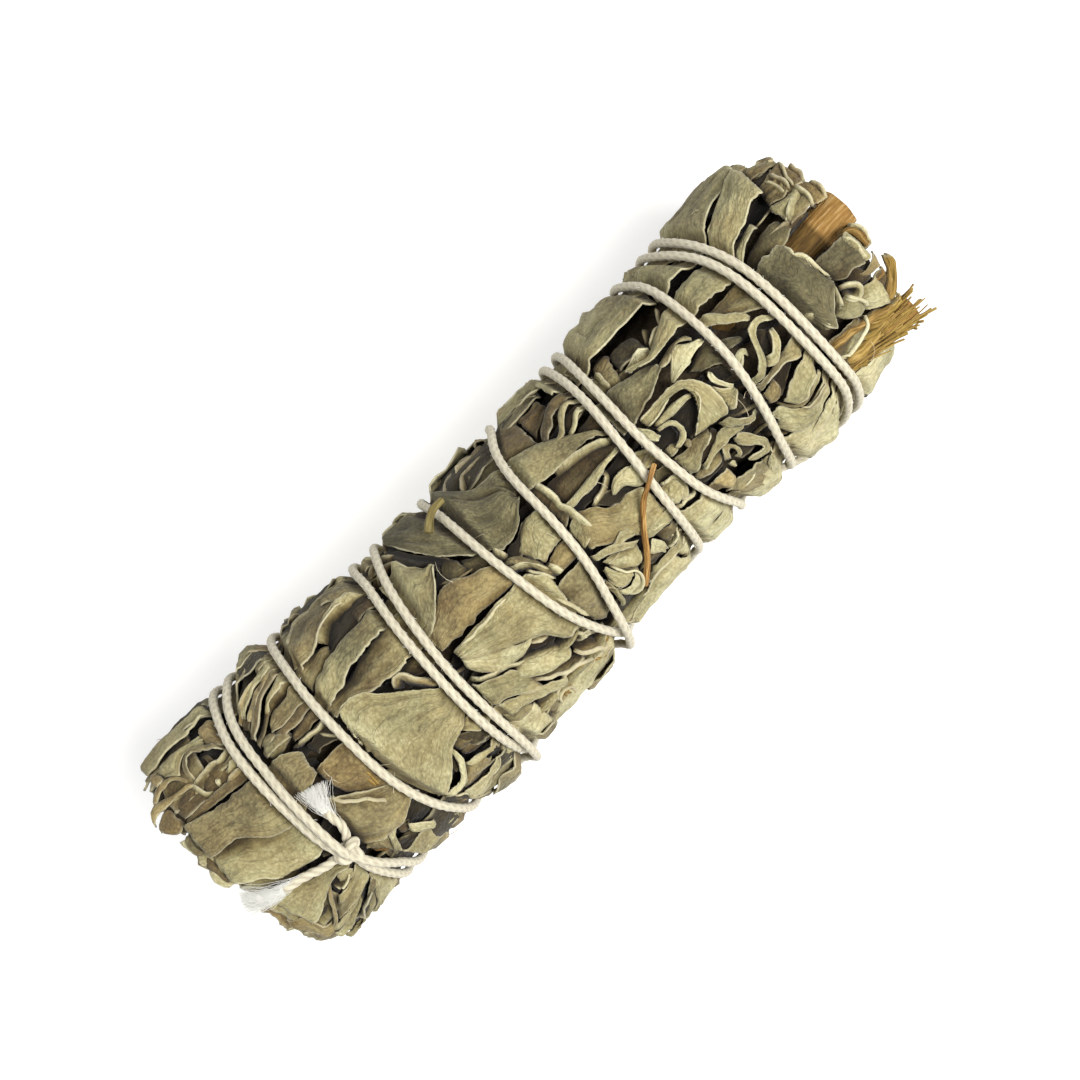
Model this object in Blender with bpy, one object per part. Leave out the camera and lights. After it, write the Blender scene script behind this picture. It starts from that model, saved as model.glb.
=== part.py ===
"""A tied stick of dried white sage, lying down.

The stick runs along X. Its underside rests on z = 0, +Z is up and the origin is under the middle of it.
Shapes are worked out in millimetres and become metres when a mesh is made.

A place on the stick's upper side is written as it is seen from an eye above the stick: (x, y) in
millimetres on the level of the stick's axis, x from the left end and y across. A place anywhere else is
(x, angle): x along the stick and the angle round its axis, 0 at the top and growing towards +Y.
A lift is a height above the bunch's even outline, and is negative for what lies deeper.
"""

import math
import random

import bmesh
import bpy
import numpy as np
from mathutils import Matrix, Vector

MM = 0.001
TURN = 2 * math.pi

# The bunch's outline: how far it reaches to each side along its length
AXIS_HEIGHT = 13.1
TOP_RISE = 13.5
UNDER_DROP = 13.6
SIDE_X = (-49.2, -45.8, -39.0, -28.9, -18.7, -11.9, -5.2, 1.6, 8.4, 15.1, 21.9, 28.7, 35.4, 42.2, 45.5, 49.0)
SIDE_PLUS_Y = (15.0, 15.3, 15.1, 14.7, 13.7, 13.4, 13.1, 13.2, 13.6, 13.6, 14.0, 14.2, 14.6, 14.9, 14.2, 12.6)
SIDE_MINUS_Y = (13.3, 15.1, 14.6, 14.7, 15.0, 14.7, 14.1, 13.5, 13.0, 13.0, 13.1, 14.4, 14.7, 13.2, 12.1, 11.0)

# The middle of all the pieces, which is moved over the origin at the end
BOX_MIDDLE = (-0.67, -0.5, 0.0)

# The packed middle of the bunch, which the leaves stand out of
CORE_LEFT = -45.2
CORE_RIGHT = 42.5
CORE_SINK = 3.2
CORE_ROUGHNESS = 0.45
CORE_SIDES = 14
CORE_RINGS = 8
CORE_END_SHRINK = 0.86

# The leaves
BLADE_THICKNESS = 0.72
ROOT_SINK = 3.7
FOLD_SHOULDER = 0.75
LEAF_STEPS = 4
FOLD_STEPS = 3
FREE_EDGE_LIFT = 0.25
SEED = 11
THINNING = 0.7
TOUCHING = 0.001
TOUCHING_PULL = 0.1

# The eye that places on the upper side are given from
EYE_HEIGHT = 150.0
EYE_X = 0.5
EYE_Y = 0.6
SEEN_MIDDLE_X = 53.9
EYE_PASSES = 20
EYE_DAMPING = 0.4

# The string
STRING_DIAMETER = 1.1
STRING_LIFT = 0.7
STRING_SIDE_LIFT = -0.1
STRING_SPACE = 0.12
STRING_UNDER_HEIGHT = 0.8
SIDE_AT = math.radians(-98)
SIDE_SHARE = 0.08
UNDER_FROM = math.radians(-138)
UNDER_SHARE = 1.0
STRING_STEP = 4.0
FINE_STEP = 0.5
EASE_REACH = 3
SAME_RUN = 14.0
HUMP_SLOPE = 0.25
HUMP_CREST = 2.0
PINCH_DEPTH = 1.1
PINCH_HALF_WIDTH = 1.7
PINCH_SLOPE = 0.56
GROOVE_SPACE = 0.26
GROOVE_WIDTH = (STRING_DIAMETER + 2 * GROOVE_SPACE) / math.cos(math.radians(30))

# The stems, and the room round them
STEM_SPACE = 0.3
STEM_ROOM_PAST_END = 8.0
FLOOR_BLOCK = (140, 60, 20)


def smooth_line(points, count):
    """Places at even steps along a smooth curve through the given points."""
    given = np.array(points, float)
    if len(given) == 2:
        share = np.linspace(0, 1, count)[:, None]
        return given[0] * (1 - share) + given[1] * share
    padded = np.vstack([2 * given[0] - given[1], given, 2 * given[-1] - given[-2]])
    share = np.linspace(0, 1, 24, endpoint=False)[:, None]
    pieces = []
    for before, start, end, after in zip(padded, padded[1:], padded[2:], padded[3:]):
        bend = 2 * before - 5 * start + 4 * end - after
        twist = 3 * start - before - 3 * end + after
        pieces.append(0.5 * (2 * start + (end - before) * share + bend * share**2 + twist * share**3))
    dense = np.vstack(pieces + [given[-1:]])
    steps = np.linalg.norm(np.diff(dense, axis=0), axis=1)
    along = np.concatenate([[0], np.cumsum(steps)])
    wanted = np.linspace(0, along[-1], count)
    return np.stack([np.interp(wanted, along, dense[:, axis]) for axis in range(dense.shape[1])], axis=1)


def cross_section(x):
    """The middle of the bunch across and half its width, at x."""
    plus = np.interp(x, SIDE_X, SIDE_PLUS_Y)
    minus = np.interp(x, SIDE_X, SIDE_MINUS_Y)
    return (plus - minus) / 2, (plus + minus) / 2


def outline_radius(x, angle):
    """How far the bunch's even outline is from its axis."""
    half = cross_section(x)[1]
    rise = np.where(np.cos(angle) > 0, TOP_RISE, UNDER_DROP)
    return 1 / np.sqrt((np.sin(angle) / half) ** 2 + (np.cos(angle) / rise) ** 2)


def place(x, angle, radius):
    """The point at this radius from the bunch's axis."""
    middle = cross_section(x)[0]
    return np.stack([x, middle + radius * np.sin(angle), AXIS_HEIGHT + radius * np.cos(angle)], axis=-1)


def on_top(points):
    """(x, angle) of places that are given as they are seen from above."""
    seen = np.array(points, float)
    x = seen[:, 0] - SEEN_MIDDLE_X + EYE_X
    angle = np.zeros(len(seen))
    for _ in range(EYE_PASSES):
        radius = outline_radius(x, angle)
        nearer = (EYE_HEIGHT - radius * np.cos(angle)) / EYE_HEIGHT
        x = EYE_X + (seen[:, 0] - SEEN_MIDDLE_X) * nearer
        y = EYE_Y + (seen[:, 1] - EYE_Y) * nearer
        sine = np.clip((y - cross_section(x)[0]) / radius, -0.99, 0.99)
        angle = EYE_DAMPING * angle + (1 - EYE_DAMPING) * np.arcsin(sine)
    return np.stack([x, angle], axis=1)


# The string's runs over the top, in winding order, each from the +Y side to the -Y side
KNOT_PLACE = (14.0, -7.7)
STRING_RUNS = (
    ((13.9, -8.0), (13.7, -9.6), (14.3, -11.6), (15.4, -13.4)),
    ((15.3, 14.6), (14.2, 12.5), (13.1, 10.0), (12.5, 6.0), (12.2, 2.0), (12.3, -2.0), (12.7, -5.5),
     (14.4, -8.6), (15.8, -11.0), (17.0, -13.2)),
    ((24.3, 14.2), (23.9, 12.5), (23.5, 10.0), (23.0, 7.0), (22.8, 4.0), (22.7, 0.0), (22.7, -4.0),
     (23.0, -7.0), (23.7, -9.5), (24.6, -12.0), (25.8, -13.6)),
    ((36.6, 13.2), (36.7, 11.0), (36.2, 8.5), (35.6, 5.5), (35.2, 2.0), (35.0, 0.0), (34.7, -4.0),
     (34.6, -8.0), (34.8, -11.0), (35.2, -13.5)),
    ((47.4, 12.7), (47.9, 11.5), (48.1, 9.5), (48.3, 6.0), (48.6, 2.0), (48.9, 0.0), (49.5, -5.0),
     (50.2, -8.0), (51.0, -10.0), (52.5, -12.8)),
    ((70.4, 13.0), (70.4, 11.0), (70.3, 8.0), (70.1, 4.0), (69.9, 1.0), (70.0, -2.0), (70.3, -5.0),
     (70.6, -8.0), (71.3, -10.0), (72.6, -12.6)),
    ((80.6, 13.8), (81.8, 12.9), (82.7, 11.5), (83.2, 9.0), (83.5, 6.0), (83.6, 3.0), (83.5, 0.0),
     (83.0, -3.0), (82.4, -5.5), (81.7, -8.0), (81.0, -10.0), (80.4, -12.0)),
    ((87.6, 13.8), (88.7, 12.6), (90.0, 10.5), (91.1, 8.0), (91.7, 5.5), (92.0, 2.5), (92.0, -3.0),
     (91.9, -6.0), (91.7, -9.0), (91.5, -12.5)),
    ((85.2, 13.9), (86.7, 12.6), (88.5, 10.5), (89.7, 8.0), (90.3, 5.5), (90.6, 2.5), (90.6, -3.0),
     (90.5, -6.0), (90.4, -9.0), (90.0, -12.5)),
    ((68.2, 13.0), (68.7, 10.0), (68.7, 7.0), (68.3, 4.0), (67.9, 1.0), (67.5, -2.0), (67.0, -5.0),
     (66.7, -8.0), (66.3, -11.0), (66.0, -12.7)),
    ((59.0, 13.0), (58.2, 12.2), (57.5, 11.0), (56.9, 9.0), (56.6, 6.5), (56.5, 1.0), (56.3, -1.0),
     (55.9, -4.0), (55.2, -7.0), (54.5, -9.3), (53.7, -11.3), (53.0, -12.9)),
    ((39.9, 13.0), (39.2, 11.5), (38.5, 10.0), (38.0, 8.0), (37.3, 5.0), (36.8, 2.0), (36.5, 0.0),
     (36.2, -3.0), (36.1, -8.0), (36.2, -11.0), (36.4, -13.2)),
    ((17.5, 14.4), (15.7, 12.5), (14.6, 10.0), (13.9, 6.0), (13.6, 2.0), (13.6, -2.0), (13.8, -5.0),
     (14.0, -7.4)),
)
TAIL_RUNS = (
    ((14.2, -7.6), (15.3, -5.6), (15.2, -3.4), (15.8, -1.2)),
    ((13.4, -7.7), (10.6, -7.2), (8.0, -6.3), (5.2, -5.7), (2.9, -4.6)),
)


def eased(line):
    """The line with its corners rounded off, each place moved to the middle of its neighbours."""
    padded = np.pad(line, ((EASE_REACH, EASE_REACH), (0, 0)), mode="reflect", reflect_type="odd")
    near = np.ones(2 * EASE_REACH + 1) / (2 * EASE_REACH + 1)
    return np.stack([np.convolve(column, near, "valid") for column in padded.T], axis=1)


def string_route(step):
    """The string's middle line from end to end, a step apart: x, the angle as it winds on, and its hump."""
    knots = []
    for turn, run in enumerate(STRING_RUNS):
        places = on_top(run)
        if turn:
            start = knots[-1][0]
            for share, around in ((SIDE_SHARE, SIDE_AT), (UNDER_SHARE, UNDER_FROM)):
                knots.append((start + share * (places[0, 0] - start), (around - TURN * (turn - 1)) * TOP_RISE))
        for x, angle in places:
            knots.append((x, (angle - TURN * turn) * TOP_RISE))
    knots = np.array(knots)
    along = np.concatenate([[0], np.cumsum(np.linalg.norm(np.diff(knots, axis=0), axis=1))])
    wanted = np.linspace(0, along[-1], int(along[-1] / FINE_STEP))
    line = np.stack([np.interp(wanted, along, column) for column in knots.T], axis=1)
    for _ in range(2):
        line = eased(line)
    x = line[:, 0]
    angle = line[:, 1] / TOP_RISE
    hump = humps(x, angle)
    chosen = slice(None, None, round(step / FINE_STEP))
    return x[chosen], angle[chosen], hump[chosen]


def humps(x, angle):
    """How much higher the string runs where it crosses over an earlier turn, in a long low rise."""
    across = STRING_DIAMETER + STRING_SPACE
    same_run = int(SAME_RUN / FINE_STEP)
    fall = HUMP_SLOPE * FINE_STEP
    hump = np.zeros(len(x))
    for here in range(len(x)):
        if here:
            hump[here] = max(0, hump[here - 1] - fall)
        earlier = max(0, here - same_run)
        round_by = (angle[:earlier] - angle[here] + math.pi) % TURN - math.pi
        apart = (x[:earlier] - x[here]) ** 2 + (round_by * TOP_RISE) ** 2
        under = np.nonzero(apart < across**2)[0]
        if len(under):
            hump[here] = max(hump[here], (hump[under] + np.sqrt(across**2 - apart[under])).max())
        before = here - 1
        while before >= 0 and hump[before] < hump[before + 1] - fall:
            hump[before] = hump[before + 1] - fall
            before -= 1
    crest = int(HUMP_CREST / FINE_STEP)
    return np.array([hump[max(0, here - crest) : here + crest + 1].max() for here in range(len(x))])


def string_points(x, angle, hump):
    """The string's places in space. It lies flat along the underside, clear of what the stick rests on."""
    lift = STRING_LIFT + (STRING_SIDE_LIFT - STRING_LIFT) * np.sin(angle) ** 2
    points = place(x, angle, outline_radius(x, angle) + lift + hump)
    points[:, 2] = np.maximum(points[:, 2], STRING_UNDER_HEIGHT)
    return points


def pinch_line():
    """Where the string and its tails press the leaves down: x, angle and the string's radius there."""
    x, angle, _ = string_route(1.0)
    points = string_points(x, angle, np.zeros(len(x)))
    for run in TAIL_RUNS:
        tail = on_top(smooth_line(run, 14))
        x = np.concatenate([x, tail[:, 0]])
        angle = np.concatenate([angle, tail[:, 1]])
        points = np.vstack([points, place(tail[:, 0], tail[:, 1], outline_radius(tail[:, 0], tail[:, 1]) + STRING_LIFT)])
    radius = np.hypot(points[:, 1] - cross_section(x)[0], points[:, 2] - AXIS_HEIGHT)
    return x, angle, radius


PINCH = pinch_line()


def most_radius(x, angle):
    """The radius that leaves may reach here without meeting the string."""
    string_x, string_angle, string_radius = PINCH
    round_by = (string_angle[None, :] - angle[:, None] + math.pi) % TURN - math.pi
    apart = np.hypot(string_x[None, :] - x[:, None], round_by * TOP_RISE)
    rise = PINCH_SLOPE * np.maximum(0, apart - PINCH_HALF_WIDTH)
    return (string_radius[None, :] - PINCH_DEPTH + rise).min(axis=1)


def new_object(name, mesh, group):
    made = bpy.data.objects.new(name, mesh)
    group.objects.link(made)
    return made


def mesh_of(bm, name):
    """The bmesh as a new mesh in metres."""
    bmesh.ops.scale(bm, vec=(MM, MM, MM), verts=bm.verts)
    bmesh.ops.recalc_face_normals(bm, faces=bm.faces)
    mesh = bpy.data.meshes.new(name)
    bm.to_mesh(mesh)
    bm.free()
    return mesh


def thin_piece(name, group, along, across, shape):
    """A closed thin piece. shape gives the points for places along, places across and the layer, 0 or 1."""
    bm = bmesh.new()
    bmesh.ops.create_grid(bm, x_segments=along, y_segments=across, size=1)
    bmesh.ops.triangulate(bm, faces=bm.faces)
    bmesh.ops.solidify(bm, geom=bm.faces[:], thickness=1)
    flat = np.array([vert.co for vert in bm.verts])
    points = shape((flat[:, 0] + 1) / 2, (flat[:, 1] + 1) / 2, np.abs(flat[:, 2]))
    for vert, point in zip(bm.verts, points):
        vert.co = point
    return new_object(name, mesh_of(bm, name), group)


def leaf(name, group, edges, lifts, depths, steps=LEAF_STEPS):
    """A leaf between two long edges. lifts and depths are its height and thickness at one edge, its middle
    and the other edge."""
    first = smooth_line(edges[0], steps + 1)
    second = smooth_line(edges[1], steps + 1)

    def shape(along, across, layer):
        row = np.rint(along * steps).astype(int)
        x = first[row, 0] * (1 - across) + second[row, 0] * across
        angle = first[row, 1] * (1 - across) + second[row, 1] * across
        lift = np.interp(across, (0, 0.5, 1), lifts)
        depth = np.interp(across, (0, 0.5, 1), depths)
        radius = np.minimum(outline_radius(x, angle) + lift, most_radius(x, angle))
        return place(x, angle, radius - layer * depth)

    return thin_piece(name, group, steps, 2, shape)


def flat_leaf(name, group, edges, lifts, steps=LEAF_STEPS):
    """A leaf that its middle holds on the bunch. The highest ones have free edges."""
    root = ROOT_SINK + max(lifts)
    edge = BLADE_THICKNESS if max(lifts) > FREE_EDGE_LIFT else root
    return leaf(name, group, edges, lifts, (edge, root, edge), steps)


def fold(name, group, line, width, lift, steps=FOLD_STEPS):
    """A leaf's fold, seen edge-on as a rounded ridge along a line."""
    middle = smooth_line([(x, angle * TOP_RISE) for x, angle in line], steps + 1)
    heading = np.gradient(middle, axis=0)
    heading /= np.linalg.norm(heading, axis=1)[:, None]
    aside = np.stack([-heading[:, 1], heading[:, 0]], axis=1) * width / 2
    edges = []
    for side in (middle + aside, middle - aside):
        edges.append(np.stack([side[:, 0], side[:, 1] / TOP_RISE], axis=1))
    shoulder = lift - FOLD_SHOULDER * width
    root = ROOT_SINK + lift
    depths = (root - lift + shoulder, root, root - lift + shoulder)
    return leaf(name, group, edges, (shoulder, lift, shoulder), depths, steps)


# The leaves that lie open on the upper side: one long edge, the other, and three lifts across
TOP_LEAVES = (
    # Left end, as far as the first turns of string
    (((3.6, 15.6), (9.0, 15.9), (15.0, 15.6)), ((3.8, 13.9), (9.0, 14.1), (14.5, 14.2)), (-0.3, 0.2, 0.0)),
    (((4.0, 13.7), (8.5, 13.8), (13.0, 13.6)), ((4.0, 12.3), (8.0, 12.1), (12.5, 12.0)), (-0.5, -0.3, -0.8)),
    (((0.3, 9.2), (2.0, 11.5), (5.0, 12.1)), ((0.5, 8.1), (2.5, 8.9), (5.5, 9.7)), (-0.3, -0.1, -0.5)),
    (((1.2, 8.1), (6.0, 8.5), (13.0, 7.8), (18.0, 7.0)), ((1.3, 6.8), (6.0, 7.2), (12.0, 6.1), (18.0, 5.5)),
     (-0.3, -0.2, -0.9)),
    (((2.3, 7.1), (8.0, 6.2), (12.5, 5.3), (17.6, 4.1)), ((2.1, 2.3), (6.0, 1.7), (9.0, -0.8), (17.0, -1.2)),
     (0.3, 0.6, 0.4)),
    (((2.0, 3.0), (6.0, 2.4), (9.5, 0.0), (13.5, -1.5)), ((1.9, -1.5), (5.0, -3.8), (8.0, -5.6), (12.8, -6.0)),
     (-0.6, 0.0, 0.1)),
    (((3.2, -5.5), (8.0, -7.1), (13.0, -8.2)), ((4.8, -10.2), (9.0, -9.2), (12.7, -9.9)), (-0.7, -0.2, -0.3)),
    (((5.0, -10.9), (9.0, -10.1), (13.0, -11.0)), ((6.0, -13.3), (10.0, -13.4), (14.0, -13.4)), (-1.1, -0.6, -0.4)),
    (((6.2, -13.4), (11.0, -13.0), (16.5, -13.5)), ((7.0, -15.4), (11.0, -15.0), (17.0, -14.7)), (-0.5, 0.0, -0.5)),
    # Between the first and second turns
    (((14.5, 14.7), (19.0, 14.8), (24.5, 14.6)), ((15.5, 13.2), (19.0, 13.4), (24.0, 13.7)), (-0.2, 0.1, -0.3)),
    (((16.5, 7.0), (19.0, 8.0), (23.0, 9.6)), ((17.0, 5.6), (19.5, 6.0), (23.0, 7.0)), (-0.4, -0.2, -0.7)),
    (((15.5, -1.0), (18.0, 1.2), (23.4, 0.8)), ((15.5, -8.8), (19.0, -9.3), (23.4, -9.5)), (-0.4, 0.1, -0.2)),
    (((15.5, -13.0), (19.0, -13.3), (24.5, -12.8)), ((16.0, -14.6), (20.0, -14.6), (25.5, -14.5)), (-0.6, 0.0, -0.4)),
    # Between the second and third turns
    (((24.0, 14.2), (30.0, 14.1), (37.0, 13.4)), ((24.0, 12.0), (27.0, 12.4), (30.5, 11.7), (36.5, 11.3)), (0.0, 0.4, 0.3)),
    (((23.6, 11.2), (26.0, 10.6), (29.5, 9.1)), ((23.6, 7.6), (26.0, 8.3), (29.5, 8.7)), (-0.4, -0.2, -0.7)),
    (((22.8, 6.7), (26.0, 8.0), (30.0, 8.7), (37.0, 8.9)), ((22.8, 4.5), (26.5, 4.8), (30.0, 6.0), (37.0, 6.3)),
     (0.2, 0.6, 0.4)),
    (((24.0, 5.4), (28.0, 6.0), (31.0, 6.5), (37.0, 6.8)), ((24.2, 3.2), (27.8, 2.4), (31.0, 1.8), (36.5, 1.8)),
     (-0.8, -0.1, 0.1)),
    (((23.7, 0.6), (24.4, 3.4), (27.5, 2.8), (30.2, 0.3), (32.2, 0.9), (34.7, -2.8)),
     ((23.2, -6.0), (24.2, -9.6), (25.6, -11.8), (28.0, -10.0), (31.0, -8.0), (34.4, -6.4)), (0.4, 0.9, 0.3)),
    (((27.5, -9.8), (31.0, -8.4), (35.0, -7.2)), ((27.0, -12.0), (31.0, -11.0), (35.0, -10.4)), (-0.6, -0.3, -0.2)),
    (((25.0, -13.6), (30.0, -13.7), (36.5, -13.6)), ((26.0, -14.7), (31.0, -14.9), (36.5, -14.9)), (-0.5, 0.0, -0.4)),
    # Between the third and fourth turns
    (((37.0, 13.5), (40.0, 13.4), (43.0, 13.1)), ((37.2, 11.0), (39.0, 10.8), (41.3, 12.3)), (-0.3, 0.0, -0.1)),
    (((37.6, 10.2), (40.8, 10.3), (41.9, 8.8), (43.3, 7.2)), ((37.3, 2.3), (39.5, 2.8), (41.0, 4.0), (43.2, 6.7)),
     (0.2, 0.6, 0.5)),
    (((41.0, 12.9), (45.0, 12.7), (50.0, 11.2), (54.0, 9.2), (55.8, 6.2)),
     ((42.5, 10.6), (45.0, 7.0), (47.5, 5.0), (50.5, 3.5), (55.4, 5.7)), (-0.1, 0.6, 0.1)),
    (((37.3, 2.4), (41.5, 4.4), (44.0, 3.9), (48.6, 2.2)), ((37.1, -0.3), (42.0, -0.4), (48.8, -0.6)), (0.0, 0.2, -0.3)),
    (((38.1, -1.6), (42.0, -0.9), (46.0, -1.2), (50.5, -1.6), (51.6, -3.2)),
     ((38.4, -4.2), (40.5, -6.6), (44.0, -8.0), (47.5, -9.2), (50.4, -9.4)), (0.2, 0.8, 0.2)),
    (((36.5, -13.2), (43.0, -13.4), (51.0, -12.9)), ((37.0, -14.7), (43.0, -14.5), (51.0, -13.9)), (-0.6, 0.0, -0.5)),
    (((48.0, 12.8), (52.0, 12.8), (57.5, 12.6)), ((50.2, 11.5), (53.5, 10.6), (57.0, 9.6)), (-0.9, -0.6, -1.0)),
    # Between the fourth and fifth turns
    (((49.2, 3.2), (52.0, 2.6), (56.3, 3.3)), ((50.3, -1.5), (53.0, -1.4), (56.3, -1.2)), (-0.5, 0.0, -0.2)),
    (((50.8, -4.5), (53.0, -4.3), (56.6, -4.5)), ((51.2, -10.3), (53.0, -10.8), (55.0, -9.4)), (-0.2, 0.2, -0.4)),
    (((57.0, 9.6), (60.0, 9.0), (63.0, 7.4), (66.0, 5.4), (68.0, 3.4)), ((57.0, 5.1), (58.5, 4.5), (62.0, 4.4), (67.8, 2.7)),
     (0.2, 0.7, 0.3)),
    (((58.5, 4.6), (62.0, 4.6), (67.5, 3.4)), ((58.5, 0.8), (62.0, 0.9), (67.5, 1.4)), (-1.2, -0.9, -0.2)),
    (((57.0, 13.0), (61.0, 12.9), (66.0, 12.8)), ((58.0, 11.5), (61.0, 11.0), (65.0, 11.3)), (-0.4, -0.1, -0.4)),
    (((64.5, 13.0), (69.5, 13.1)), ((65.5, 10.9), (69.3, 10.3)), (-0.1, 0.3, 0.1)),
    (((56.6, -1.2), (60.0, -1.0), (65.6, -2.2)), ((57.0, -5.4), (60.0, -7.3), (64.3, -7.8)), (-0.4, 0.1, -0.1)),
    (((54.5, -12.3), (60.0, -12.0), (66.5, -12.1)), ((55.0, -13.4), (61.0, -13.3), (66.5, -13.1)), (-0.1, 0.2, -0.3)),
    (((66.6, -3.2), (68.7, -3.6), (70.6, -4.0)), ((66.4, -9.5), (69.0, -10.0), (71.0, -9.5)), (-0.7, -0.4, -0.8)),
    # Between the fifth and sixth turns
    (((68.5, 13.1), (75.0, 13.5), (82.0, 13.9), (89.5, 13.9)), ((68.5, 10.4), (72.0, 10.1), (82.0, 10.4), (89.0, 10.5)),
     (-0.1, 0.6, 0.4)),
    (((71.4, 10.2), (74.3, 10.2)), ((71.8, 6.9), (74.0, 6.8)), (-0.9, -0.8, -1.1)),
    (((74.0, 4.9), (77.0, 5.9), (84.0, 8.4), (89.5, 9.2)), ((74.0, 4.3), (77.0, 5.1), (83.0, 5.2), (89.5, 5.0)),
     (0.1, 0.5, 0.2)),
    (((69.6, 6.6), (73.0, 6.9), (77.5, 5.4)), ((69.6, 2.7), (73.0, 2.3), (77.6, 3.2)), (-0.2, 0.3, -0.1)),
    (((76.7, 2.6), (79.7, 4.6), (82.6, 3.6)), ((76.8, 1.9), (79.6, 2.0), (82.5, 2.8)), (-0.1, 0.2, 0.0)),
    (((74.0, -1.0), (77.0, -0.6), (78.7, -1.5)), ((74.8, -4.3), (77.0, -4.6), (78.6, -4.4)), (-0.5, -0.2, -0.5)),
    (((68.5, -11.8), (74.0, -11.9), (80.5, -12.6)), ((68.5, -13.0), (75.0, -13.0), (81.0, -13.9)), (-0.7, -0.3, -0.6)),
    # From the sixth turn to the right end
    (((81.5, -13.3), (86.0, -13.9), (91.5, -13.0)), ((82.0, -14.7), (87.0, -14.9), (92.5, -14.2)), (-0.4, 0.1, -0.4)),
    (((86.5, 14.3), (92.0, 14.9), (96.0, 15.3), (98.6, 14.3)), ((89.3, 10.5), (92.5, 12.1), (96.0, 13.6), (98.7, 13.8)),
     (0.0, 0.4, 0.2)),
    (((89.8, 9.9), (93.0, 11.8), (96.5, 13.1), (98.8, 13.3)), ((90.5, 5.8), (94.0, 8.0), (96.5, 8.6), (99.3, 9.6)),
     (0.1, 0.6, 0.3)),
    (((91.6, 7.3), (96.0, 7.6), (100.5, 7.4)), ((91.8, 4.0), (96.0, 3.8), (100.5, 4.4)), (-1.6, -1.4, -1.6)),
    (((91.6, 4.4), (94.0, 4.3), (96.4, 3.9), (97.4, 0.6)), ((91.8, -1.0), (93.0, -5.2), (94.8, -7.0), (97.6, -2.8)),
     (0.3, 0.8, 0.3)),
    (((96.6, 0.4), (99.0, 0.2), (101.6, -0.3)), ((96.8, -4.0), (99.5, -4.3), (102.0, -4.0)), (-1.7, -1.3, -1.6)),
    (((97.3, -6.1), (101.4, -7.1)), ((97.6, -9.8), (100.4, -9.4)), (-0.8, -0.4, -0.7)),
)

# The folds that show edge-on on the upper side: a line, a width and a lift
TOP_FOLDS = (
    (((1.5, 9.3), (4.0, 9.5), (8.0, 9.0), (13.0, 9.6)), 0.9, -0.3),
    (((7.5, 12.2), (10.0, 11.9), (13.0, 10.9)), 1.0, -0.2),
    (((3.2, -10.4), (5.5, -12.0), (8.0, -13.0)), 1.0, -0.3),
    (((14.5, 11.6), (18.0, 12.7), (23.4, 13.4)), 1.2, 0.1),
    (((14.3, 9.6), (18.5, 11.6), (23.2, 12.4)), 1.2, 0.0),
    (((15.3, 8.4), (19.0, 10.2), (23.2, 11.6)), 1.1, 0.0),
    (((17.0, 7.9), (20.5, 9.4), (23.2, 10.5)), 1.0, -0.3),
    (((25.6, -12.5), (28.0, -11.1), (31.5, -11.2), (34.4, -12.0)), 1.1, -0.1),
    (((31.0, -9.0), (33.0, -9.7), (34.4, -11.3)), 1.0, 0.0),
    (((40.4, -7.9), (44.0, -9.4), (47.4, -11.0)), 1.9, 0.5),
    (((36.8, -8.4), (39.0, -10.0), (42.5, -11.6)), 1.4, 0.2),
    (((37.0, -11.6), (41.0, -12.7), (46.5, -13.3)), 1.3, 0.1),
    (((58.4, 5.6), (58.6, 1.0), (58.2, -3.2)), 0.9, 0.2),
    (((63.4, -0.7), (65.4, -0.9), (66.6, -2.0)), 0.9, 0.0),
    (((62.6, 7.4), (64.8, 8.8), (67.0, 9.0)), 0.9, 0.1),
    (((56.3, -5.6), (59.0, -7.4), (62.0, -9.4), (65.0, -10.2)), 1.4, 0.2),
    (((56.2, -8.0), (59.5, -10.0), (64.5, -11.5)), 1.4, 0.1),
    (((70.8, 1.9), (75.0, 2.0), (78.0, 1.4), (79.6, -0.8), (79.0, -4.4)), 1.0, 0.3),
    (((71.2, -0.2), (73.4, -0.9), (74.0, -2.2), (72.2, -3.3)), 0.9, 0.1),
    (((81.2, 0.3), (80.4, -1.0), (81.2, -3.2)), 0.9, 0.0),
    (((83.6, -4.2), (85.4, -3.8), (86.5, -1.4), (88.2, 0.0), (89.8, -0.6)), 1.0, 0.2),
    (((86.0, -4.6), (88.0, -4.2), (89.4, -2.2)), 1.0, 0.1),
    (((84.6, 4.7), (86.5, 3.0), (89.6, 0.9)), 1.3, 0.1),
    (((71.0, -5.3), (75.0, -5.8), (80.5, -6.0)), 1.3, 0.1),
    (((71.2, -7.3), (76.0, -7.6), (80.6, -8.1)), 1.5, 0.1),
    (((72.0, -9.3), (76.5, -9.6), (80.4, -10.3)), 1.4, 0.0),
    (((73.0, -11.0), (76.5, -11.3), (79.8, -12.0)), 1.3, -0.1),
    (((83.4, -6.2), (86.5, -6.7), (90.0, -6.1)), 1.3, 0.1),
    (((82.8, -8.2), (86.0, -9.2), (90.0, -8.2)), 1.4, 0.1),
    (((82.4, -10.1), (85.5, -11.4), (90.0, -10.4)), 1.4, 0.0),
    (((82.0, -12.4), (86.0, -13.0), (90.2, -12.0)), 1.2, 0.0),
    (((95.6, -6.0), (97.5, -4.9), (99.8, -5.0)), 1.0, -0.4),
    (((93.0, -7.2), (95.0, -8.3), (98.0, -8.4)), 1.2, -0.3),
)

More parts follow.
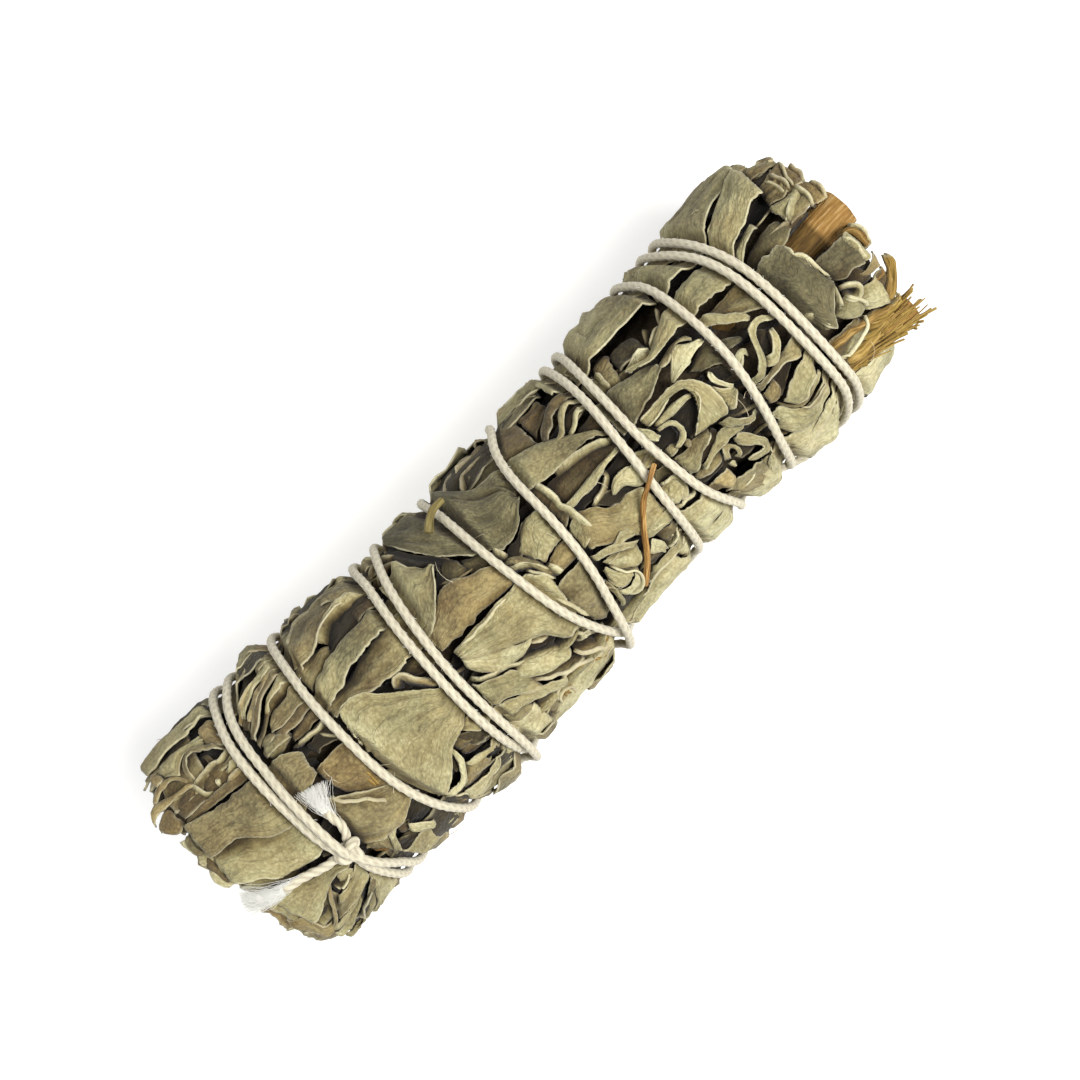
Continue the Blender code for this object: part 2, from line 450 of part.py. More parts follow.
# The rows of leaves round the sides and the underside, which the eye above doesn't see
ROUND_ROWS = 5
ROUND_FROM = math.radians(82)
ROUND_TO = math.radians(278)
ROUND_LEAF_LENGTH = (24.0, 33.0)
ROUND_LEAF_WIDTH = (9.0, 12.0)
ROUND_LEAF_TILT = 0.2
ROUND_LEAF_STEPS = 3
ROUND_LEAF_LEVEL = (-0.9, 0.2)
ROUND_LEAF_CROWN = 0.4
ROUND_LEAF_DROOP = (-0.3, 0.5)
ROUND_LEAF_SPACING = (0.78, 0.92)
LEAF_PROFILE = ((0.0, 0.45), (0.3, 0.9), (0.6, 1.0), (0.85, 0.75), (1.0, 0.25))
LEAF_PAST_CORE = 3.5
ROUND_FOLD_EVERY = 2
ROUND_FOLD_WIDTH = (1.1, 1.8)

# The leaf ends that stand out of both ends of the bunch, in rings round its axis
END_RINGS = ((12.1, 5), (8.2, 3), (4.2, 2))
END_LEAF_ROOT = 3.0
LEFT_END_REACH = (2.0, 3.6)
RIGHT_END_REACH = (2.0, 4.4)
END_WAVE = 0.6
END_RAGGED = 0.12
END_LEAF_STEPS = 4
END_LEAF_THICKNESS = 0.8


def core(group):
    """The packed middle of the bunch, a log with a rough skin that the leaves are rooted in."""
    bm = bmesh.new()
    bmesh.ops.create_cone(bm, cap_ends=True, cap_tris=True, segments=CORE_SIDES, radius1=1, radius2=1, depth=2)
    for ring in range(1, CORE_RINGS):
        level = 2 * ring / CORE_RINGS - 1
        everything = bm.verts[:] + bm.edges[:] + bm.faces[:]
        bmesh.ops.bisect_plane(bm, geom=everything, plane_co=(0, 0, level), plane_no=(0, 0, 1))
    bmesh.ops.triangulate(bm, faces=bm.faces)
    unit = np.array([vert.co for vert in bm.verts])
    x = CORE_LEFT + (CORE_RIGHT - CORE_LEFT) * (unit[:, 2] + 1) / 2
    angle = np.arctan2(unit[:, 1], unit[:, 0])
    rough = np.sin(3 * angle + 0.35 * x) + np.sin(5 * angle - 0.6 * x) + np.sin(2 * angle + 0.9 * x)
    radius = outline_radius(x, angle) - CORE_SINK + CORE_ROUGHNESS * rough / 2
    radius = np.minimum(radius, most_radius(x, angle))
    at_end = np.abs(unit[:, 2]) > 0.99
    radius = np.where(at_end, radius * CORE_END_SHRINK, radius) * np.hypot(unit[:, 0], unit[:, 1])
    for vert, point in zip(bm.verts, place(x, angle, radius)):
        vert.co = point
    return new_object("leaf_bunch", mesh_of(bm, "leaf_bunch"), group)


def top_leaves(group):
    for number, (first, second, lifts) in enumerate(TOP_LEAVES):
        edges = (on_top(first), on_top(second))
        steps = min(LEAF_STEPS, max(len(first), len(second)))
        flat_leaf(f"top_leaf_{number}", group, edges, lifts, steps)


def top_folds(group):
    for number, (line, width, lift) in enumerate(TOP_FOLDS):
        steps = max(FOLD_STEPS, len(line))
        fold(f"top_fold_{number}", group, on_top(line), width, lift, steps)


def leaf_edges(start, length, heading, turn, width):
    """The two edges of a leaf that lies along the bunch: it widens, then narrows to its tip."""
    edges = ([], [])
    for share, part in LEAF_PROFILE:
        x = start + share * length
        middle = heading + turn * share
        for side, edge in zip((1, -1), edges):
            edge.append((x, middle + side * part * width / 2 / TOP_RISE))
    return edges


def round_leaves(group):
    """Leaves and folds in rows round the sides and the underside."""
    draw = random.Random(SEED)
    count = 0
    for row in range(ROUND_ROWS):
        heading = ROUND_FROM + (ROUND_TO - ROUND_FROM) * row / (ROUND_ROWS - 1)
        x = CORE_LEFT - LEAF_PAST_CORE + draw.uniform(0, 5)
        while x < CORE_RIGHT - 4:
            length = min(draw.uniform(*ROUND_LEAF_LENGTH), CORE_RIGHT + LEAF_PAST_CORE - x)
            turn = draw.uniform(-ROUND_LEAF_TILT, ROUND_LEAF_TILT)
            width = draw.uniform(*ROUND_LEAF_WIDTH)
            level = draw.uniform(*ROUND_LEAF_LEVEL)
            droops = [draw.uniform(*ROUND_LEAF_DROOP) for _ in range(2)]
            lifts = (level - droops[0], level + ROUND_LEAF_CROWN, level - droops[1])
            edges = leaf_edges(x, length, heading + draw.uniform(-0.06, 0.06), turn, width)
            flat_leaf(f"round_leaf_{row}_{x:.0f}", group, edges, lifts, ROUND_LEAF_STEPS)
            count += 1
            if count % ROUND_FOLD_EVERY == 0:
                aside = heading + (ROUND_TO - ROUND_FROM) / (ROUND_ROWS - 1) / 2
                line = [(x + share * length * 0.7, aside + turn * share / 2) for share in (0.1, 1.0)]
                width = draw.uniform(*ROUND_FOLD_WIDTH)
                fold(f"round_fold_{row}_{x:.0f}", group, line, width, draw.uniform(-0.1, 0.4))
            x += length * draw.uniform(*ROUND_LEAF_SPACING)


def end_leaf(name, group, root_x, tip_x, radius, start, sweep, phase):
    """A leaf's end that stands out of the end of the bunch, bent round the axis in waves."""

    def shape(along, across, layer):
        angle = start + sweep * along
        wave = END_WAVE * np.sin(9 * along + phase) * (0.4 + across)
        x = root_x + (tip_x - root_x) * across * (1 + END_RAGGED * np.sin(7 * along + 2 * phase))
        side = outline_radius(np.full_like(angle, root_x), angle) / TOP_RISE
        return place(x, angle, radius * side + wave - layer * END_LEAF_THICKNESS)

    return thin_piece(name, group, END_LEAF_STEPS, 1, shape)


def end_leaves(group):
    draw = random.Random(SEED + 1)
    for side, face, reach in ((-1, CORE_LEFT, LEFT_END_REACH), (1, CORE_RIGHT, RIGHT_END_REACH)):
        for radius, count in END_RINGS:
            for number in range(count):
                start = TURN * (number + draw.uniform(-0.15, 0.15)) / count
                sweep = TURN / count * draw.uniform(0.75, 0.98)
                tip = face + side * draw.uniform(*reach)
                root = face - side * END_LEAF_ROOT
                name = f"end_leaf_{side}_{radius}_{number}"
                end_leaf(name, group, root, tip, radius + draw.uniform(-0.5, 0.5), start, sweep, draw.uniform(0, 6))


def tube(name, group, points, diameter, taper=1.0, bevel_resolution=2):
    """A round cord or stick along these points, as a closed mesh."""
    curve = bpy.data.curves.new(name, "CURVE")
    curve.dimensions = "3D"
    curve.bevel_depth = diameter / 2 * MM
    curve.bevel_resolution = bevel_resolution
    curve.use_fill_caps = True
    spline = curve.splines.new("POLY")
    spline.points.add(len(points) - 1)
    for number, (knot, point) in enumerate(zip(spline.points, points)):
        knot.co = (*(point * MM), 1)
        knot.radius = 1 + (taper - 1) * number / (len(points) - 1)
    guide = new_object(name, curve, group)
    bpy.context.view_layer.update()
    mesh = bpy.data.meshes.new_from_object(guide.evaluated_get(bpy.context.evaluated_depsgraph_get()))
    bpy.data.objects.remove(guide)
    bpy.data.curves.remove(curve)
    bm = bmesh.new()
    bm.from_mesh(mesh)
    bmesh.ops.remove_doubles(bm, verts=bm.verts, dist=0.01 * MM)
    bmesh.ops.triangulate(bm, faces=bm.faces)
    bmesh.ops.recalc_face_normals(bm, faces=bm.faces)
    bm.to_mesh(mesh)
    bm.free()
    mesh.name = name
    return new_object(name, mesh, group)


# The woody stems that run lengthwise in the bunch: inner end, outer end, diameter
STEMS = {
    "stem_thick": ((-18.0, 1.0, 17.0), (48.0, 2.3, 22.0), 4.4),
    "stem_slim": ((-30.0, 5.0, 16.5), (47.4, 8.6, 19.0), 2.6),
    "stem_side": ((-12.0, -3.0, 17.5), (45.2, -5.8, 19.8), 2.2),
    "stem_split": ((28.0, -9.0, 20.0), (46.0, -10.6, 20.6), 2.8),
    "stem_low": ((-36.0, -2.0, 9.5), (46.6, -4.2, 8.4), 2.4),
    "stem_low_slim": ((-22.0, 4.0, 9.0), (46.0, 5.4, 8.0), 2.0),
    "stem_left": ((-14.0, -5.0, 14.5), (-47.6, -8.6, 17.4), 2.4),
}
STEM_POINTS = 4
STEM_TAPER = 1.1

# The knot, and what lies loose over the leaves: a line, its lifts, a diameter and a taper
KNOT_RADII = (1.8, 1.45, 1.25)
KNOT_LIFT = 0.75
KNOT_RING_RADIUS = 1.35
KNOT_RING_POINTS = 11
KNOT_RING_LEAN = (1.0, 0.75, 0.45)
KNOT_RING_RISE = 0.5
TAIL_LIFT = 0.55
TAIL_DIAMETER = 0.95
TAIL_FRAY = 1.5
STRAWS = {
    "dry_stalk": (((58.6, -11.2), (61.0, -9.0), (63.0, -6.5), (65.0, -4.4), (66.6, -3.4), (68.8, -2.4)),
                  (0.2, 0.5, 0.7, 1.2, 1.75, 1.6), 0.8, 0.7),
    "leaf_stub": (((45.9, 9.2), (47.0, 9.7), (48.1, 10.1), (49.5, 10.4)), (1.3, 1.75, 1.85, 1.5), 1.1, 0.8),
}


def cast(group, name, centre, radii):
    """An egg-shaped solid."""
    bm = bmesh.new()
    bmesh.ops.create_uvsphere(bm, u_segments=10, v_segments=7, radius=1)
    bmesh.ops.triangulate(bm, faces=bm.faces)
    bmesh.ops.scale(bm, vec=radii, verts=bm.verts)
    bmesh.ops.translate(bm, vec=centre, verts=bm.verts)
    return new_object(name, mesh_of(bm, name), group)


def knot_place():
    x, angle = on_top([KNOT_PLACE])[0]
    return x, angle, place(x, angle, outline_radius(x, angle) + KNOT_LIFT)


def knot_parts(group, extra):
    """The knot and the two tails, or with an extra width the room that they need in the leaves."""
    x, angle, centre = knot_place()
    cast(group, "knot", centre, [radius + extra for radius in KNOT_RADII])
    ring = []
    for turn in np.linspace(0, TURN, KNOT_RING_POINTS)[:-1]:
        aside = np.array((math.cos(turn), math.sin(turn), math.sin(turn))) * KNOT_RING_LEAN
        aside[2] += KNOT_RING_RISE
        ring.append(centre + KNOT_RING_RADIUS * aside)
    tube("knot_ring", group, ring, STRING_DIAMETER + 2 * extra)
    for number, run in enumerate(TAIL_RUNS):
        tail = on_top(smooth_line(run, 7))
        points = place(tail[:, 0], tail[:, 1], outline_radius(tail[:, 0], tail[:, 1]) + TAIL_LIFT)
        tube(f"tail_{number}", group, points, TAIL_DIAMETER + 2 * extra, TAIL_FRAY)


def straw_points(name):
    line, lifts, _, _ = STRAWS[name]
    ground = on_top(line)
    route = smooth_line(np.column_stack([ground, lifts]), 9)
    return place(route[:, 0], route[:, 1], outline_radius(route[:, 0], route[:, 1]) + route[:, 2])


def stem_points(name, start_extra=0.0, end_extra=0.0):
    start, end, _ = STEMS[name]
    start = np.array(start)
    end = np.array(end)
    along = (end - start) / np.linalg.norm(end - start)
    return smooth_line([start - along * start_extra, end + along * end_extra], STEM_POINTS)


def room_for_others(group):
    """Cutters for all that lies in or on the leaves, with a small gap round it."""
    points = string_points(*string_route(STRING_STEP))
    half_turn = int(TURN / 2 * TOP_RISE / STRING_STEP)
    for start in range(0, len(points) - 1, half_turn):
        piece = points[start : start + half_turn + 2]
        if len(piece) > 1:
            tube(f"groove_{start}", group, piece, GROOVE_WIDTH, bevel_resolution=1)
    knot_parts(group, GROOVE_SPACE)
    for name, (_, _, diameter, taper) in STRAWS.items():
        tube(f"{name}_room", group, straw_points(name), diameter + 2 * GROOVE_SPACE, taper)
    for name, (_, _, diameter) in STEMS.items():
        bore = stem_points(name, STEM_SPACE, STEM_ROOM_PAST_END)
        tube(f"{name}_bore", group, bore, diameter * STEM_TAPER + 2 * STEM_SPACE)
    bm = bmesh.new()
    bmesh.ops.create_cube(bm, size=1)
    bmesh.ops.scale(bm, vec=FLOOR_BLOCK, verts=bm.verts)
    bmesh.ops.translate(bm, vec=(0, 0, -FLOOR_BLOCK[2] / 2), verts=bm.verts)
    bmesh.ops.triangulate(bm, faces=bm.faces)
    new_object("under_the_bunch", mesh_of(bm, "under_the_bunch"), group)


def fuse(target, operation, group, solver="EXACT"):
    """Applies one Boolean of the group's solids to the target, and removes them."""
    step = target.modifiers.new(operation.lower(), "BOOLEAN")
    step.operation = operation
    step.operand_type = "COLLECTION"
    step.collection = group
    step.solver = solver
    bpy.context.view_layer.update()
    mesh = bpy.data.meshes.new_from_object(target.evaluated_get(bpy.context.evaluated_depsgraph_get()))
    target.modifiers.clear()
    target.data = mesh
    for helper in list(group.objects):
        bpy.data.objects.remove(helper)


def keep_one_body(target):
    """Fills sealed hollows and drops loose scraps, which leaves the largest shell."""
    bm = bmesh.new()
    bm.from_mesh(target.data)
    bmesh.ops.triangulate(bm, faces=bm.faces)
    shells = []
    unseen = set(bm.faces)
    while unseen:
        shell = [unseen.pop()]
        for face in shell:
            for edge in face.edges:
                for other in edge.link_faces:
                    if other in unseen:
                        unseen.remove(other)
                        shell.append(other)
        shells.append(shell)
    shells.sort(key=len)
    for shell in shells[:-1]:
        bmesh.ops.delete(bm, geom=shell, context="FACES")
    bm.to_mesh(target.data)
    bm.free()


def thin_out(target):
    """Joins the smallest triangles that the Booleans left."""
    step = target.modifiers.new("thin", "DECIMATE")
    step.ratio = THINNING
    step.use_collapse_triangulate = True
    bpy.context.view_layer.update()
    mesh = bpy.data.meshes.new_from_object(target.evaluated_get(bpy.context.evaluated_depsgraph_get()))
    target.modifiers.clear()
    target.data = mesh


def part_touching_points(target):
    """Draws points that lie in one place, where the leaves only touch, a little way into their own leaves."""
    bm = bmesh.new()
    bm.from_mesh(target.data)
    in_place = {}
    for vert in bm.verts:
        spot = tuple(round(value / (TOUCHING * MM)) for value in vert.co)
        in_place.setdefault(spot, []).append(vert)
    for verts in in_place.values():
        if len(verts) == 1:
            continue
        for vert in verts:
            around = [edge.other_vert(vert).co for edge in vert.link_edges]
            vert.co += TOUCHING_PULL * (sum(around, Vector()) / len(around) - vert.co)
    bm.to_mesh(target.data)
    bm.free()


def material(name, colour, roughness):
    made = bpy.data.materials.new(name)
    made.use_nodes = True
    shader = made.node_tree.nodes["Principled BSDF"]
    shader.inputs["Base Color"].default_value = (*colour, 1)
    shader.inputs["Roughness"].default_value = roughness
    shader.inputs["Metallic"].default_value = 0
    return made


def collection(name):
    made = bpy.data.collections.new(name)
    bpy.context.scene.collection.children.link(made)
    return made


def build_string(group, helpers):
    main = tube("string", group, string_points(*string_route(STRING_STEP)), STRING_DIAMETER)
    knot_parts(helpers, 0)
    fuse(main, "UNION", helpers, "MANIFOLD")
    keep_one_body(main)
    main.data.materials.append(material("cotton string", (0.85, 0.79, 0.64), 0.9))


def build_stems(group):
    bark = material("sage bark", (0.30, 0.18, 0.07), 0.8)
    for name, (_, _, diameter) in STEMS.items():
        stem = tube(name, group, stem_points(name), diameter, STEM_TAPER)
        stem.data.shade_smooth()
        stem.data.set_sharp_from_angle(angle=math.radians(40))
        stem.data.materials.append(bark)


def build_straws(group):
    straw = material("dry straw", (0.50, 0.26, 0.09), 0.7)
    olive = material("olive leaf stub", (0.22, 0.19, 0.10), 0.8)
    for name, (_, _, diameter, taper) in STRAWS.items():
        piece = tube(name, group, straw_points(name), diameter, taper)
        piece.data.shade_smooth()
        piece.data.set_sharp_from_angle(angle=math.radians(40))
        piece.data.materials.append(olive if name == "leaf_stub" else straw)


def build_leaves(group, helpers):
    bunch = core(group)
    top_leaves(helpers)
    top_folds(helpers)
    round_leaves(helpers)
    end_leaves(helpers)
    fuse(bunch, "UNION", helpers)
    keep_one_body(bunch)
    room_for_others(helpers)
    fuse(bunch, "DIFFERENCE", helpers, "MANIFOLD")
    keep_one_body(bunch)
    thin_out(bunch)
    keep_one_body(bunch)
    part_touching_points(bunch)
    bunch.data.materials.append(material("dried sage leaf", (0.35, 0.31, 0.22), 0.95))


def move_over_origin(group):
    for piece in group.objects:
        piece.data.transform(Matrix.Translation(Vector(BOX_MIDDLE) * -MM))


def main():
    for old in list(bpy.data.objects):
        bpy.data.objects.remove(old)
    stick = collection("sage_smudge_stick")
    helpers = collection("cutters")
    helpers.hide_render = True
    build_leaves(stick, helpers)
    build_string(stick, helpers)
    build_stems(stick)
    build_straws(stick)
    move_over_origin(stick)


main()
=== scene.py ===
"""A tied stick of dried white sage: the fine leaves, string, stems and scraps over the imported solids.

Shapes are worked out in millimetres in the same way as the solids' own: a place on the upper side is
written as it is seen from an eye above the stick, (x, y) on the level of the stick's axis, and a place
anywhere is (x, angle), with the angle 0 at the top and growing towards +Y. A lift is a height above the
bunch's even outline.
"""

import math
import random

import bmesh
import bpy
import numpy as np
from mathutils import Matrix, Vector


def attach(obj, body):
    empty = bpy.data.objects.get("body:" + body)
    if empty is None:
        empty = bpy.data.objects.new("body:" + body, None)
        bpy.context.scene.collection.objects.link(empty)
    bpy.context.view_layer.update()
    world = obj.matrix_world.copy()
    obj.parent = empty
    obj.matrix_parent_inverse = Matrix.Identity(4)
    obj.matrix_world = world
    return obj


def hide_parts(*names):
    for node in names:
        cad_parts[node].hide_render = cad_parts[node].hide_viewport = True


bl_info = {
    "name": "Sage smudge stick",
    "version": (1, 0, 0),
    "blender": (4, 5, 0),
    "location": "View3D > Sidebar > Sage",
    "description": "Dresses a tied stick of dried sage with fine leaves, string and stems",
    "category": "Object",
}

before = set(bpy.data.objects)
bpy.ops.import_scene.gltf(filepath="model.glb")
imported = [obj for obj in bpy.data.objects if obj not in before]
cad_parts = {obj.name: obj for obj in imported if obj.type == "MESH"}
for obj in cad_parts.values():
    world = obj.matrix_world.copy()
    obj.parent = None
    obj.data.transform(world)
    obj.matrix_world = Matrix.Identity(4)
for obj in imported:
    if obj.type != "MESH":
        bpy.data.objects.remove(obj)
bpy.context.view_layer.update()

MM = 0.001
TURN = 2 * math.pi
QUARTERS = (0, 0.25, 0.5, 0.75, 1)
CURVE_STEPS = 24
WELD_DISTANCE = 1e-7

# The bunch's outline, as in the solids
AXIS_HEIGHT = 13.1
TOP_RISE = 13.5
UNDER_DROP = 13.6
SIDE_X = (-49.2, -45.8, -39.0, -28.9, -18.7, -11.9, -5.2, 1.6, 8.4, 15.1, 21.9, 28.7, 35.4, 42.2, 45.5, 49.0)
SIDE_PLUS_Y = (15.0, 15.3, 15.1, 14.7, 13.7, 13.4, 13.1, 13.2, 13.6, 13.6, 14.0, 14.2, 14.6, 14.9, 14.2, 12.6)
SIDE_MINUS_Y = (13.3, 15.1, 14.6, 14.7, 15.0, 14.7, 14.1, 13.5, 13.0, 13.0, 13.1, 14.4, 14.7, 13.2, 12.1, 11.0)
BOX_MIDDLE = np.array((-0.67, -0.5, 0.0))
FLOOR_GAP = 0.12

# The eye that places on the upper side are given from
EYE_HEIGHT = 150.0
EYE_X = 0.5
EYE_Y = 0.6
SEEN_MIDDLE_X = 53.9
EYE_PASSES = 20
EYE_DAMPING = 0.4
PHOTO_WIDTH = 1080
PHOTO_PIXELS_A_MM = 8.867
STICK_TURN = math.radians(46)
SENSOR_WIDTH = 36.0

# The string, as in the solids
STRING_LIFT = 0.7
STRING_SIDE_LIFT = -0.1
STRING_SPACE = 0.12
STRING_UNDER_HEIGHT = 0.8
SIDE_AT = math.radians(-98)
SIDE_SHARE = 0.08
UNDER_FROM = math.radians(-138)
UNDER_SHARE = 1.0
FINE_STEP = 0.5
EASE_REACH = 3
SAME_RUN = 14.0
HUMP_SLOPE = 0.25
HUMP_CREST = 2.0
STRING_DIAMETER = 1.1
TWIST_LENGTH = 3.6
PLY_AXIS = 0.19
PLY_RADIUS = 0.33
PLY_CREST = 0.93  # the share of the widest radius under which the groove's shade begins
PLY_GROOVE = 0.16
KNOT_LIFT = 0.75
TAIL_LIFT = 0.55
STRAND_SIDES = 15

# Leaves
EDGE_PLACES = 48
NEAR_SHARE = 0.4  # of a face, how far off the slope of a sheet is measured
FACES_ALONG = (3, 90)
FACES_ACROSS = (4, 60)
LEAF_THICKNESS = 0.2
LEAF_FACE = 0.3
SIDE_FACE = 0.62
HIDDEN_FACE = 0.8
EDGE_WIDTH = 0.32
RIM_WIDTH = 0.75
RIDGE_FACE = 0.33
RIM_THICKNESS = 0.4
LEAF_PROFILE = ((0.0, 0.45), (0.3, 0.9), (0.6, 1.0), (0.85, 0.75), (1.0, 0.25))

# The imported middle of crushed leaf, whose ends are at these x
CORE_LEFT = -45.2
CORE_RIGHT = 42.5
CORE_SINK = 3.2
CORE_PLACES = 130
CORE_SIDES = 84

# How the string presses the leaves down, and how far apart pressed sheets lie
PINCH_DEPTH = 0.75
GROOVE_HALF_WIDTH = 0.75
GROOVE_SLOPE = 1.2
PRESS_PLACES = 14
PRESS_SPREAD = 0.4  # sheets pressed down by the string lie at heights this far apart

# A leaf's waves: a share of the height, the length and the width, and a step of the seed
LEAF_RIPPLES = ((1.0, 4, 3, 0), (0.5, 1.5, 1.2, 7), (0.3, 0.8, 0.7, 23))
LEAF_CREASES = ((1.0, 8, 1.7, 13), (0.45, 6, 0.8, 14))
TORN_SIDE = (1.1, 3.1)
TORN_END = (1.2, 3.3)

# Leaves under the string at the sides
PAD_LIFTS = (-0.1, 0.25, -0.1)
PAD_SIZE = (5, 8)

# Strips and rims deep in the bunch
FILLING = 150
STRIP_LENGTH = (7, 16)
STRIP_WIDTH = (2, 5)
STRIP_LEVEL = (-2.6, -1.3)
STRIP_DROOP = (-0.6, 0.4)
DEEP_RIM_LENGTH = (4, 10)
DEEP_RIM_LEVEL = (-1.9, -0.8)
DEEP_RIM_LEAN = (-0.6, 0.6)
DEEP_RIM_DEPTH = 2.2

# Large leaves and folds in rows round the sides and the underside, and small ones between them
ROUND_SEED = 11
ROUND_ROWS = 5
ROUND_FROM = math.radians(82)
ROUND_TO = math.radians(278)
ROUND_LEAF_LENGTH = (24.0, 33.0)
ROUND_LEAF_WIDTH = (9.0, 12.0)
ROUND_LEAF_TILT = 0.2
ROUND_LEAF_LEVEL = (-0.9, 0.2)
ROUND_LEAF_CROWN = 0.4
ROUND_LEAF_DROOP = (-0.3, 0.5)
ROUND_LEAF_SPACING = (0.78, 0.92)
LEAF_PAST_CORE = 3.5
ROUND_FOLD_EVERY = 2
ROUND_FOLD_WIDTH = (1.1, 1.8)
SIDE_LEAVES = 110
SMALL_LEAF_LENGTH = (6, 15)
SMALL_LEAF_WIDTH = (2.5, 6)
SMALL_LEAF_LEVEL = (-0.6, 0.2)
SMALL_LEAF_DROOP = (-0.5, 0.2)
SMALL_FOLD_WIDTH = (0.6, 1.5)
SMALL_FOLD_LEVEL = (-0.4, 0.2)
EDGE_SWELL = 0.5

# Chopped leaves and ribs at the two ends, whose outermost faces are at these x
LEFT_FACE = -47.6
RIGHT_FACE = 47.6
END_RADII = (1.5, 3.2, 4.8, 6.2, 7.5, 8.8, 10.0, 11.2, 12.3, 13.2)
LEFT_END_REACH = (1.2, 3.6)
RIGHT_END_REACH = (3.8, 6.1)
LEFT_BLADES = (4.5, 6.5)
RIGHT_BLADES = (2.8, 4.4)
BLADE_ROOT = 4.0
BLADE_THICKNESS = 0.28
END_FACE = 0.42
FIBROUS_WIDTH = 0.45
FIBROUS_SHARE = 0.3
STEM_MARGIN = 0.8

# Loose fibres of the string, and hairs strewn over the bunch
FIBRE_THICKNESS = 0.05
TAIL_FIBRES = 420
TAIL_PLACES = 26
TWISTED_PLACES = (18, 19)  # how many of them each tail's unfrayed part takes
FRAY_PLACES = 12
FUZZ_HAIRS = 900
FUZZ_LENGTH = (0.12, 0.4)
CHAFF_HAIRS = 60
CHAFF_THICKNESS = 0.07
CHAFF_LENGTH = (1.2, 3.5)
CHAFF_X = (-46, 44)
THREAD_TAPER = 0.6

# Stems and straws, as in the solids
STEMS = {
    "stem_thick": ((-18.0, 1.0, 17.0), (48.0, 2.3, 22.0), 4.4),
    "stem_slim": ((-30.0, 5.0, 16.5), (47.4, 8.6, 19.0), 2.6),
    "stem_side": ((-12.0, -3.0, 17.5), (45.2, -5.8, 19.8), 2.2),
    "stem_split": ((28.0, -9.0, 20.0), (46.0, -10.6, 20.6), 2.8),
    "stem_low": ((-36.0, -2.0, 9.5), (46.6, -4.2, 8.4), 2.4),
    "stem_low_slim": ((-22.0, 4.0, 9.0), (46.0, 5.4, 8.0), 2.0),
    "stem_left": ((-14.0, -5.0, 14.5), (-47.6, -8.6, 17.4), 2.4),
}
STEM_TAPER = 1.1
BARE_LENGTH = 4.0  # of raw wood without bark at the cut end
STEM_SIDES = 32
STRAW_SIDES = 16
SPLINTERS = 110
SPLINTER_THICKNESS = (0.12, 0.42)
SPLINTER_SIDES = 6
STRAWS = {
    "dry_stalk": (((58.6, -11.2), (61.0, -9.0), (63.0, -6.5), (65.0, -4.4), (66.6, -3.4), (68.8, -2.4)),
                  (0.2, 0.5, 0.7, 1.2, 1.75, 1.6), 0.8, 0.7),
    "leaf_stub": (((45.9, 9.2), (47.0, 9.7), (48.1, 10.1), (49.5, 10.4)), (1.3, 1.75, 1.85, 1.5), 1.1, 0.8),
}

# The shade between the leaves, by depth under the bunch's outline and under the pieces near a point
CREVICE_DEPTH = 4.0
DEEP_SHADES = ((0.0, (1.0, 1.0, 1.0)), (0.3, (0.86, 0.82, 0.75)), (0.55, (0.5, 0.43, 0.33)),
               (1.0, (0.1, 0.07, 0.045)))
NOOK_SHADES = ((0.0, (1.0, 1.0, 1.0)), (0.3, (0.86, 0.85, 0.82)), (0.4, (0.56, 0.52, 0.44)),
               (0.55, (0.2, 0.165, 0.115)), (0.8, (0.03, 0.022, 0.014)))
NOOK_LEAST = -0.6
NOOK_RANGE = 2.0
NOOK_CELL = 0.4
NOOK_REACH_X = 52
NOOK_BLURS = ((0.6, 1), (0.4, 3))  # a share, and the cells that it is evened out over

# Colours
# The pale rim colour and its share are a painted highlight along the leaves' edges, where a rolled edge catches the
# light
RIM_HIGHLIGHT_SHARE = 0.6
VEIN_SLANT = math.radians(50)
RIM_HIGHLIGHT = (0.64, 0.6, 0.42)
# The darkest stops of the leaf and tan ramps, reached mostly by the near-black sheets of painted shade
LEAF_DARK = (0.03, 0.026, 0.014)
LEAF_GREY = (0.135, 0.12, 0.062)
LEAF_MID = (0.305, 0.28, 0.148)
LEAF_PALE = (0.61, 0.585, 0.37)
TAN_DARK = (0.04, 0.026, 0.01)
TAN_BROWN = (0.15, 0.105, 0.045)
TAN_MID = (0.34, 0.265, 0.115)
TAN_PALE = (0.58, 0.49, 0.27)
STRING_PALE = (0.645, 0.615, 0.495)
STRING_MID = (0.565, 0.53, 0.41)
FLUFF_COLOUR = (0.76, 0.76, 0.72)
BARK_MID = (0.09, 0.05, 0.011)
WOOD_MID = (0.36, 0.2, 0.055)

# The studio
WORLD_STRENGTH = 0.36
FLOOR_GLOW = 0.62
LIGHTS = (
    ("key", (0.15, -0.17, 0.44), 0.24, (1.0, 0.985, 0.95)),
    ("fill", (-0.16, 0.28, 0.42), 0.4, (1.0, 0.99, 0.97)),
)
KEY_POWER = 3.7
FILL_POWER = 0.9
PAPER_HALF_WIDTH = 1.5
NEAREST_SEEN = 0.005


def smooth_line(points, count):
    """Places at even steps along a smooth curve through the given points."""
    given = np.array(points, float)
    if len(given) == 2:
        share = np.linspace(0, 1, count)[:, None]
        return given[0] * (1 - share) + given[1] * share
    padded = np.vstack([2 * given[0] - given[1], given, 2 * given[-1] - given[-2]])
    share = np.linspace(0, 1, CURVE_STEPS, endpoint=False)[:, None]
    pieces = []
    for before, start, end, after in zip(padded, padded[1:], padded[2:], padded[3:]):
        bend = 2 * before - 5 * start + 4 * end - after
        twist = 3 * start - before - 3 * end + after
        pieces.append(0.5 * (2 * start + (end - before) * share + bend * share**2 + twist * share**3))
    dense = np.vstack(pieces + [given[-1:]])
    steps = np.linalg.norm(np.diff(dense, axis=0), axis=1)
    along = np.concatenate([[0], np.cumsum(steps)])
    wanted = np.linspace(0, along[-1], count)
    return np.stack([np.interp(wanted, along, dense[:, axis]) for axis in range(dense.shape[1])], axis=1)


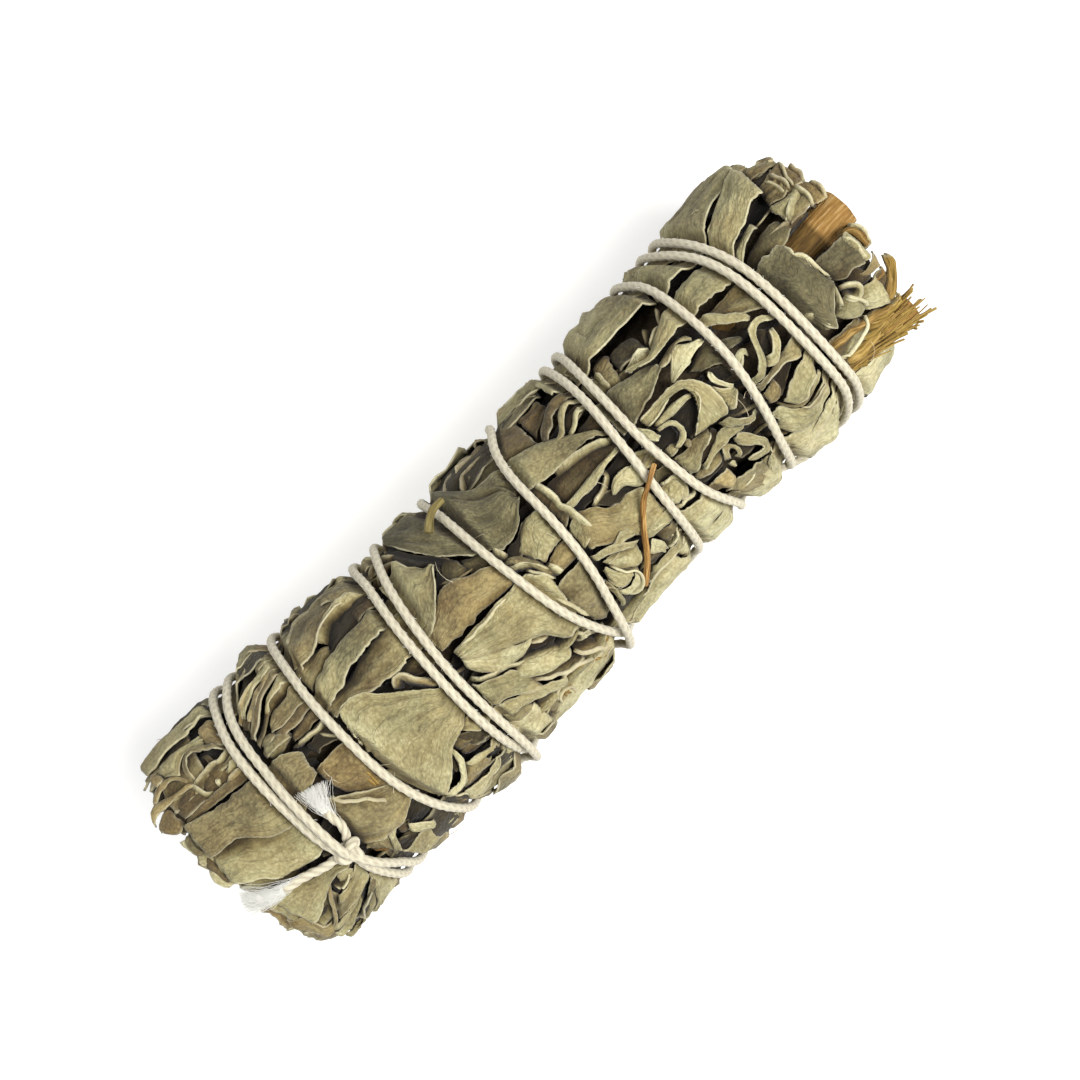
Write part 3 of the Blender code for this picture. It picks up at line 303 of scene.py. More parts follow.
def cross_section(x):
    """The middle of the bunch across and half its width, at x."""
    plus = np.interp(x, SIDE_X, SIDE_PLUS_Y)
    minus = np.interp(x, SIDE_X, SIDE_MINUS_Y)
    return (plus - minus) / 2, (plus + minus) / 2


def outline_radius(x, angle):
    """How far the bunch's even outline is from its axis."""
    half = cross_section(x)[1]
    rise = np.where(np.cos(angle) > 0, TOP_RISE, UNDER_DROP)
    return 1 / np.sqrt((np.sin(angle) / half) ** 2 + (np.cos(angle) / rise) ** 2)


def place(x, angle, radius):
    """The point at this radius from the bunch's axis."""
    middle = cross_section(x)[0]
    return np.stack([x, middle + radius * np.sin(angle), AXIS_HEIGHT + radius * np.cos(angle)], axis=-1)


def on_top(points):
    """(x, angle) of places that are given as they are seen from above."""
    seen = np.array(points, float).reshape(-1, 2)
    x = seen[:, 0] - SEEN_MIDDLE_X + EYE_X
    angle = np.zeros(len(seen))
    for _ in range(EYE_PASSES):
        radius = outline_radius(x, angle)
        nearer = (EYE_HEIGHT - radius * np.cos(angle)) / EYE_HEIGHT
        x = EYE_X + (seen[:, 0] - SEEN_MIDDLE_X) * nearer
        y = EYE_Y + (seen[:, 1] - EYE_Y) * nearer
        sine = np.clip((y - cross_section(x)[0]) / radius, -0.99, 0.99)
        angle = EYE_DAMPING * angle + (1 - EYE_DAMPING) * np.arcsin(sine)
    return np.stack([x, angle], axis=1)


# The string's runs over the top, in winding order, each from the +Y side to the -Y side
KNOT_PLACE = (14.0, -7.7)
STRING_RUNS = (
    ((13.9, -8.0), (13.7, -9.6), (14.3, -11.6), (15.4, -13.4)),
    ((15.3, 14.6), (14.2, 12.5), (13.1, 10.0), (12.5, 6.0), (12.2, 2.0), (12.3, -2.0), (12.7, -5.5),
     (14.4, -8.6), (15.8, -11.0), (17.0, -13.2)),
    ((24.3, 14.2), (23.9, 12.5), (23.5, 10.0), (23.0, 7.0), (22.8, 4.0), (22.7, 0.0), (22.7, -4.0),
     (23.0, -7.0), (23.7, -9.5), (24.6, -12.0), (25.8, -13.6)),
    ((36.6, 13.2), (36.7, 11.0), (36.2, 8.5), (35.6, 5.5), (35.2, 2.0), (35.0, 0.0), (34.7, -4.0),
     (34.6, -8.0), (34.8, -11.0), (35.2, -13.5)),
    ((47.4, 12.7), (47.9, 11.5), (48.1, 9.5), (48.3, 6.0), (48.6, 2.0), (48.9, 0.0), (49.5, -5.0),
     (50.2, -8.0), (51.0, -10.0), (52.5, -12.8)),
    ((70.4, 13.0), (70.4, 11.0), (70.3, 8.0), (70.1, 4.0), (69.9, 1.0), (70.0, -2.0), (70.3, -5.0),
     (70.6, -8.0), (71.3, -10.0), (72.6, -12.6)),
    ((80.6, 13.8), (81.8, 12.9), (82.7, 11.5), (83.2, 9.0), (83.5, 6.0), (83.6, 3.0), (83.5, 0.0),
     (83.0, -3.0), (82.4, -5.5), (81.7, -8.0), (81.0, -10.0), (80.4, -12.0)),
    ((87.6, 13.8), (88.7, 12.6), (90.0, 10.5), (91.1, 8.0), (91.7, 5.5), (92.0, 2.5), (92.0, -3.0),
     (91.9, -6.0), (91.7, -9.0), (91.5, -12.5)),
    ((85.2, 13.9), (86.7, 12.6), (88.5, 10.5), (89.7, 8.0), (90.3, 5.5), (90.6, 2.5), (90.6, -3.0),
     (90.5, -6.0), (90.4, -9.0), (90.0, -12.5)),
    ((68.2, 13.0), (68.7, 10.0), (68.7, 7.0), (68.3, 4.0), (67.9, 1.0), (67.5, -2.0), (67.0, -5.0),
     (66.7, -8.0), (66.3, -11.0), (66.0, -12.7)),
    ((59.0, 13.0), (58.2, 12.2), (57.5, 11.0), (56.9, 9.0), (56.6, 6.5), (56.5, 1.0), (56.3, -1.0),
     (55.9, -4.0), (55.2, -7.0), (54.5, -9.3), (53.7, -11.3), (53.0, -12.9)),
    ((39.9, 13.0), (39.2, 11.5), (38.5, 10.0), (38.0, 8.0), (37.3, 5.0), (36.8, 2.0), (36.5, 0.0),
     (36.2, -3.0), (36.1, -8.0), (36.2, -11.0), (36.4, -13.2)),
    ((17.5, 14.4), (15.7, 12.5), (14.6, 10.0), (13.9, 6.0), (13.6, 2.0), (13.6, -2.0), (13.8, -5.0),
     (14.0, -7.4)),
)
TAIL_RUNS = (
    ((14.2, -7.6), (15.3, -5.6), (15.2, -3.4), (15.8, -1.2)),
    ((13.4, -7.7), (10.6, -7.2), (8.0, -6.3), (5.2, -5.7), (2.9, -4.6)),
)


def eased(line):
    """The line with its corners rounded off, each place moved to the middle of its neighbours."""
    padded = np.pad(line, ((EASE_REACH, EASE_REACH), (0, 0)), mode="reflect", reflect_type="odd")
    near = np.ones(2 * EASE_REACH + 1) / (2 * EASE_REACH + 1)
    return np.stack([np.convolve(column, near, "valid") for column in padded.T], axis=1)


def string_route(step):
    """The string's middle line from end to end, a step apart: x, the angle as it winds on, and its hump."""
    knots = []
    for turn, run in enumerate(STRING_RUNS):
        places = on_top(run)
        if turn:
            start = knots[-1][0]
            for share, around in ((SIDE_SHARE, SIDE_AT), (UNDER_SHARE, UNDER_FROM)):
                knots.append((start + share * (places[0, 0] - start), (around - TURN * (turn - 1)) * TOP_RISE))
        for x, angle in places:
            knots.append((x, (angle - TURN * turn) * TOP_RISE))
    knots = np.array(knots)
    along = np.concatenate([[0], np.cumsum(np.linalg.norm(np.diff(knots, axis=0), axis=1))])
    wanted = np.linspace(0, along[-1], int(along[-1] / FINE_STEP))
    line = np.stack([np.interp(wanted, along, column) for column in knots.T], axis=1)
    for _ in range(2):
        line = eased(line)
    x = line[:, 0]
    angle = line[:, 1] / TOP_RISE
    hump = humps(x, angle)
    every = slice(None, None, round(step / FINE_STEP))
    return x[every], angle[every], hump[every]


def humps(x, angle):
    """How much higher the string runs where it crosses over an earlier turn, in a long low rise."""
    across = STRING_DIAMETER + STRING_SPACE
    same_run = int(SAME_RUN / FINE_STEP)
    fall = HUMP_SLOPE * FINE_STEP
    hump = np.zeros(len(x))
    for here in range(len(x)):
        if here:
            hump[here] = max(0, hump[here - 1] - fall)
        earlier = max(0, here - same_run)
        round_by = (angle[:earlier] - angle[here] + math.pi) % TURN - math.pi
        apart = (x[:earlier] - x[here]) ** 2 + (round_by * TOP_RISE) ** 2
        under = np.nonzero(apart < across**2)[0]
        if len(under):
            hump[here] = max(hump[here], (hump[under] + np.sqrt(across**2 - apart[under])).max())
        before = here - 1
        while before >= 0 and hump[before] < hump[before + 1] - fall:
            hump[before] = hump[before + 1] - fall
            before -= 1
    crest = int(HUMP_CREST / FINE_STEP)
    return np.array([hump[max(0, here - crest) : here + crest + 1].max() for here in range(len(x))])


def string_points(x, angle, hump):
    """The string's places in space. It lies flat along the underside, clear of what the stick rests on."""
    lift = STRING_LIFT + (STRING_SIDE_LIFT - STRING_LIFT) * np.sin(angle) ** 2
    points = place(x, angle, outline_radius(x, angle) + lift + hump)
    points[:, 2] = np.maximum(points[:, 2], STRING_UNDER_HEIGHT)
    return points


def chosen():
    """The settings in the sidebar."""
    return bpy.context.scene.sage


def to_world(points):
    """Millimetres over the part's own origin, in metres."""
    return (points - BOX_MIDDLE) * MM


def press_table():
    """How far from the axis leaves may reach under the string and above the floor, on an even net."""
    x, angle, _ = string_route(2 * FINE_STEP)
    points = string_points(x, angle, np.zeros(len(x)))
    for run in TAIL_RUNS:
        tail = on_top(smooth_line(run, PRESS_PLACES))
        x = np.concatenate([x, tail[:, 0]])
        angle = np.concatenate([angle, tail[:, 1]])
        radius = outline_radius(tail[:, 0], tail[:, 1]) + STRING_LIFT
        points = np.vstack([points, place(tail[:, 0], tail[:, 1], radius)])
    string_radius = np.hypot(points[:, 1] - cross_section(x)[0], points[:, 2] - AXIS_HEIGHT)
    table = np.empty((len(NET_X), len(NET_ANGLE)))
    round_by = (angle[None, :] - NET_ANGLE[:, None] + math.pi) % TURN - math.pi
    for row, here in enumerate(NET_X):
        apart = np.hypot(x[None, :] - here, round_by * TOP_RISE)
        rise = GROOVE_SLOPE * np.maximum(0, apart - GROOVE_HALF_WIDTH)
        table[row] = (string_radius[None, :] - PINCH_DEPTH + rise).min(axis=1)
    down = np.maximum(-np.cos(NET_ANGLE), 0.1)
    return np.minimum(table, (AXIS_HEIGHT - FLOOR_GAP) / down)


# The net of places at which the press of the string and the floor is kept
NET_X = np.arange(-56.0, 56.0, 0.5)
NET_ANGLE = np.linspace(0, TURN, 181)
PRESS = press_table()


def between(net, column, row, low, high):
    """The net's values at places between its columns, and between its rows low and high."""
    left = column.astype(int)
    across = column - left
    up = row - low
    near = net[left, low] * (1 - up) + net[left, high] * up
    far = net[left + 1, low] * (1 - up) + net[left + 1, high] * up
    return near * (1 - across) + far * across


def pressed(x, angle, radius):
    """The radius, held down where the string or the floor presses."""
    column = np.clip((x - NET_X[0]) / (NET_X[1] - NET_X[0]), 0, len(NET_X) - 1.001)
    row = (angle % TURN) / (NET_ANGLE[1] - NET_ANGLE[0])
    low = np.minimum(row.astype(int), len(NET_ANGLE) - 2)
    return np.minimum(radius, between(PRESS, column, row, low, low + 1))


def rough(x, y, seed):
    """Smooth uneven values from -1 to 1, about one rise to a unit."""
    left = np.floor(x)
    low = np.floor(y)
    across = x - left
    up = y - low
    across = across * across * (3 - 2 * across)
    up = up * up * (3 - 2 * up)

    def corner(right, above):
        value = np.sin((left + right) * 127.1 + (low + above) * 311.7 + seed * 74.7) * 43758.5453
        return 2 * (value - np.floor(value)) - 1

    first = corner(0, 0) * (1 - across) + corner(1, 0) * across
    second = corner(0, 1) * (1 - across) + corner(1, 1) * across
    return first * (1 - up) + second * up


BLANKS = {}


def blank(along, across):
    """A flat closed sheet of even faces, kept to be copied, and where its points lie on it."""
    if (along, across) not in BLANKS:
        bm = bmesh.new()
        bmesh.ops.create_grid(bm, x_segments=along, y_segments=across, size=1)
        bmesh.ops.solidify(bm, geom=bm.faces[:], thickness=1)
        bmesh.ops.recalc_face_normals(bm, faces=bm.faces)
        flat = np.array([vert.co for vert in bm.verts])
        mesh = bpy.data.meshes.new("blank")
        bm.to_mesh(mesh)
        bm.free()
        side = 1 if flat[:, 2].max() > 0.5 else -1
        BLANKS[along, across] = (mesh, (flat[:, 0] + 1) / 2, (flat[:, 1] + 1) / 2, np.abs(flat[:, 2]), side)
    return BLANKS[along, across]


def mark(mesh, name, kind, values):
    """Writes a value or a vector to every point of the mesh, for the materials."""
    layer = mesh.attributes.new(name, kind, "POINT")
    field = "vector" if kind == "FLOAT_VECTOR" else "value"
    layer.data.foreach_set(field, np.ascontiguousarray(values, np.float32).ravel())


def sheet(name, along, across, surface, look, thickness=None, face=None):
    """One thin closed leaf. surface gives x, angle and lift for shares u along it and v across it, and
    along and across are its sizes. look is its lightness and how tan it is."""
    thickness = thickness or chosen().leaf_thickness / MM
    face = face or chosen().leaf_face / MM
    steps_along = int(np.clip(round(along / face), *FACES_ALONG))
    steps_across = int(np.clip(round(across / face), *FACES_ACROSS))
    pattern, u, v, layer, side = blank(steps_along, steps_across)
    own_place = random_place(name)
    sink = PRESS_SPREAD * (own_place % 1)

    def spot(u, v):
        x, angle, lift = surface(u, v)
        even = outline_radius(x, angle)
        flat = pressed(x, angle, even + lift)
        radius = flat - sink * np.clip((even + lift - flat) / PRESS_SPREAD, 0, 1)
        return place(x, angle, radius), even - radius

    reach = NEAR_SHARE / steps_along
    reach_across = NEAR_SHARE / steps_across
    top, deep = spot(u, v)
    ahead = spot(np.minimum(u + reach, 1), v)[0] - spot(np.maximum(u - reach, 0), v)[0]
    aside = spot(u, np.minimum(v + reach_across, 1))[0] - spot(u, np.maximum(v - reach_across, 0))[0]
    normal = np.cross(ahead, aside)
    normal /= np.maximum(np.linalg.norm(normal, axis=1), 1e-9)[:, None]
    outward = top - place(top[:, 0], np.zeros(len(top)), np.zeros(len(top)))
    way = 1 if (normal * outward).sum() >= 0 else -1
    points = top - way * normal * (thickness * layer)[:, None]
    points[:, 2] = np.maximum(points[:, 2], FLOOR_GAP * (1 - layer))
    mesh = pattern.copy()
    mesh.vertices.foreach_set("co", to_world(points).astype(np.float32).ravel())
    if way * side > 0:
        mesh.flip_normals()
    rim = np.minimum(np.minimum(v, 1 - v) * across, np.minimum(u, 1 - u) * along)
    mark(mesh, "light", "FLOAT", np.full(len(u), look[0]))
    mark(mesh, "tan", "FLOAT", np.full(len(u), look[1]))
    mark(mesh, "edge", "FLOAT", np.clip(1 - rim / EDGE_WIDTH, 0, 1))
    from_end = np.minimum(top[:, 0] - LEFT_FACE, RIGHT_FACE - top[:, 0])
    mark(mesh, "deep", "FLOAT", np.clip(np.minimum(deep + layer * thickness, from_end), 0, None))
    grain = np.stack([u * along, (v - 0.5) * across, np.full(len(u), own_place)], axis=1)
    mark(mesh, "grain", "FLOAT_VECTOR", grain)
    mesh.shade_smooth()
    return bpy.data.objects.new(name, mesh)


def random_place(name):
    """A number of the piece's own, for its place in the noise."""
    return (sum(ord(letter) * (number + 3) for number, letter in enumerate(name)) % 97) * 1.7


def joined(name, pieces, material):
    """The pieces as one object."""
    for piece in pieces:
        bpy.context.scene.collection.objects.link(piece)
    whole = pieces[0]
    if len(pieces) > 1:
        with bpy.context.temp_override(active_object=whole, object=whole, selected_editable_objects=pieces,
                                       selected_objects=pieces):
            bpy.ops.object.join()
    whole.name = name
    whole.data.name = name
    whole.data.materials.clear()
    whole.data.materials.append(material)
    return whole


def torn(along, row, seed, waves):
    """How far a torn edge strays from its line."""
    long, short = waves
    return rough(along * long, row, seed) + 0.45 * rough(along * short, row, seed + 21)


def crease_at(along, across, seed):
    """Sharp folds with even slopes, from -0.5 to 0.5."""
    return 0.5 - np.abs(rough(along, across, seed))


def open_leaf(name, first, second, lifts, look, seed, ripple=0.18, curl=0.16, crease=0.3, rag=0.22, face=None):
    """A leaf that lies open between two long edges, given as (x, angle)."""
    first = smooth_line(first, EDGE_PLACES)
    second = smooth_line(second, EDGE_PLACES)
    scale = np.array((1, TOP_RISE))
    length = np.linalg.norm(np.diff((first + second) / 2 * scale, axis=0), axis=1).sum()
    width = np.linalg.norm((first - second) * scale, axis=1).max()
    share = np.linspace(0, 1, EDGE_PLACES)
    slope = 0.9 * math.sin(2.3 * seed)
    rag = min(rag, 0.1 * width)
    brim = min(0.9, 0.35 * width)

    def surface(u, v):
        top_edge = torn(u * length, 0.3, seed, TORN_SIDE)
        low_edge = torn(u * length, 5.3, seed, TORN_SIDE)
        v = v + rag / width * ((1 - v) * top_edge - v * low_edge)
        u = u + rag / length * (1 - 2 * u) * torn(v * width, 9.3, seed, TORN_END)
        x = np.interp(u, share, first[:, 0]) * (1 - v) + np.interp(u, share, second[:, 0]) * v
        angle = np.interp(u, share, first[:, 1]) * (1 - v) + np.interp(u, share, second[:, 1]) * v
        along = u * length
        across = v * width
        lift = lifts[0] * (1 - v) * (1 - 2 * v) + 4 * lifts[1] * v * (1 - v) + lifts[2] * v * (2 * v - 1)
        for part, long, wide, step in LEAF_RIPPLES:
            lift = lift + part * ripple * rough(along / long, across / wide, seed + step)
        for part, long, wide, step in LEAF_CREASES:
            lift = lift + part * crease * crease_at(along / long, across / wide, seed + step)
        slant = across + slope * along
        lift = lift + 0.6 * crease * crease_at(slant / 1.4, (along - slope * across) / 6, seed + 17)
        rim = np.minimum(v, 1 - v) * width
        curled = curl * (0.6 + 1.2 * rough(along / 2.4, 0.5 + np.round(v), seed + 3))
        lift = lift + curled * np.maximum(0, 1 - rim / brim) ** 2
        end = np.minimum(u, 1 - u) * length
        lift = lift - 0.4 * np.maximum(0, 1 - end / 0.6) ** 2
        return x, angle, lift

    return sheet(name, length, width, surface, look, face=face)


def along_line(line):
    """A smooth line over the bunch and the way to its side, in (x, arc), and the line's length."""
    middle = smooth_line([(x, angle * TOP_RISE) for x, angle in line], EDGE_PLACES)
    heading = np.gradient(middle, axis=0)
    heading /= np.maximum(np.linalg.norm(heading, axis=1), 1e-9)[:, None]
    aside = np.stack([-heading[:, 1], heading[:, 0]], axis=1)
    length = np.linalg.norm(np.diff(middle, axis=0), axis=1).sum()
    return middle, aside, length


def beside(middle, aside, u, out):
    """x and angle of places out to the side of a line, at shares u along it."""
    share = np.linspace(0, 1, len(middle))
    x, arc = (np.interp(u, share, middle[:, axis]) + out * np.interp(u, share, aside[:, axis]) for axis in (0, 1))
    return x, arc / TOP_RISE


def ridge(name, line, width, lift, look, seed, depth=1.6, ripple=0.15, face=RIDGE_FACE):
    """A leaf folded over, seen as a pleated ridge along a line of (x, angle)."""
    middle, aside, length = along_line(line)
    tilt = 0.5 * math.sin(1.7 * seed)

    def surface(u, v):
        along = u * length
        part = 2 * v - 1
        bend = np.clip(np.abs(part) / 0.62, 0, 1)
        narrow = 0.45 + 0.55 * np.sqrt(np.maximum(0, 1 - (2 * u - 1) ** 4))
        narrow = narrow * (1 + 0.25 * rough(along / 1.8, 0.5, seed))
        out = np.sign(part) * width / 2 * np.sin(bend * math.pi / 2) * narrow
        drop = 0.6 * width * narrow * bend**1.7 + np.maximum(0, np.abs(part) - 0.62) / 0.38 * depth
        high = lift - drop + tilt * out * (1 - bend**4) - 0.9 * np.abs(2 * u - 1) ** 6
        high = high + 0.14 * rough(along / 5, out * 2.6, seed + 5)
        high = high + 0.22 * crease_at(along / 3, out * 1.5, seed + 6)
        high = high + ripple * rough(along / 1.6, v * 2.5, seed + 4)
        out = out + 0.22 * rough(along / 2.6, 4.5, seed) + 0.14 * rough(along, v * 3, seed + 2)
        return *beside(middle, aside, u, out), high

    return sheet(name, length, width * 1.25 + 2 * depth, surface, look, face=face)


def rim_leaf(name, line, lift, look, seed, depth=3.0, lean=0.35, thickness=None, face=RIDGE_FACE):
    """A leaf that stands on edge in the bunch, seen as its thin rim along a line of (x, angle)."""
    middle, aside, length = along_line(line)

    def surface(u, v):
        along = u * length
        deep = v * depth
        out = lean * deep + 0.35 * np.maximum(0, 1 - deep / 0.6) ** 2
        out = out + 0.25 * rough(along / 2.8, deep * 0.3, seed) + 0.14 * rough(along / 0.9, deep * 0.7, seed + 1)
        waves = 0.25 * rough(along / 2.2, 0.5, seed + 2) + 0.12 * rough(along / 0.8, 0.5, seed + 3)
        high = lift - deep - 0.8 * np.abs(2 * u - 1) ** 6 + waves * (1 - v)
        return *beside(middle, aside, u, out), high

    return sheet(name, length, depth, surface, look, thickness or chosen().rim_thickness / MM, face)


# How light and how tan a leaf is
PALE = (0.82, 0.12)
LIGHT = (0.68, 0.2)
GREEN = (0.56, 0.12)
MID = (0.48, 0.4)
TAN = (0.55, 0.85)
OCHRE = (0.5, 1)
OLIVE = (0.34, 0.75)
GREY = (0.36, 0.05)
# The two darkest looks are near-black sheets put in holes and gaps: their colour is painted shade
PAINTED_SHADE = (0, 0.3)
RUST = (0.2, 1)
HOLLOW_SHADE = (0.12, 0.3)
UMBER = (0.27, 0.75)
SAND = (0.5, 0.5)
BUFF = (0.64, 0.55)

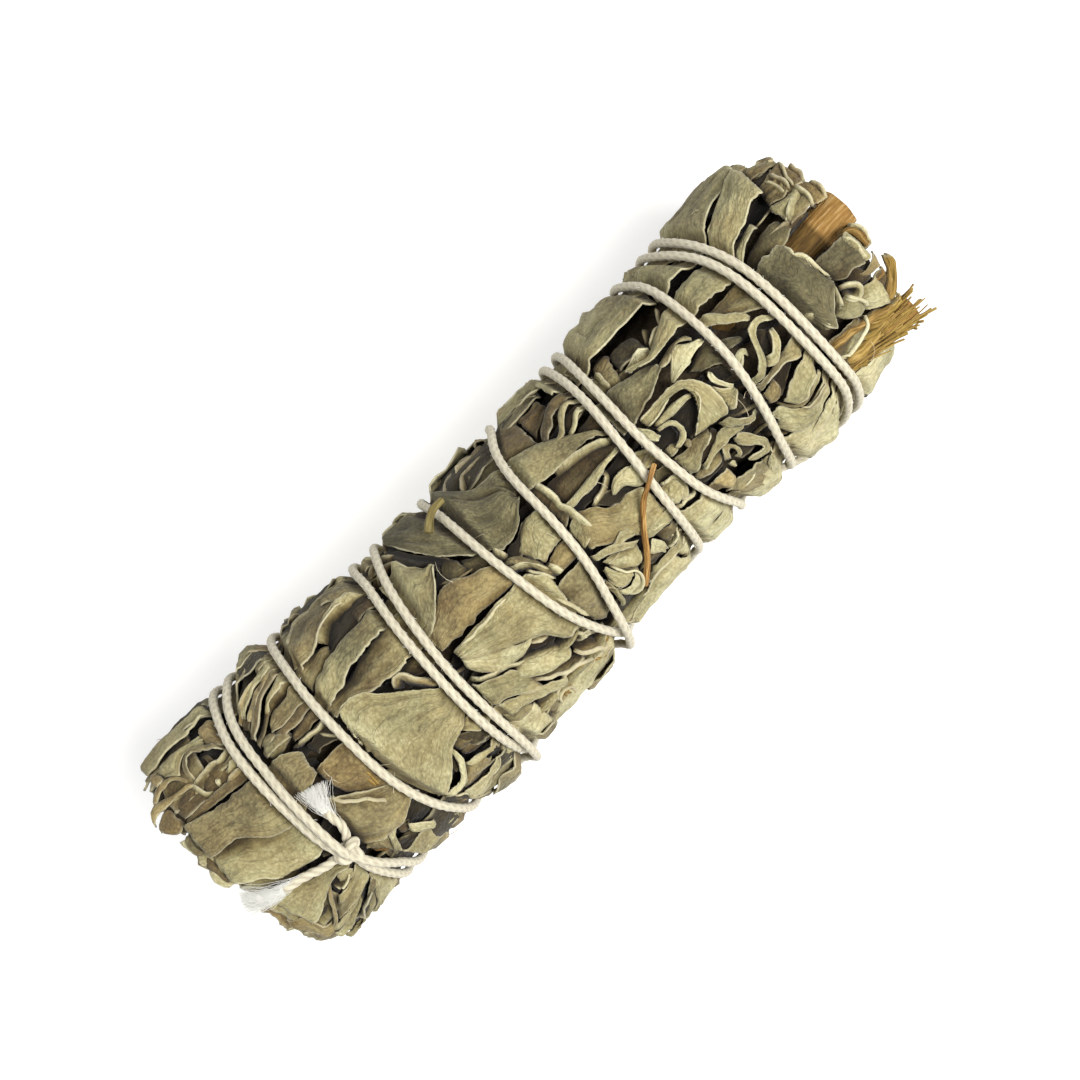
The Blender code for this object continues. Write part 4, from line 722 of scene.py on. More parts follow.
# The leaves that lie open on the upper side: one long edge and the other, both as x, y, x, y and so on,
# then the lifts across and the look
OPEN_LEAVES = (
    # Left end
    ((2.7, 7, 5, 6.3, 8, 5.6, 12.8, 5.2, 16.5, 4.6, 18.1, 3.2), (2.3, 2.3, 5, 1.9, 7, 1.1, 9, -0.8, 12.5, -1.8,
     17.6, 0.4), (0.3, 0.7, 0.4), MID),
    ((2.3, 3, 6, 2, 9.5, 0, 13.5, -1.5), (1.9, -1.4, 4, -2.8, 7.6, -5.4, 13, -6.1), (-0.5, 0.1, 0.3), LIGHT),
    ((1.8, -2.2, 4, -3.1, 8, -5.8), (2.2, -3.7, 4, -4.6, 8, -7), (-0.9, -0.6, -0.9), GREEN),
    # Between the first and second turns
    ((15, 6.9, 16.5, 6.9, 18.6, 6.4), (15, 5, 16.6, 5, 18.6, 5.7), (-0.3, 0.1, -0.5), GREEN),
    ((18.6, 6.1, 20.5, 6.4, 23, 6.6), (18, 4.9, 20, 4.7, 23, 4.6), (-0.7, -0.2, -0.5), OLIVE),
    ((17.2, 4.9, 20, 4.5, 22.9, 4.5), (17.8, 4.2, 20, 3.9, 22.8, 3.7), (-0.9, -0.6, -0.7), MID),
    ((18.4, 3.8, 20.4, 3.7, 22.6, 3.6), (18.9, 2, 20.4, 2, 22.6, 1), (-1, -0.9, -1), PAINTED_SHADE),
    ((17.4, 0.9, 20, 0.8, 22.9, 0.9), (17.9, -3.4, 20.4, -5.4, 22.9, -6.6), (-0.5, 0.1, -0.3), OCHRE),
    # Between the second and third turns
    ((24, 15, 27, 14.9, 30.5, 14.7, 36.8, 14.1), (23.8, 13.7, 26.5, 14.1, 30, 14, 36.8, 13.6), (-0.4, -0.1, -0.4),
     MID),
    ((23.9, 13, 27, 14, 31, 14, 37, 13.5), (23.9, 11.9, 26.5, 12.9, 28.6, 13.4, 31, 13.2), (-0.2, 0.1, 0.2), GREEN),
    ((23.8, 12, 27, 13.3, 31, 13.6, 37, 12.9), (24.2, 9.6, 27.6, 9.9, 29.6, 11, 32.6, 11.5, 37, 11),
     (0.1, 0.5, 0.5), MID),
    ((23.7, 10.4, 26, 10.3, 28.7, 9.9), (23.6, 7.5, 26, 7.9, 28.2, 8.4), (-0.2, 0, -0.5), MID),
    ((33.4, 13.4, 35, 12.3, 37, 11.8), (31, 12.8, 33.6, 11.7, 36.6, 11.1), (0.5, 0.7, 0.5), MID),
    ((32.8, 10.8, 34.6, 10.8, 36.3, 10.1), (32.7, 9.1, 34.4, 9, 36.2, 9), (-1.5, -1.2, -1.4), RUST),
    ((23, 6.7, 25, 7.5, 28, 8.2, 31, 8.6, 37.2, 8.9), (23, 4.4, 26, 4.7, 28, 5.4, 31, 6, 37, 6.2), (0.2, 0.7, 0.5),
     GREEN),
    ((23.2, 5.2, 27, 5.4, 31, 6.4, 37, 6.6), (23.4, 3.2, 26.6, 3.2, 28, 2.5, 31, 2, 36.8, 1.9), (-0.5, 0, 0.3),
     MID),
    ((29.6, 2.2, 32, 2.2, 36.4, 2.1), (31.6, 0.9, 33.4, -0.1, 36.3, -0.6), (-1, -0.8, -1.1), MID),
    ((23.6, 0.4, 23.9, 2.6, 25.2, 3.6, 27.4, 2.9, 29, 1.4, 30.8, 0.1, 32, -0.9, 34.4, -3.2), (23.2, -6, 24.2, -9.4,
     25.2, -11.7, 26.6, -11.1, 28.4, -9.8, 30.4, -8.3, 32.2, -7.7, 34.6, -6.9), (0.4, 0.9, 0.4), LIGHT),
    # Between the third and fourth turns
    ((36.8, 13.9, 40, 13.9, 43, 13.5), (36.8, 12.7, 39, 12.6, 41, 12.6), (-0.3, 0, -0.3), MID),
    ((37.4, 10.2, 39.2, 10.4, 40.7, 10.4, 41.1, 9.2, 41.9, 8.4, 42.3, 7.7, 43.5, 7.35), (37, 2.1, 38.5, 2.3,
     40, 3.2, 41, 4.3, 42, 5.3, 42.9, 6.4, 43.5, 7.2), (0.2, 0.7, 0.6), GREEN),
    ((41, 13.4, 45, 13.2, 49, 12.9, 52, 10.4, 54.4, 8.8, 55.7, 6.4), (41.4, 12.4, 42.6, 10.4, 44.2, 7.8, 46.2, 5.9,
     49, 3.9, 50.6, 2.7, 53.2, 3.3, 55.6, 5.5), (0, 0.7, 0.2), GREY),
    ((43, 5.8, 44.6, 7.2, 45.8, 6), (43, 4.4, 44.6, 3.9, 45.9, 4.3), (-0.9, -0.6, -0.9), GREY),
    ((45.8, 6.1, 47, 5.3, 48.6, 4.6), (45.6, 3.6, 47, 2.9, 48.6, 2.5), (-0.8, -0.6, -0.7), GREY),
    ((37.2, 2.2, 39.5, 3.3, 41.6, 4.6, 43.6, 4.5, 45.4, 3.6, 48.8, 2.2), (37, -0.2, 42, -0.4, 48.8, -0.6),
     (0.1, 0.4, -0.1), TAN),
    ((38, -1.5, 40, -0.95, 44, -0.95, 49.4, -0.9, 51, -1.8, 51.8, -3), (38.2, -2.6, 40.8, -4.2, 44, -5.9,
     46.4, -6.9, 48.2, -8.9, 50.6, -9.6), (0.2, 0.8, 0.5), LIGHT),
    ((38, -2.3, 40, -3.3, 43, -5.2, 45.8, -6.1), (37.7, -3.6, 38.8, -5.4, 40.6, -6.6, 43.6, -7.2), (0.2, 0.6, -0.1),
     PALE),
    ((43.6, -6.9, 45.6, -7.2, 47.8, -8.4), (44.6, -8.8, 46.4, -9.2, 48.4, -9), (-1.4, -1.1, -1.2), RUST),
    ((44.6, -13.9, 48, -14, 52.4, -13.5), (45, -15, 48, -14.7, 52.4, -14.2), (-0.7, -0.2, -0.4), TAN),
    ((50, 12.7, 52.6, 13.8, 57, 14), (50.6, 12, 53, 12.8, 57, 12.9), (-0.7, -0.4, -0.7), OLIVE),
    ((53, 12.6, 54.8, 12.9, 57.6, 12.8), (52.6, 10.4, 54.6, 10, 57, 10), (-1.2, -0.9, -1.1), GREY),
    ((52, 10, 54.4, 9.9, 57.3, 9.7), (55, 8, 55.8, 6.6, 57.1, 6.2), (-0.3, 0, -0.3), GREY),
    # Between the fourth and fifth turns
    ((51, 1.3, 52.6, 2.4, 54.4, 3.5, 57, 3.5), (52.4, -1.7, 54, -1.3, 56.8, -0.6), (-0.4, 0.1, -0.1), LIGHT),
    ((52.6, -1.9, 54.4, -1.4, 56.8, -0.9), (53, -3.8, 54.6, -3.8, 56.4, -3.8), (-0.3, 0, -0.4), TAN),
    ((50.9, -4.3, 53, -4.3, 56, -4.3), (51.6, -10.6, 53.2, -11.2, 55, -10), (-0.2, 0.2, -0.3), MID),
    ((57, 9.8, 60, 8.8, 62.6, 7.6, 65, 6.1, 67, 4.7, 68.2, 3.3), (57, 5.6, 59, 4.8, 62, 4.5, 65, 4.6, 66.8, 4.1,
     68.1, 3), (0.1, 0.65, 0.3), GREEN),
    ((57.4, 13.7, 61, 13.5, 66, 13.4), (57.4, 12.5, 61, 12.2, 65.6, 12.4), (-0.6, -0.2, -0.5), GREY),
    ((65.4, 13.7, 67, 13.8, 69.6, 13.6), (66.4, 11, 67.8, 10.9, 69.4, 10.9), (0, 0.4, 0.1), GREEN),
    ((63.4, -11.9, 66, -11.7, 69, -11.4), (64.2, -13.6, 66.4, -13.6, 69.2, -13.6), (-0.5, -0.1, -0.4), PALE),
    ((66.9, -8.8, 69, -9.1, 71.2, -9.5), (66.4, -12.2, 69, -12.2, 72.4, -12), (-0.3, 0.1, -0.2), PALE),
    ((67.3, -4, 68.8, -3.8, 70.4, -4.2), (67, -5.3, 68.8, -5.2, 70.5, -5.3), (-1, -0.7, -1), GREY),
    ((67.2, -5.4, 68.6, -5.2, 69.6, -5.6), (67, -7.7, 68.4, -7.7, 69.7, -7.1), (-0.4, 0, -0.2), LIGHT),
    # Between the fifth and sixth turns
    ((69.6, 14, 71.6, 14.1, 73.2, 13.9), (69.6, 11.6, 72, 11.6, 74.2, 12.1), (0, 0.4, 0.3), GREEN),
    ((69.4, 12.2, 74, 12.4, 77, 12.8, 82.2, 13.3), (69.3, 10.2, 73, 10.2, 77, 10.3, 82.4, 10.1), (0.1, 0.6, 0.5),
     GREEN),
    ((73.6, 14, 77, 14.2, 81, 14.4), (74, 12.9, 77, 13.1, 81, 13.3), (-0.8, -0.5, -0.8), OLIVE),
    ((82.2, 13.4, 84.4, 13.2, 86.6, 11.9, 88.2, 10.9), (82.5, 10, 84.4, 9.9, 86.4, 9.9, 89.2, 10), (0.1, 0.5, 0.4),
     GREEN),
    ((82, 14.5, 84.6, 14.4, 88.2, 14.6), (82.6, 13.5, 84.8, 13.4, 88, 11.6), (-0.2, 0.1, -0.1), MID),
    ((71.7, 10.3, 74.3, 10.3), (71.8, 6.8, 73.3, 6.8), (-0.8, -0.7, -0.9), MID),
    ((69.3, 10, 71.6, 9.9), (69.5, 6.6, 71.6, 6.6), (-1.2, -0.9, -1), GREEN),
    ((74, 9.9, 78, 9.7), (74, 7.9, 78, 7.6), (-1, -0.9, -1), PAINTED_SHADE),
    ((68.9, 6.7, 72, 6.7, 74.2, 6.1, 77, 5.3), (68.9, 2, 72, 2.3, 75, 3.1, 77.6, 4.3), (-0.1, 0.4, 0.1), GREY),
    ((74, 6.9, 76, 6.3, 77.4, 6.2, 80, 7.5, 83.6, 8.7, 90.4, 9.2), (74.4, 6.2, 76, 5.9, 77.4, 5.5, 80, 5.6,
     83.6, 5.8, 90.4, 5.1), (0.1, 0.6, 0.3), GREEN),
    ((70.9, -12.6, 73, -12.5, 75.4, -13.1), (70.5, -13.6, 73, -13.7, 76, -13.7), (-0.7, -0.3, -0.6), MID),
    ((80.6, -13.4, 84, -14, 88.4, -13.9), (80, -14.3, 84, -15.4, 88.6, -15.3), (-0.3, 0.1, -0.3), PALE),
    ((88.2, -13.2, 90, -13.2, 92, -13.4), (88, -15.3, 90, -15.4, 91.8, -14.9), (-0.4, 0, -0.3), PALE),
    ((86.6, 14.6, 90, 15.1, 93.6, 15.4, 96.4, 15.6, 99, 14.4), (89.6, 10.1, 91.6, 10.9, 94.2, 12.6, 96.8, 13.1,
     99.1, 13.8), (0, 0.5, 0.3), GREEN),
    ((89.8, 9.7, 92.4, 10.9, 95, 12.4, 97, 13.2, 99.2, 13.9), (91, 6.4, 93, 7.8, 95.2, 8.5, 97.6, 9.5, 99.6, 9.5),
     (0.2, 0.7, 0.3), LIGHT),
    ((91.8, 6.6, 93.6, 7.9, 96.2, 8.5), (91.9, 5.5, 94, 7, 96.4, 7.6), (-0.5, -0.2, -0.4), GREEN),
    ((91.8, 5.4, 94, 6.8, 97.4, 7.4, 99, 6.8), (92, 4.3, 95, 4.1, 97.6, 4.4, 99.4, 5.2), (-1.5, -1.3, -1.5), GREY),
    ((92, 4.3, 94, 4.3, 96.4, 4.1, 96.6, 2.6, 97.3, 1.2, 97.3, -0.6, 97.8, -2.6), (91.9, -1, 92.6, -3, 93.4, -5.2,
     94.2, -6.7, 95.2, -5.4, 96.4, -4.1, 97.6, -2.9), (0.3, 0.9, 0.5), GREY),
    ((95, -5.7, 96.4, -5.2, 98.2, -4.9), (95.6, -6.9, 97, -7.9, 98.6, -7.8), (-0.5, -0.1, -0.4), GREEN),
    ((98.6, -6.2, 100.4, -6.3, 102, -6.5), (98.2, -8.2, 99.6, -8.9, 101, -9.6), (-0.6, -0.2, -0.5), PALE),
    ((94, -12.2, 95.6, -12.2, 97.2, -12.4), (94, -13, 95.6, -13.4, 97, -13), (-0.7, -0.4, -0.7), PALE),
    ((91.6, -12.2, 93, -12.4, 94.2, -13), (91.4, -13.8, 92.6, -14, 93.8, -13.9), (-0.9, -0.6, -0.9), GREEN),
    ((91.9, -7.6, 94, -7.8, 97, -8), (91.8, -9.9, 94, -9.8, 97.2, -8.9), (-0.8, -0.5, -0.8), OLIVE),
    # Curled leaves between the fifth and the seventh turn
    ((71.3, 1.75, 73.5, 1.8, 75.5, 1.95, 77.2, 1.9, 78.4, 1.3, 79.2, 0.4, 79.65, -0.9, 79.6, -2.6, 79.2, -4.2,
     78.6, -4.75), (71.5, 0.7, 73.2, 0.75, 74.8, 1.15, 76.2, 1.15, 77.4, 0.8, 78.1, 0.1, 78.3, -0.6, 77.9, -1.4,
     76.4, -2.6, 74.2, -3.9), (0.35, 0.45, 0.3), LIGHT),
    ((72.1, 0.35, 73.8, 0.6, 75.4, 0.6, 76.8, 0.35, 77.7, -0.1), (72.4, -0.25, 73.8, -0.4, 75.6, -0.45, 76.9, -0.45,
     77.6, -0.6), (-0.1, 0.1, -0.1), PALE),
    ((70.4, 1.7, 71, 0.9, 71.6, -0.2, 71.7, -1.1), (70.4, 0.2, 70.6, -0.6, 71, -1.2, 71.4, -1.3), (0.1, 0.2, 0),
     PALE),
    ((72, -0.1, 73.4, -0.35, 74.3, -1.2, 74.3, -2.3, 73.6, -3.2, 72.1, -3.5), (72, -0.6, 73.1, -0.9, 73.6, -1.4,
     73.7, -2.1, 73.1, -2.6, 71.9, -3.1), (0, 0.15, -0.1), PALE),
    ((70.8, -0.9, 72.4, -0.7, 73.8, -1.2), (70.8, -2.8, 72.2, -2.9, 73.6, -2.6), (-1, -0.9, -1), PAINTED_SHADE),
    ((74.2, -0.5, 76, -0.5, 77.9, -0.7), (74, -4, 75.2, -3.4, 77.8, -1.7), (-0.8, -0.7, -0.8), HOLLOW_SHADE),
    ((70.9, -2.7, 71.8, -2.6, 72.6, -3), (70.9, -3.7, 71.8, -3.6, 72.6, -3.5), (-0.5, -0.2, -0.4), LIGHT),
    ((72.9, -3.6, 73.5, -3.3, 73.9, -3.7), (72.9, -4.2, 73.4, -4.4, 73.9, -4.1), (-0.3, 0.1, -0.3), LIGHT),
    ((70.9, -4, 72.6, -4.2, 74.4, -4.1, 76.2, -4.4), (71, -6.8, 72.6, -6.3, 74, -5.5, 76, -4.8), (-0.5, -0.1, 0.25),
     GREEN),
    ((72.2, -6.6, 73.8, -5.8, 75.2, -5.1, 76.6, -4.9), (72.6, -6.9, 74.4, -6.4, 75.6, -5.9, 76.8, -5.4),
     (-0.8, -0.6, -0.6), OLIVE),
    ((72.5, -6.8, 75, -6, 76.6, -5.4, 77.3, -5.3, 78.4, -6.3, 79.2, -6.9), (72.4, -7.05, 75, -6.85, 77, -6.75,
     79.2, -7.1), (-0.2, 0.1, 0.3), LIGHT),
    ((77.3, -4.9, 78.6, -5, 79.2, -5.9, 80.2, -6.6, 81.5, -6.8), (77.4, -5.4, 78.4, -6.3, 79.4, -7, 80.4, -7.25,
     81.5, -7.1), (0, 0.15, 0.25), GREEN),
    ((78.9, -4.9, 80.2, -4.3, 81.8, -4.2), (79.2, -6.2, 80.4, -6.5, 81.8, -6.4), (-1, -0.9, -1), PAINTED_SHADE),
    ((79.75, -1, 80.2, -2.1, 80.9, -2.9, 81.6, -3.3), (79.2, -4.7, 79.8, -4.55, 80.6, -4.1, 81.6, -3.6),
     (0, 0.2, 0.2), LIGHT),
    ((80.9, 0.15, 80.15, -0.5, 80.4, -1.5, 81, -2.6, 81.5, -3.2), (81, -0.1, 80.6, -0.6, 80.85, -1.4, 81.4, -2.4,
     81.8, -2.9), (0.1, 0.2, 0), PALE),
    ((80.6, 0.1, 81.6, 0.2, 82.8, -0.8), (80.8, -1.9, 81.8, -2.4, 82.8, -2.2), (-1, -0.9, -1), PAINTED_SHADE),
    ((76.9, 2.3, 78, 3.4, 79.2, 4.4, 80.2, 4.6, 81.4, 3.8, 82.9, 3.3), (77, 1.95, 78.6, 2, 79.8, 2.2, 81.2, 2.6,
     83, 2.9), (0.1, 0.4, 0.2), PALE),
    ((77, 4.6, 78.6, 5, 80.4, 5.3, 81.8, 5, 82.4, 4.2), (77.2, 4.2, 78.6, 4.1, 79.4, 4.5, 80.6, 4.8, 82, 4),
     (-0.3, 0, -0.1), MID),
    ((79.2, 1.9, 81, 2.5, 83.1, 2.8), (80.2, 0.8, 81.8, 0.2, 83, -0.7), (-0.8, -0.4, -0.7), GREY),
    ((84.3, 5.2, 85.4, 4.5, 86.6, 3.3, 88.2, 2, 88.6, 1.1), (84.1, 3.9, 85, 3.2, 86.4, 2.1, 87.6, 1.2, 88.2, 0.8),
     (0.1, 0.35, 0.15), LIGHT),
    ((85, 5.1, 87.4, 4.8, 90.6, 5.1), (86.6, 3.4, 88.4, 1.9, 90.6, 0.5), (-0.8, -0.5, -0.3), MID),
    ((84.2, 1.8, 85.2, 1.3, 86.5, 0.4), (84.2, 0.2, 85.2, 0, 86.2, -0.2), (-0.7, -0.4, -0.6), GREY),
    ((83.7, -1.2, 84.4, -0.7, 85.2, -0.65, 85.65, -1.2, 85.4, -1.9), (83.8, -2.4, 84.3, -1.8, 84.8, -1.4,
     85.1, -1.5, 85.1, -1.9), (0.1, 0.25, 0), PALE),
    ((83.2, -4, 84.4, -3.8, 85.4, -3, 85.9, -2.2, 86.5, -0.9, 87.2, 0.2, 88.3, 0.5, 89.3, 0.3, 90.4, -0.5),
     (83.3, -4.65, 84.6, -4.65, 85.8, -3.9, 86.4, -3, 86.9, -1.8, 87.5, -0.7, 88.3, -0.3, 89.2, -0.5, 90.3, -1.1),
     (0.5, 0.6, 0.4), LIGHT),
    ((85.6, -4.1, 86.4, -4.65, 87.4, -4.4, 88.4, -3.6, 89.1, -2.7, 89.4, -1.6), (86.4, -3.2, 86.9, -3.6, 87.4, -3.5,
     88, -2.9, 88.6, -2.2, 89, -1.5), (0.3, 0.4, 0.2), LIGHT),
    ((86.9, -0.9, 88.2, -0.6, 89, -1.4), (86.5, -3, 87.2, -3.5, 88.4, -2.6), (-0.8, -0.7, -0.8), HOLLOW_SHADE),
    ((83.2, -4.9, 86, -4.7, 88.4, -4.3, 90.5, -3.8), (83.2, -5.8, 84.6, -5.3, 86.2, -5.15, 87.6, -5.25, 88.8, -5.9,
     90.5, -5.9), (-0.1, 0.2, 0.2), MID),
    ((83.1, -6.5, 84.2, -6.1, 85.4, -5.9), (83, -7.9, 84.2, -7.9, 85.4, -7.2), (-0.5, -0.2, -0.6), TAN),
    ((84.4, -6.2, 85.6, -5.5, 87, -5.3, 88.6, -5.9), (84, -8.1, 85.4, -7.7, 86.6, -7.1, 88.4, -6.2),
     (-1, -0.9, -0.7), UMBER),
    ((84.1, -8.3, 86, -7.5, 88, -6.5, 90.5, -6.1), (84.8, -9.4, 86.2, -9.6, 87.4, -9.2, 88.4, -8.6, 90.4, -7.5),
     (0, 0.3, 0.3), LIGHT),
    ((83.9, -8.3, 84.6, -9.4, 85.4, -9.8, 86.6, -9.85, 88, -9.4, 89.6, -8.8), (83.6, -8.4, 84.3, -9.6, 85.3, -10.15,
     86.8, -10.2, 88.2, -9.75, 89.7, -9.2), (-0.1, 0, -0.2), LIGHT),
    ((82.5, -8.3, 83.6, -8.5, 84.4, -9.7, 85.4, -10.4, 87, -10.5, 90.4, -9.4), (81.7, -10.6, 82.6, -11.3,
     83.4, -11.9, 84.6, -12, 86.4, -11.5, 90.4, -10.5), (0, 0.35, 0.2), LIGHT),
    ((85, -10.2, 86, -10.5, 88, -10.2, 90.4, -9.6), (85.2, -10.5, 86.4, -10.9, 88.4, -10.6, 90.4, -10.1),
     (0.1, 0.2, 0.1), MID),
    ((82, -13, 84.4, -12.8, 86.2, -12.2, 88, -11.8, 90.4, -11), (82.2, -13.4, 84.6, -13.3, 86.6, -12.85,
     88.6, -12.4, 90.4, -11.7), (-0.1, 0.15, 0), PALE),
    ((84, -13.7, 87, -13.1, 88.8, -12.6, 90.4, -11.9), (84.2, -14.2, 87, -14.1, 88.8, -13.6, 90.4, -12.9),
     (-0.2, 0.1, -0.1), PALE),
    ((80.4, -12.4, 82.4, -12.7, 84.6, -12.6), (80.4, -13, 82.4, -13.6, 84.6, -13.6), (-0.7, -0.4, -0.6), OLIVE),
    ((72.4, -11.2, 74.4, -10.8, 76.8, -10.9, 78, -11.3), (73.2, -12, 75, -12.7, 76.2, -13.4, 77.2, -13.6),
     (-0.2, 0.2, 0), MID),
    ((77.2, -12.6, 78, -11.8, 79.4, -11.3, 80.2, -11.3), (77.4, -13.4, 78.4, -13, 79.4, -12.5, 80.2, -12.6),
     (0, 0.25, 0), PALE),
    ((77.2, -7, 78.6, -7.2, 79.4, -8.5, 80, -9.6, 79.9, -10.35, 79.2, -10.8, 78, -10.6, 76.8, -10.2), (77, -7.7,
     77.8, -8.6, 78.5, -9.4, 79, -10, 78.9, -10.3, 78.2, -10.2, 77.2, -9.9, 76.6, -9.8), (0, 0.2, 0.1), LIGHT),
    ((75.6, -9, 77.2, -8.7, 78.4, -9.4), (76.2, -9.9, 77.4, -9.9, 78.8, -10.2), (-0.8, -0.7, -0.8), HOLLOW_SHADE),
    ((74.9, -8.4, 75.4, -7.3, 76.2, -7, 77, -7.9, 77, -8.8, 76.2, -9.3), (75.5, -8.8, 75.8, -8, 76.2, -7.7,
     76.5, -8.1, 76.5, -8.6, 75.9, -8.9), (0.1, 0.2, 0), LIGHT),
    ((74.8, -8.9, 75.4, -8.8, 75.7, -9.2), (74.9, -9.4, 75.3, -9.6, 75.6, -9.5), (-0.1, 0.1, -0.1), LIGHT),
    ((71.4, -9.3, 73, -8.95, 74.5, -9.1), (71.6, -10.5, 73, -10.95, 74.5, -10.8), (-0.2, 0.1, -0.2), TAN),
    ((71.2, -7.2, 73.2, -7.15, 75.4, -7.1), (71.2, -7.9, 73.4, -8.2, 75, -8.1), (-0.7, -0.3, -0.4), MID),
    ((71.2, -8.2, 73, -8.2, 74.8, -8.3), (71.3, -9, 73, -9, 74.8, -9), (-1, -0.9, -1), PAINTED_SHADE),
    ((70.9, -12.6, 73, -12.5, 75.4, -13.1), (70.5, -13.6, 73, -13.7, 76, -13.7), (-0.7, -0.3, -0.6), MID),
    # Top of the left end
    ((4, 15.6, 5, 16, 9, 16.1, 11, 16, 13.9, 15.7), (3.9, 13.9, 5, 13.8, 8, 13.9, 9.8, 13.7, 12, 13.9, 14.1, 14.2),
     (0, 0.4, 0.1), LIGHT),
    ((4, 14.6, 8, 14.8, 11, 14.6, 13.6, 14.8), (3.9, 13.2, 8, 13.2, 11, 12.9, 13.6, 13.4), (-0.8, -0.7, -0.8),
     HOLLOW_SHADE),
    ((5, 13.3, 6.5, 13.5, 8.5, 13.4, 10, 13.1, 12, 13), (5.1, 12.5, 6.2, 11.5, 6.6, 11.1, 7.2, 11.8, 8.4, 12.5,
     9.8, 12.3, 11.1, 11.9), (-0.1, 0.2, -0.1), LIGHT),
    ((3.5, 12.9, 4.3, 13.4, 5.1, 13), (3.8, 12.1, 4.5, 12, 5.1, 12.3), (0.1, 0.4, 0), TAN),
    ((11.9, 13.8, 13.2, 13.7, 13.9, 12.6), (10.9, 12.2, 11.6, 11.3, 12.8, 10.5), (-0.1, 0.2, -0.1), TAN),
    ((6.8, 9.9, 7.1, 11.1, 7.9, 12.1, 8.8, 12.5, 9.8, 12.3, 10.8, 11.7, 12.8, 10.4), (7.6, 9.9, 7.7, 10.9,
     8.3, 11.7, 8.9, 11.9, 9.7, 11.7, 10.4, 11.2, 12.4, 9.9), (0.1, 0.3, 0.1), MID),
    ((9.5, 11.7, 9.8, 10.8, 9.9, 9.7), (10.4, 11.4, 10.4, 10.6, 10.3, 9.7), (-0.7, -0.5, -0.7), OLIVE),
    ((7.4, 11.9, 10, 12, 12.8, 10.6), (7.4, 9.5, 10, 9.3, 12.8, 9.3), (-0.8, -0.7, -0.8), HOLLOW_SHADE),
    ((2.1, 11.4, 3, 11.9, 4.4, 12.1, 5.6, 11.9, 6.4, 11.3, 6.9, 10.3), (2, 10.9, 2.9, 10.9, 4, 11.5, 5, 11.6,
     5.9, 11.2, 6.5, 10.2), (-0.1, 0.1, -0.2), TAN),
    ((3, 11.3, 5, 11.8, 6.7, 10.8), (3, 10.2, 5, 9.8, 6.8, 9.8), (-0.8, -0.7, -0.8), HOLLOW_SHADE),
    ((1, 10.3, 2, 10.8, 3.4, 10.7, 4.6, 10.3, 6.9, 9.9), (0.3, 9.3, 1.4, 9.8, 2.8, 9.9, 4.4, 9.9, 6.9, 9.4),
     (-0.1, 0.2, -0.1), TAN),
    ((0.1, 8.9, 0.6, 9.4, 1.6, 9.8, 3, 9.9), (0.7, 8, 1.3, 7.2, 2, 6.9, 3, 7.3), (-0.4, -0.1, -0.5), OCHRE),
    ((3.2, 9.7, 5, 9.8, 6.6, 9.6), (3.2, 7.5, 5, 7.5, 7.2, 7.3), (-0.5, -0.2, -0.4), UMBER),
    ((6.9, 9.2, 8.2, 9.4, 10.4, 9.5, 11.4, 9.2, 12.8, 9.5), (7.1, 7.6, 8.4, 7.4, 9.6, 7.2, 11.4, 7.6, 12.8, 7.9),
     (-0.6, -0.3, -0.6), OLIVE),
    ((9.6, 8.9, 11.2, 8.9, 12.8, 9.2), (9.9, 8.4, 11.2, 8.3, 12.8, 8.4), (-0.4, -0.2, -0.4), MID),
    ((3, 7.6, 5, 7.6, 7.5, 7.3, 9.5, 7.2, 12.8, 7.2), (3.2, 7, 5.5, 6.5, 8, 6.2, 10, 5.8, 12.6, 5.9),
     (-0.4, -0.1, -0.5), OLIVE),
    # Fan of leaves between the first and second turns
    ((14.4, 15.6, 16, 16, 17.4, 16.1, 18.8, 15.8, 21.5, 15.4, 24, 15.4), (15.2, 12.4, 16, 12.3, 17.2, 13, 18, 13.6,
     20, 14.1, 21.4, 14.6, 24, 15), (0, 0.35, 0.1), MID),
    ((15.2, 11.3, 17, 12.7, 18.4, 13.8, 20.6, 14.7, 24, 15), (15.5, 10.8, 17.4, 11.9, 19, 12.6, 20.6, 13.2,
     24, 14.2), (-0.8, -0.7, -0.8), HOLLOW_SHADE),
    ((20.6, 13.9, 21.6, 14.1, 23.9, 14.4), (21, 13.2, 22.2, 13.2, 23.9, 13.8), (-0.3, 0, -0.2), MID),
    ((15.7, 11.1, 17.4, 12.1, 19, 12.9, 20.8, 13.2, 23.8, 14), (16.2, 10.6, 18, 11.5, 20, 12.1, 21.6, 12.2,
     23.7, 12.8), (-0.2, 0.1, -0.1), LIGHT),
    ((15.1, 10.3, 16.8, 11.3, 18.2, 11.9, 19.6, 12.1), (15.4, 9.5, 17, 10.4, 18.6, 11.2, 20, 11.7),
     (-0.5, -0.3, -0.5), UMBER),
    ((16.2, 9.9, 18, 11, 19.6, 11.8, 21.4, 12.2, 23.7, 12.9), (16.8, 9.5, 18.6, 10.6, 20.2, 11.3, 22, 11.9,
     23.6, 12.5), (0, 0.2, 0.1), TAN),
    ((15, 8.7, 16.6, 9.5, 18, 10.4, 19.6, 11.3, 21.4, 11.9, 23.5, 12.3), (15.2, 8.1, 17, 8.9, 18.6, 9.9, 20.4, 10.9,
     22, 11.3, 23.4, 11.7), (0, 0.2, 0.1), OLIVE),
    ((17.9, 9.3, 19.2, 10.2, 20.8, 10.9, 23.3, 11.7), (18.6, 9, 20, 9.8, 21.6, 10, 23.2, 10.3), (-0.3, 0.1, -0.1),
     LIGHT),
    ((14.9, 8, 16.4, 8.6, 17.8, 9.3, 19, 10), (14.9, 7.3, 16.6, 7.9, 18, 8.8, 19.4, 9.5), (-0.4, -0.2, -0.4),
     OLIVE),
    ((18.6, 9.4, 20.4, 9.9, 23.2, 10.3), (19, 8.8, 20.6, 9, 23, 9.6), (-0.9, -0.7, -0.8), UMBER),
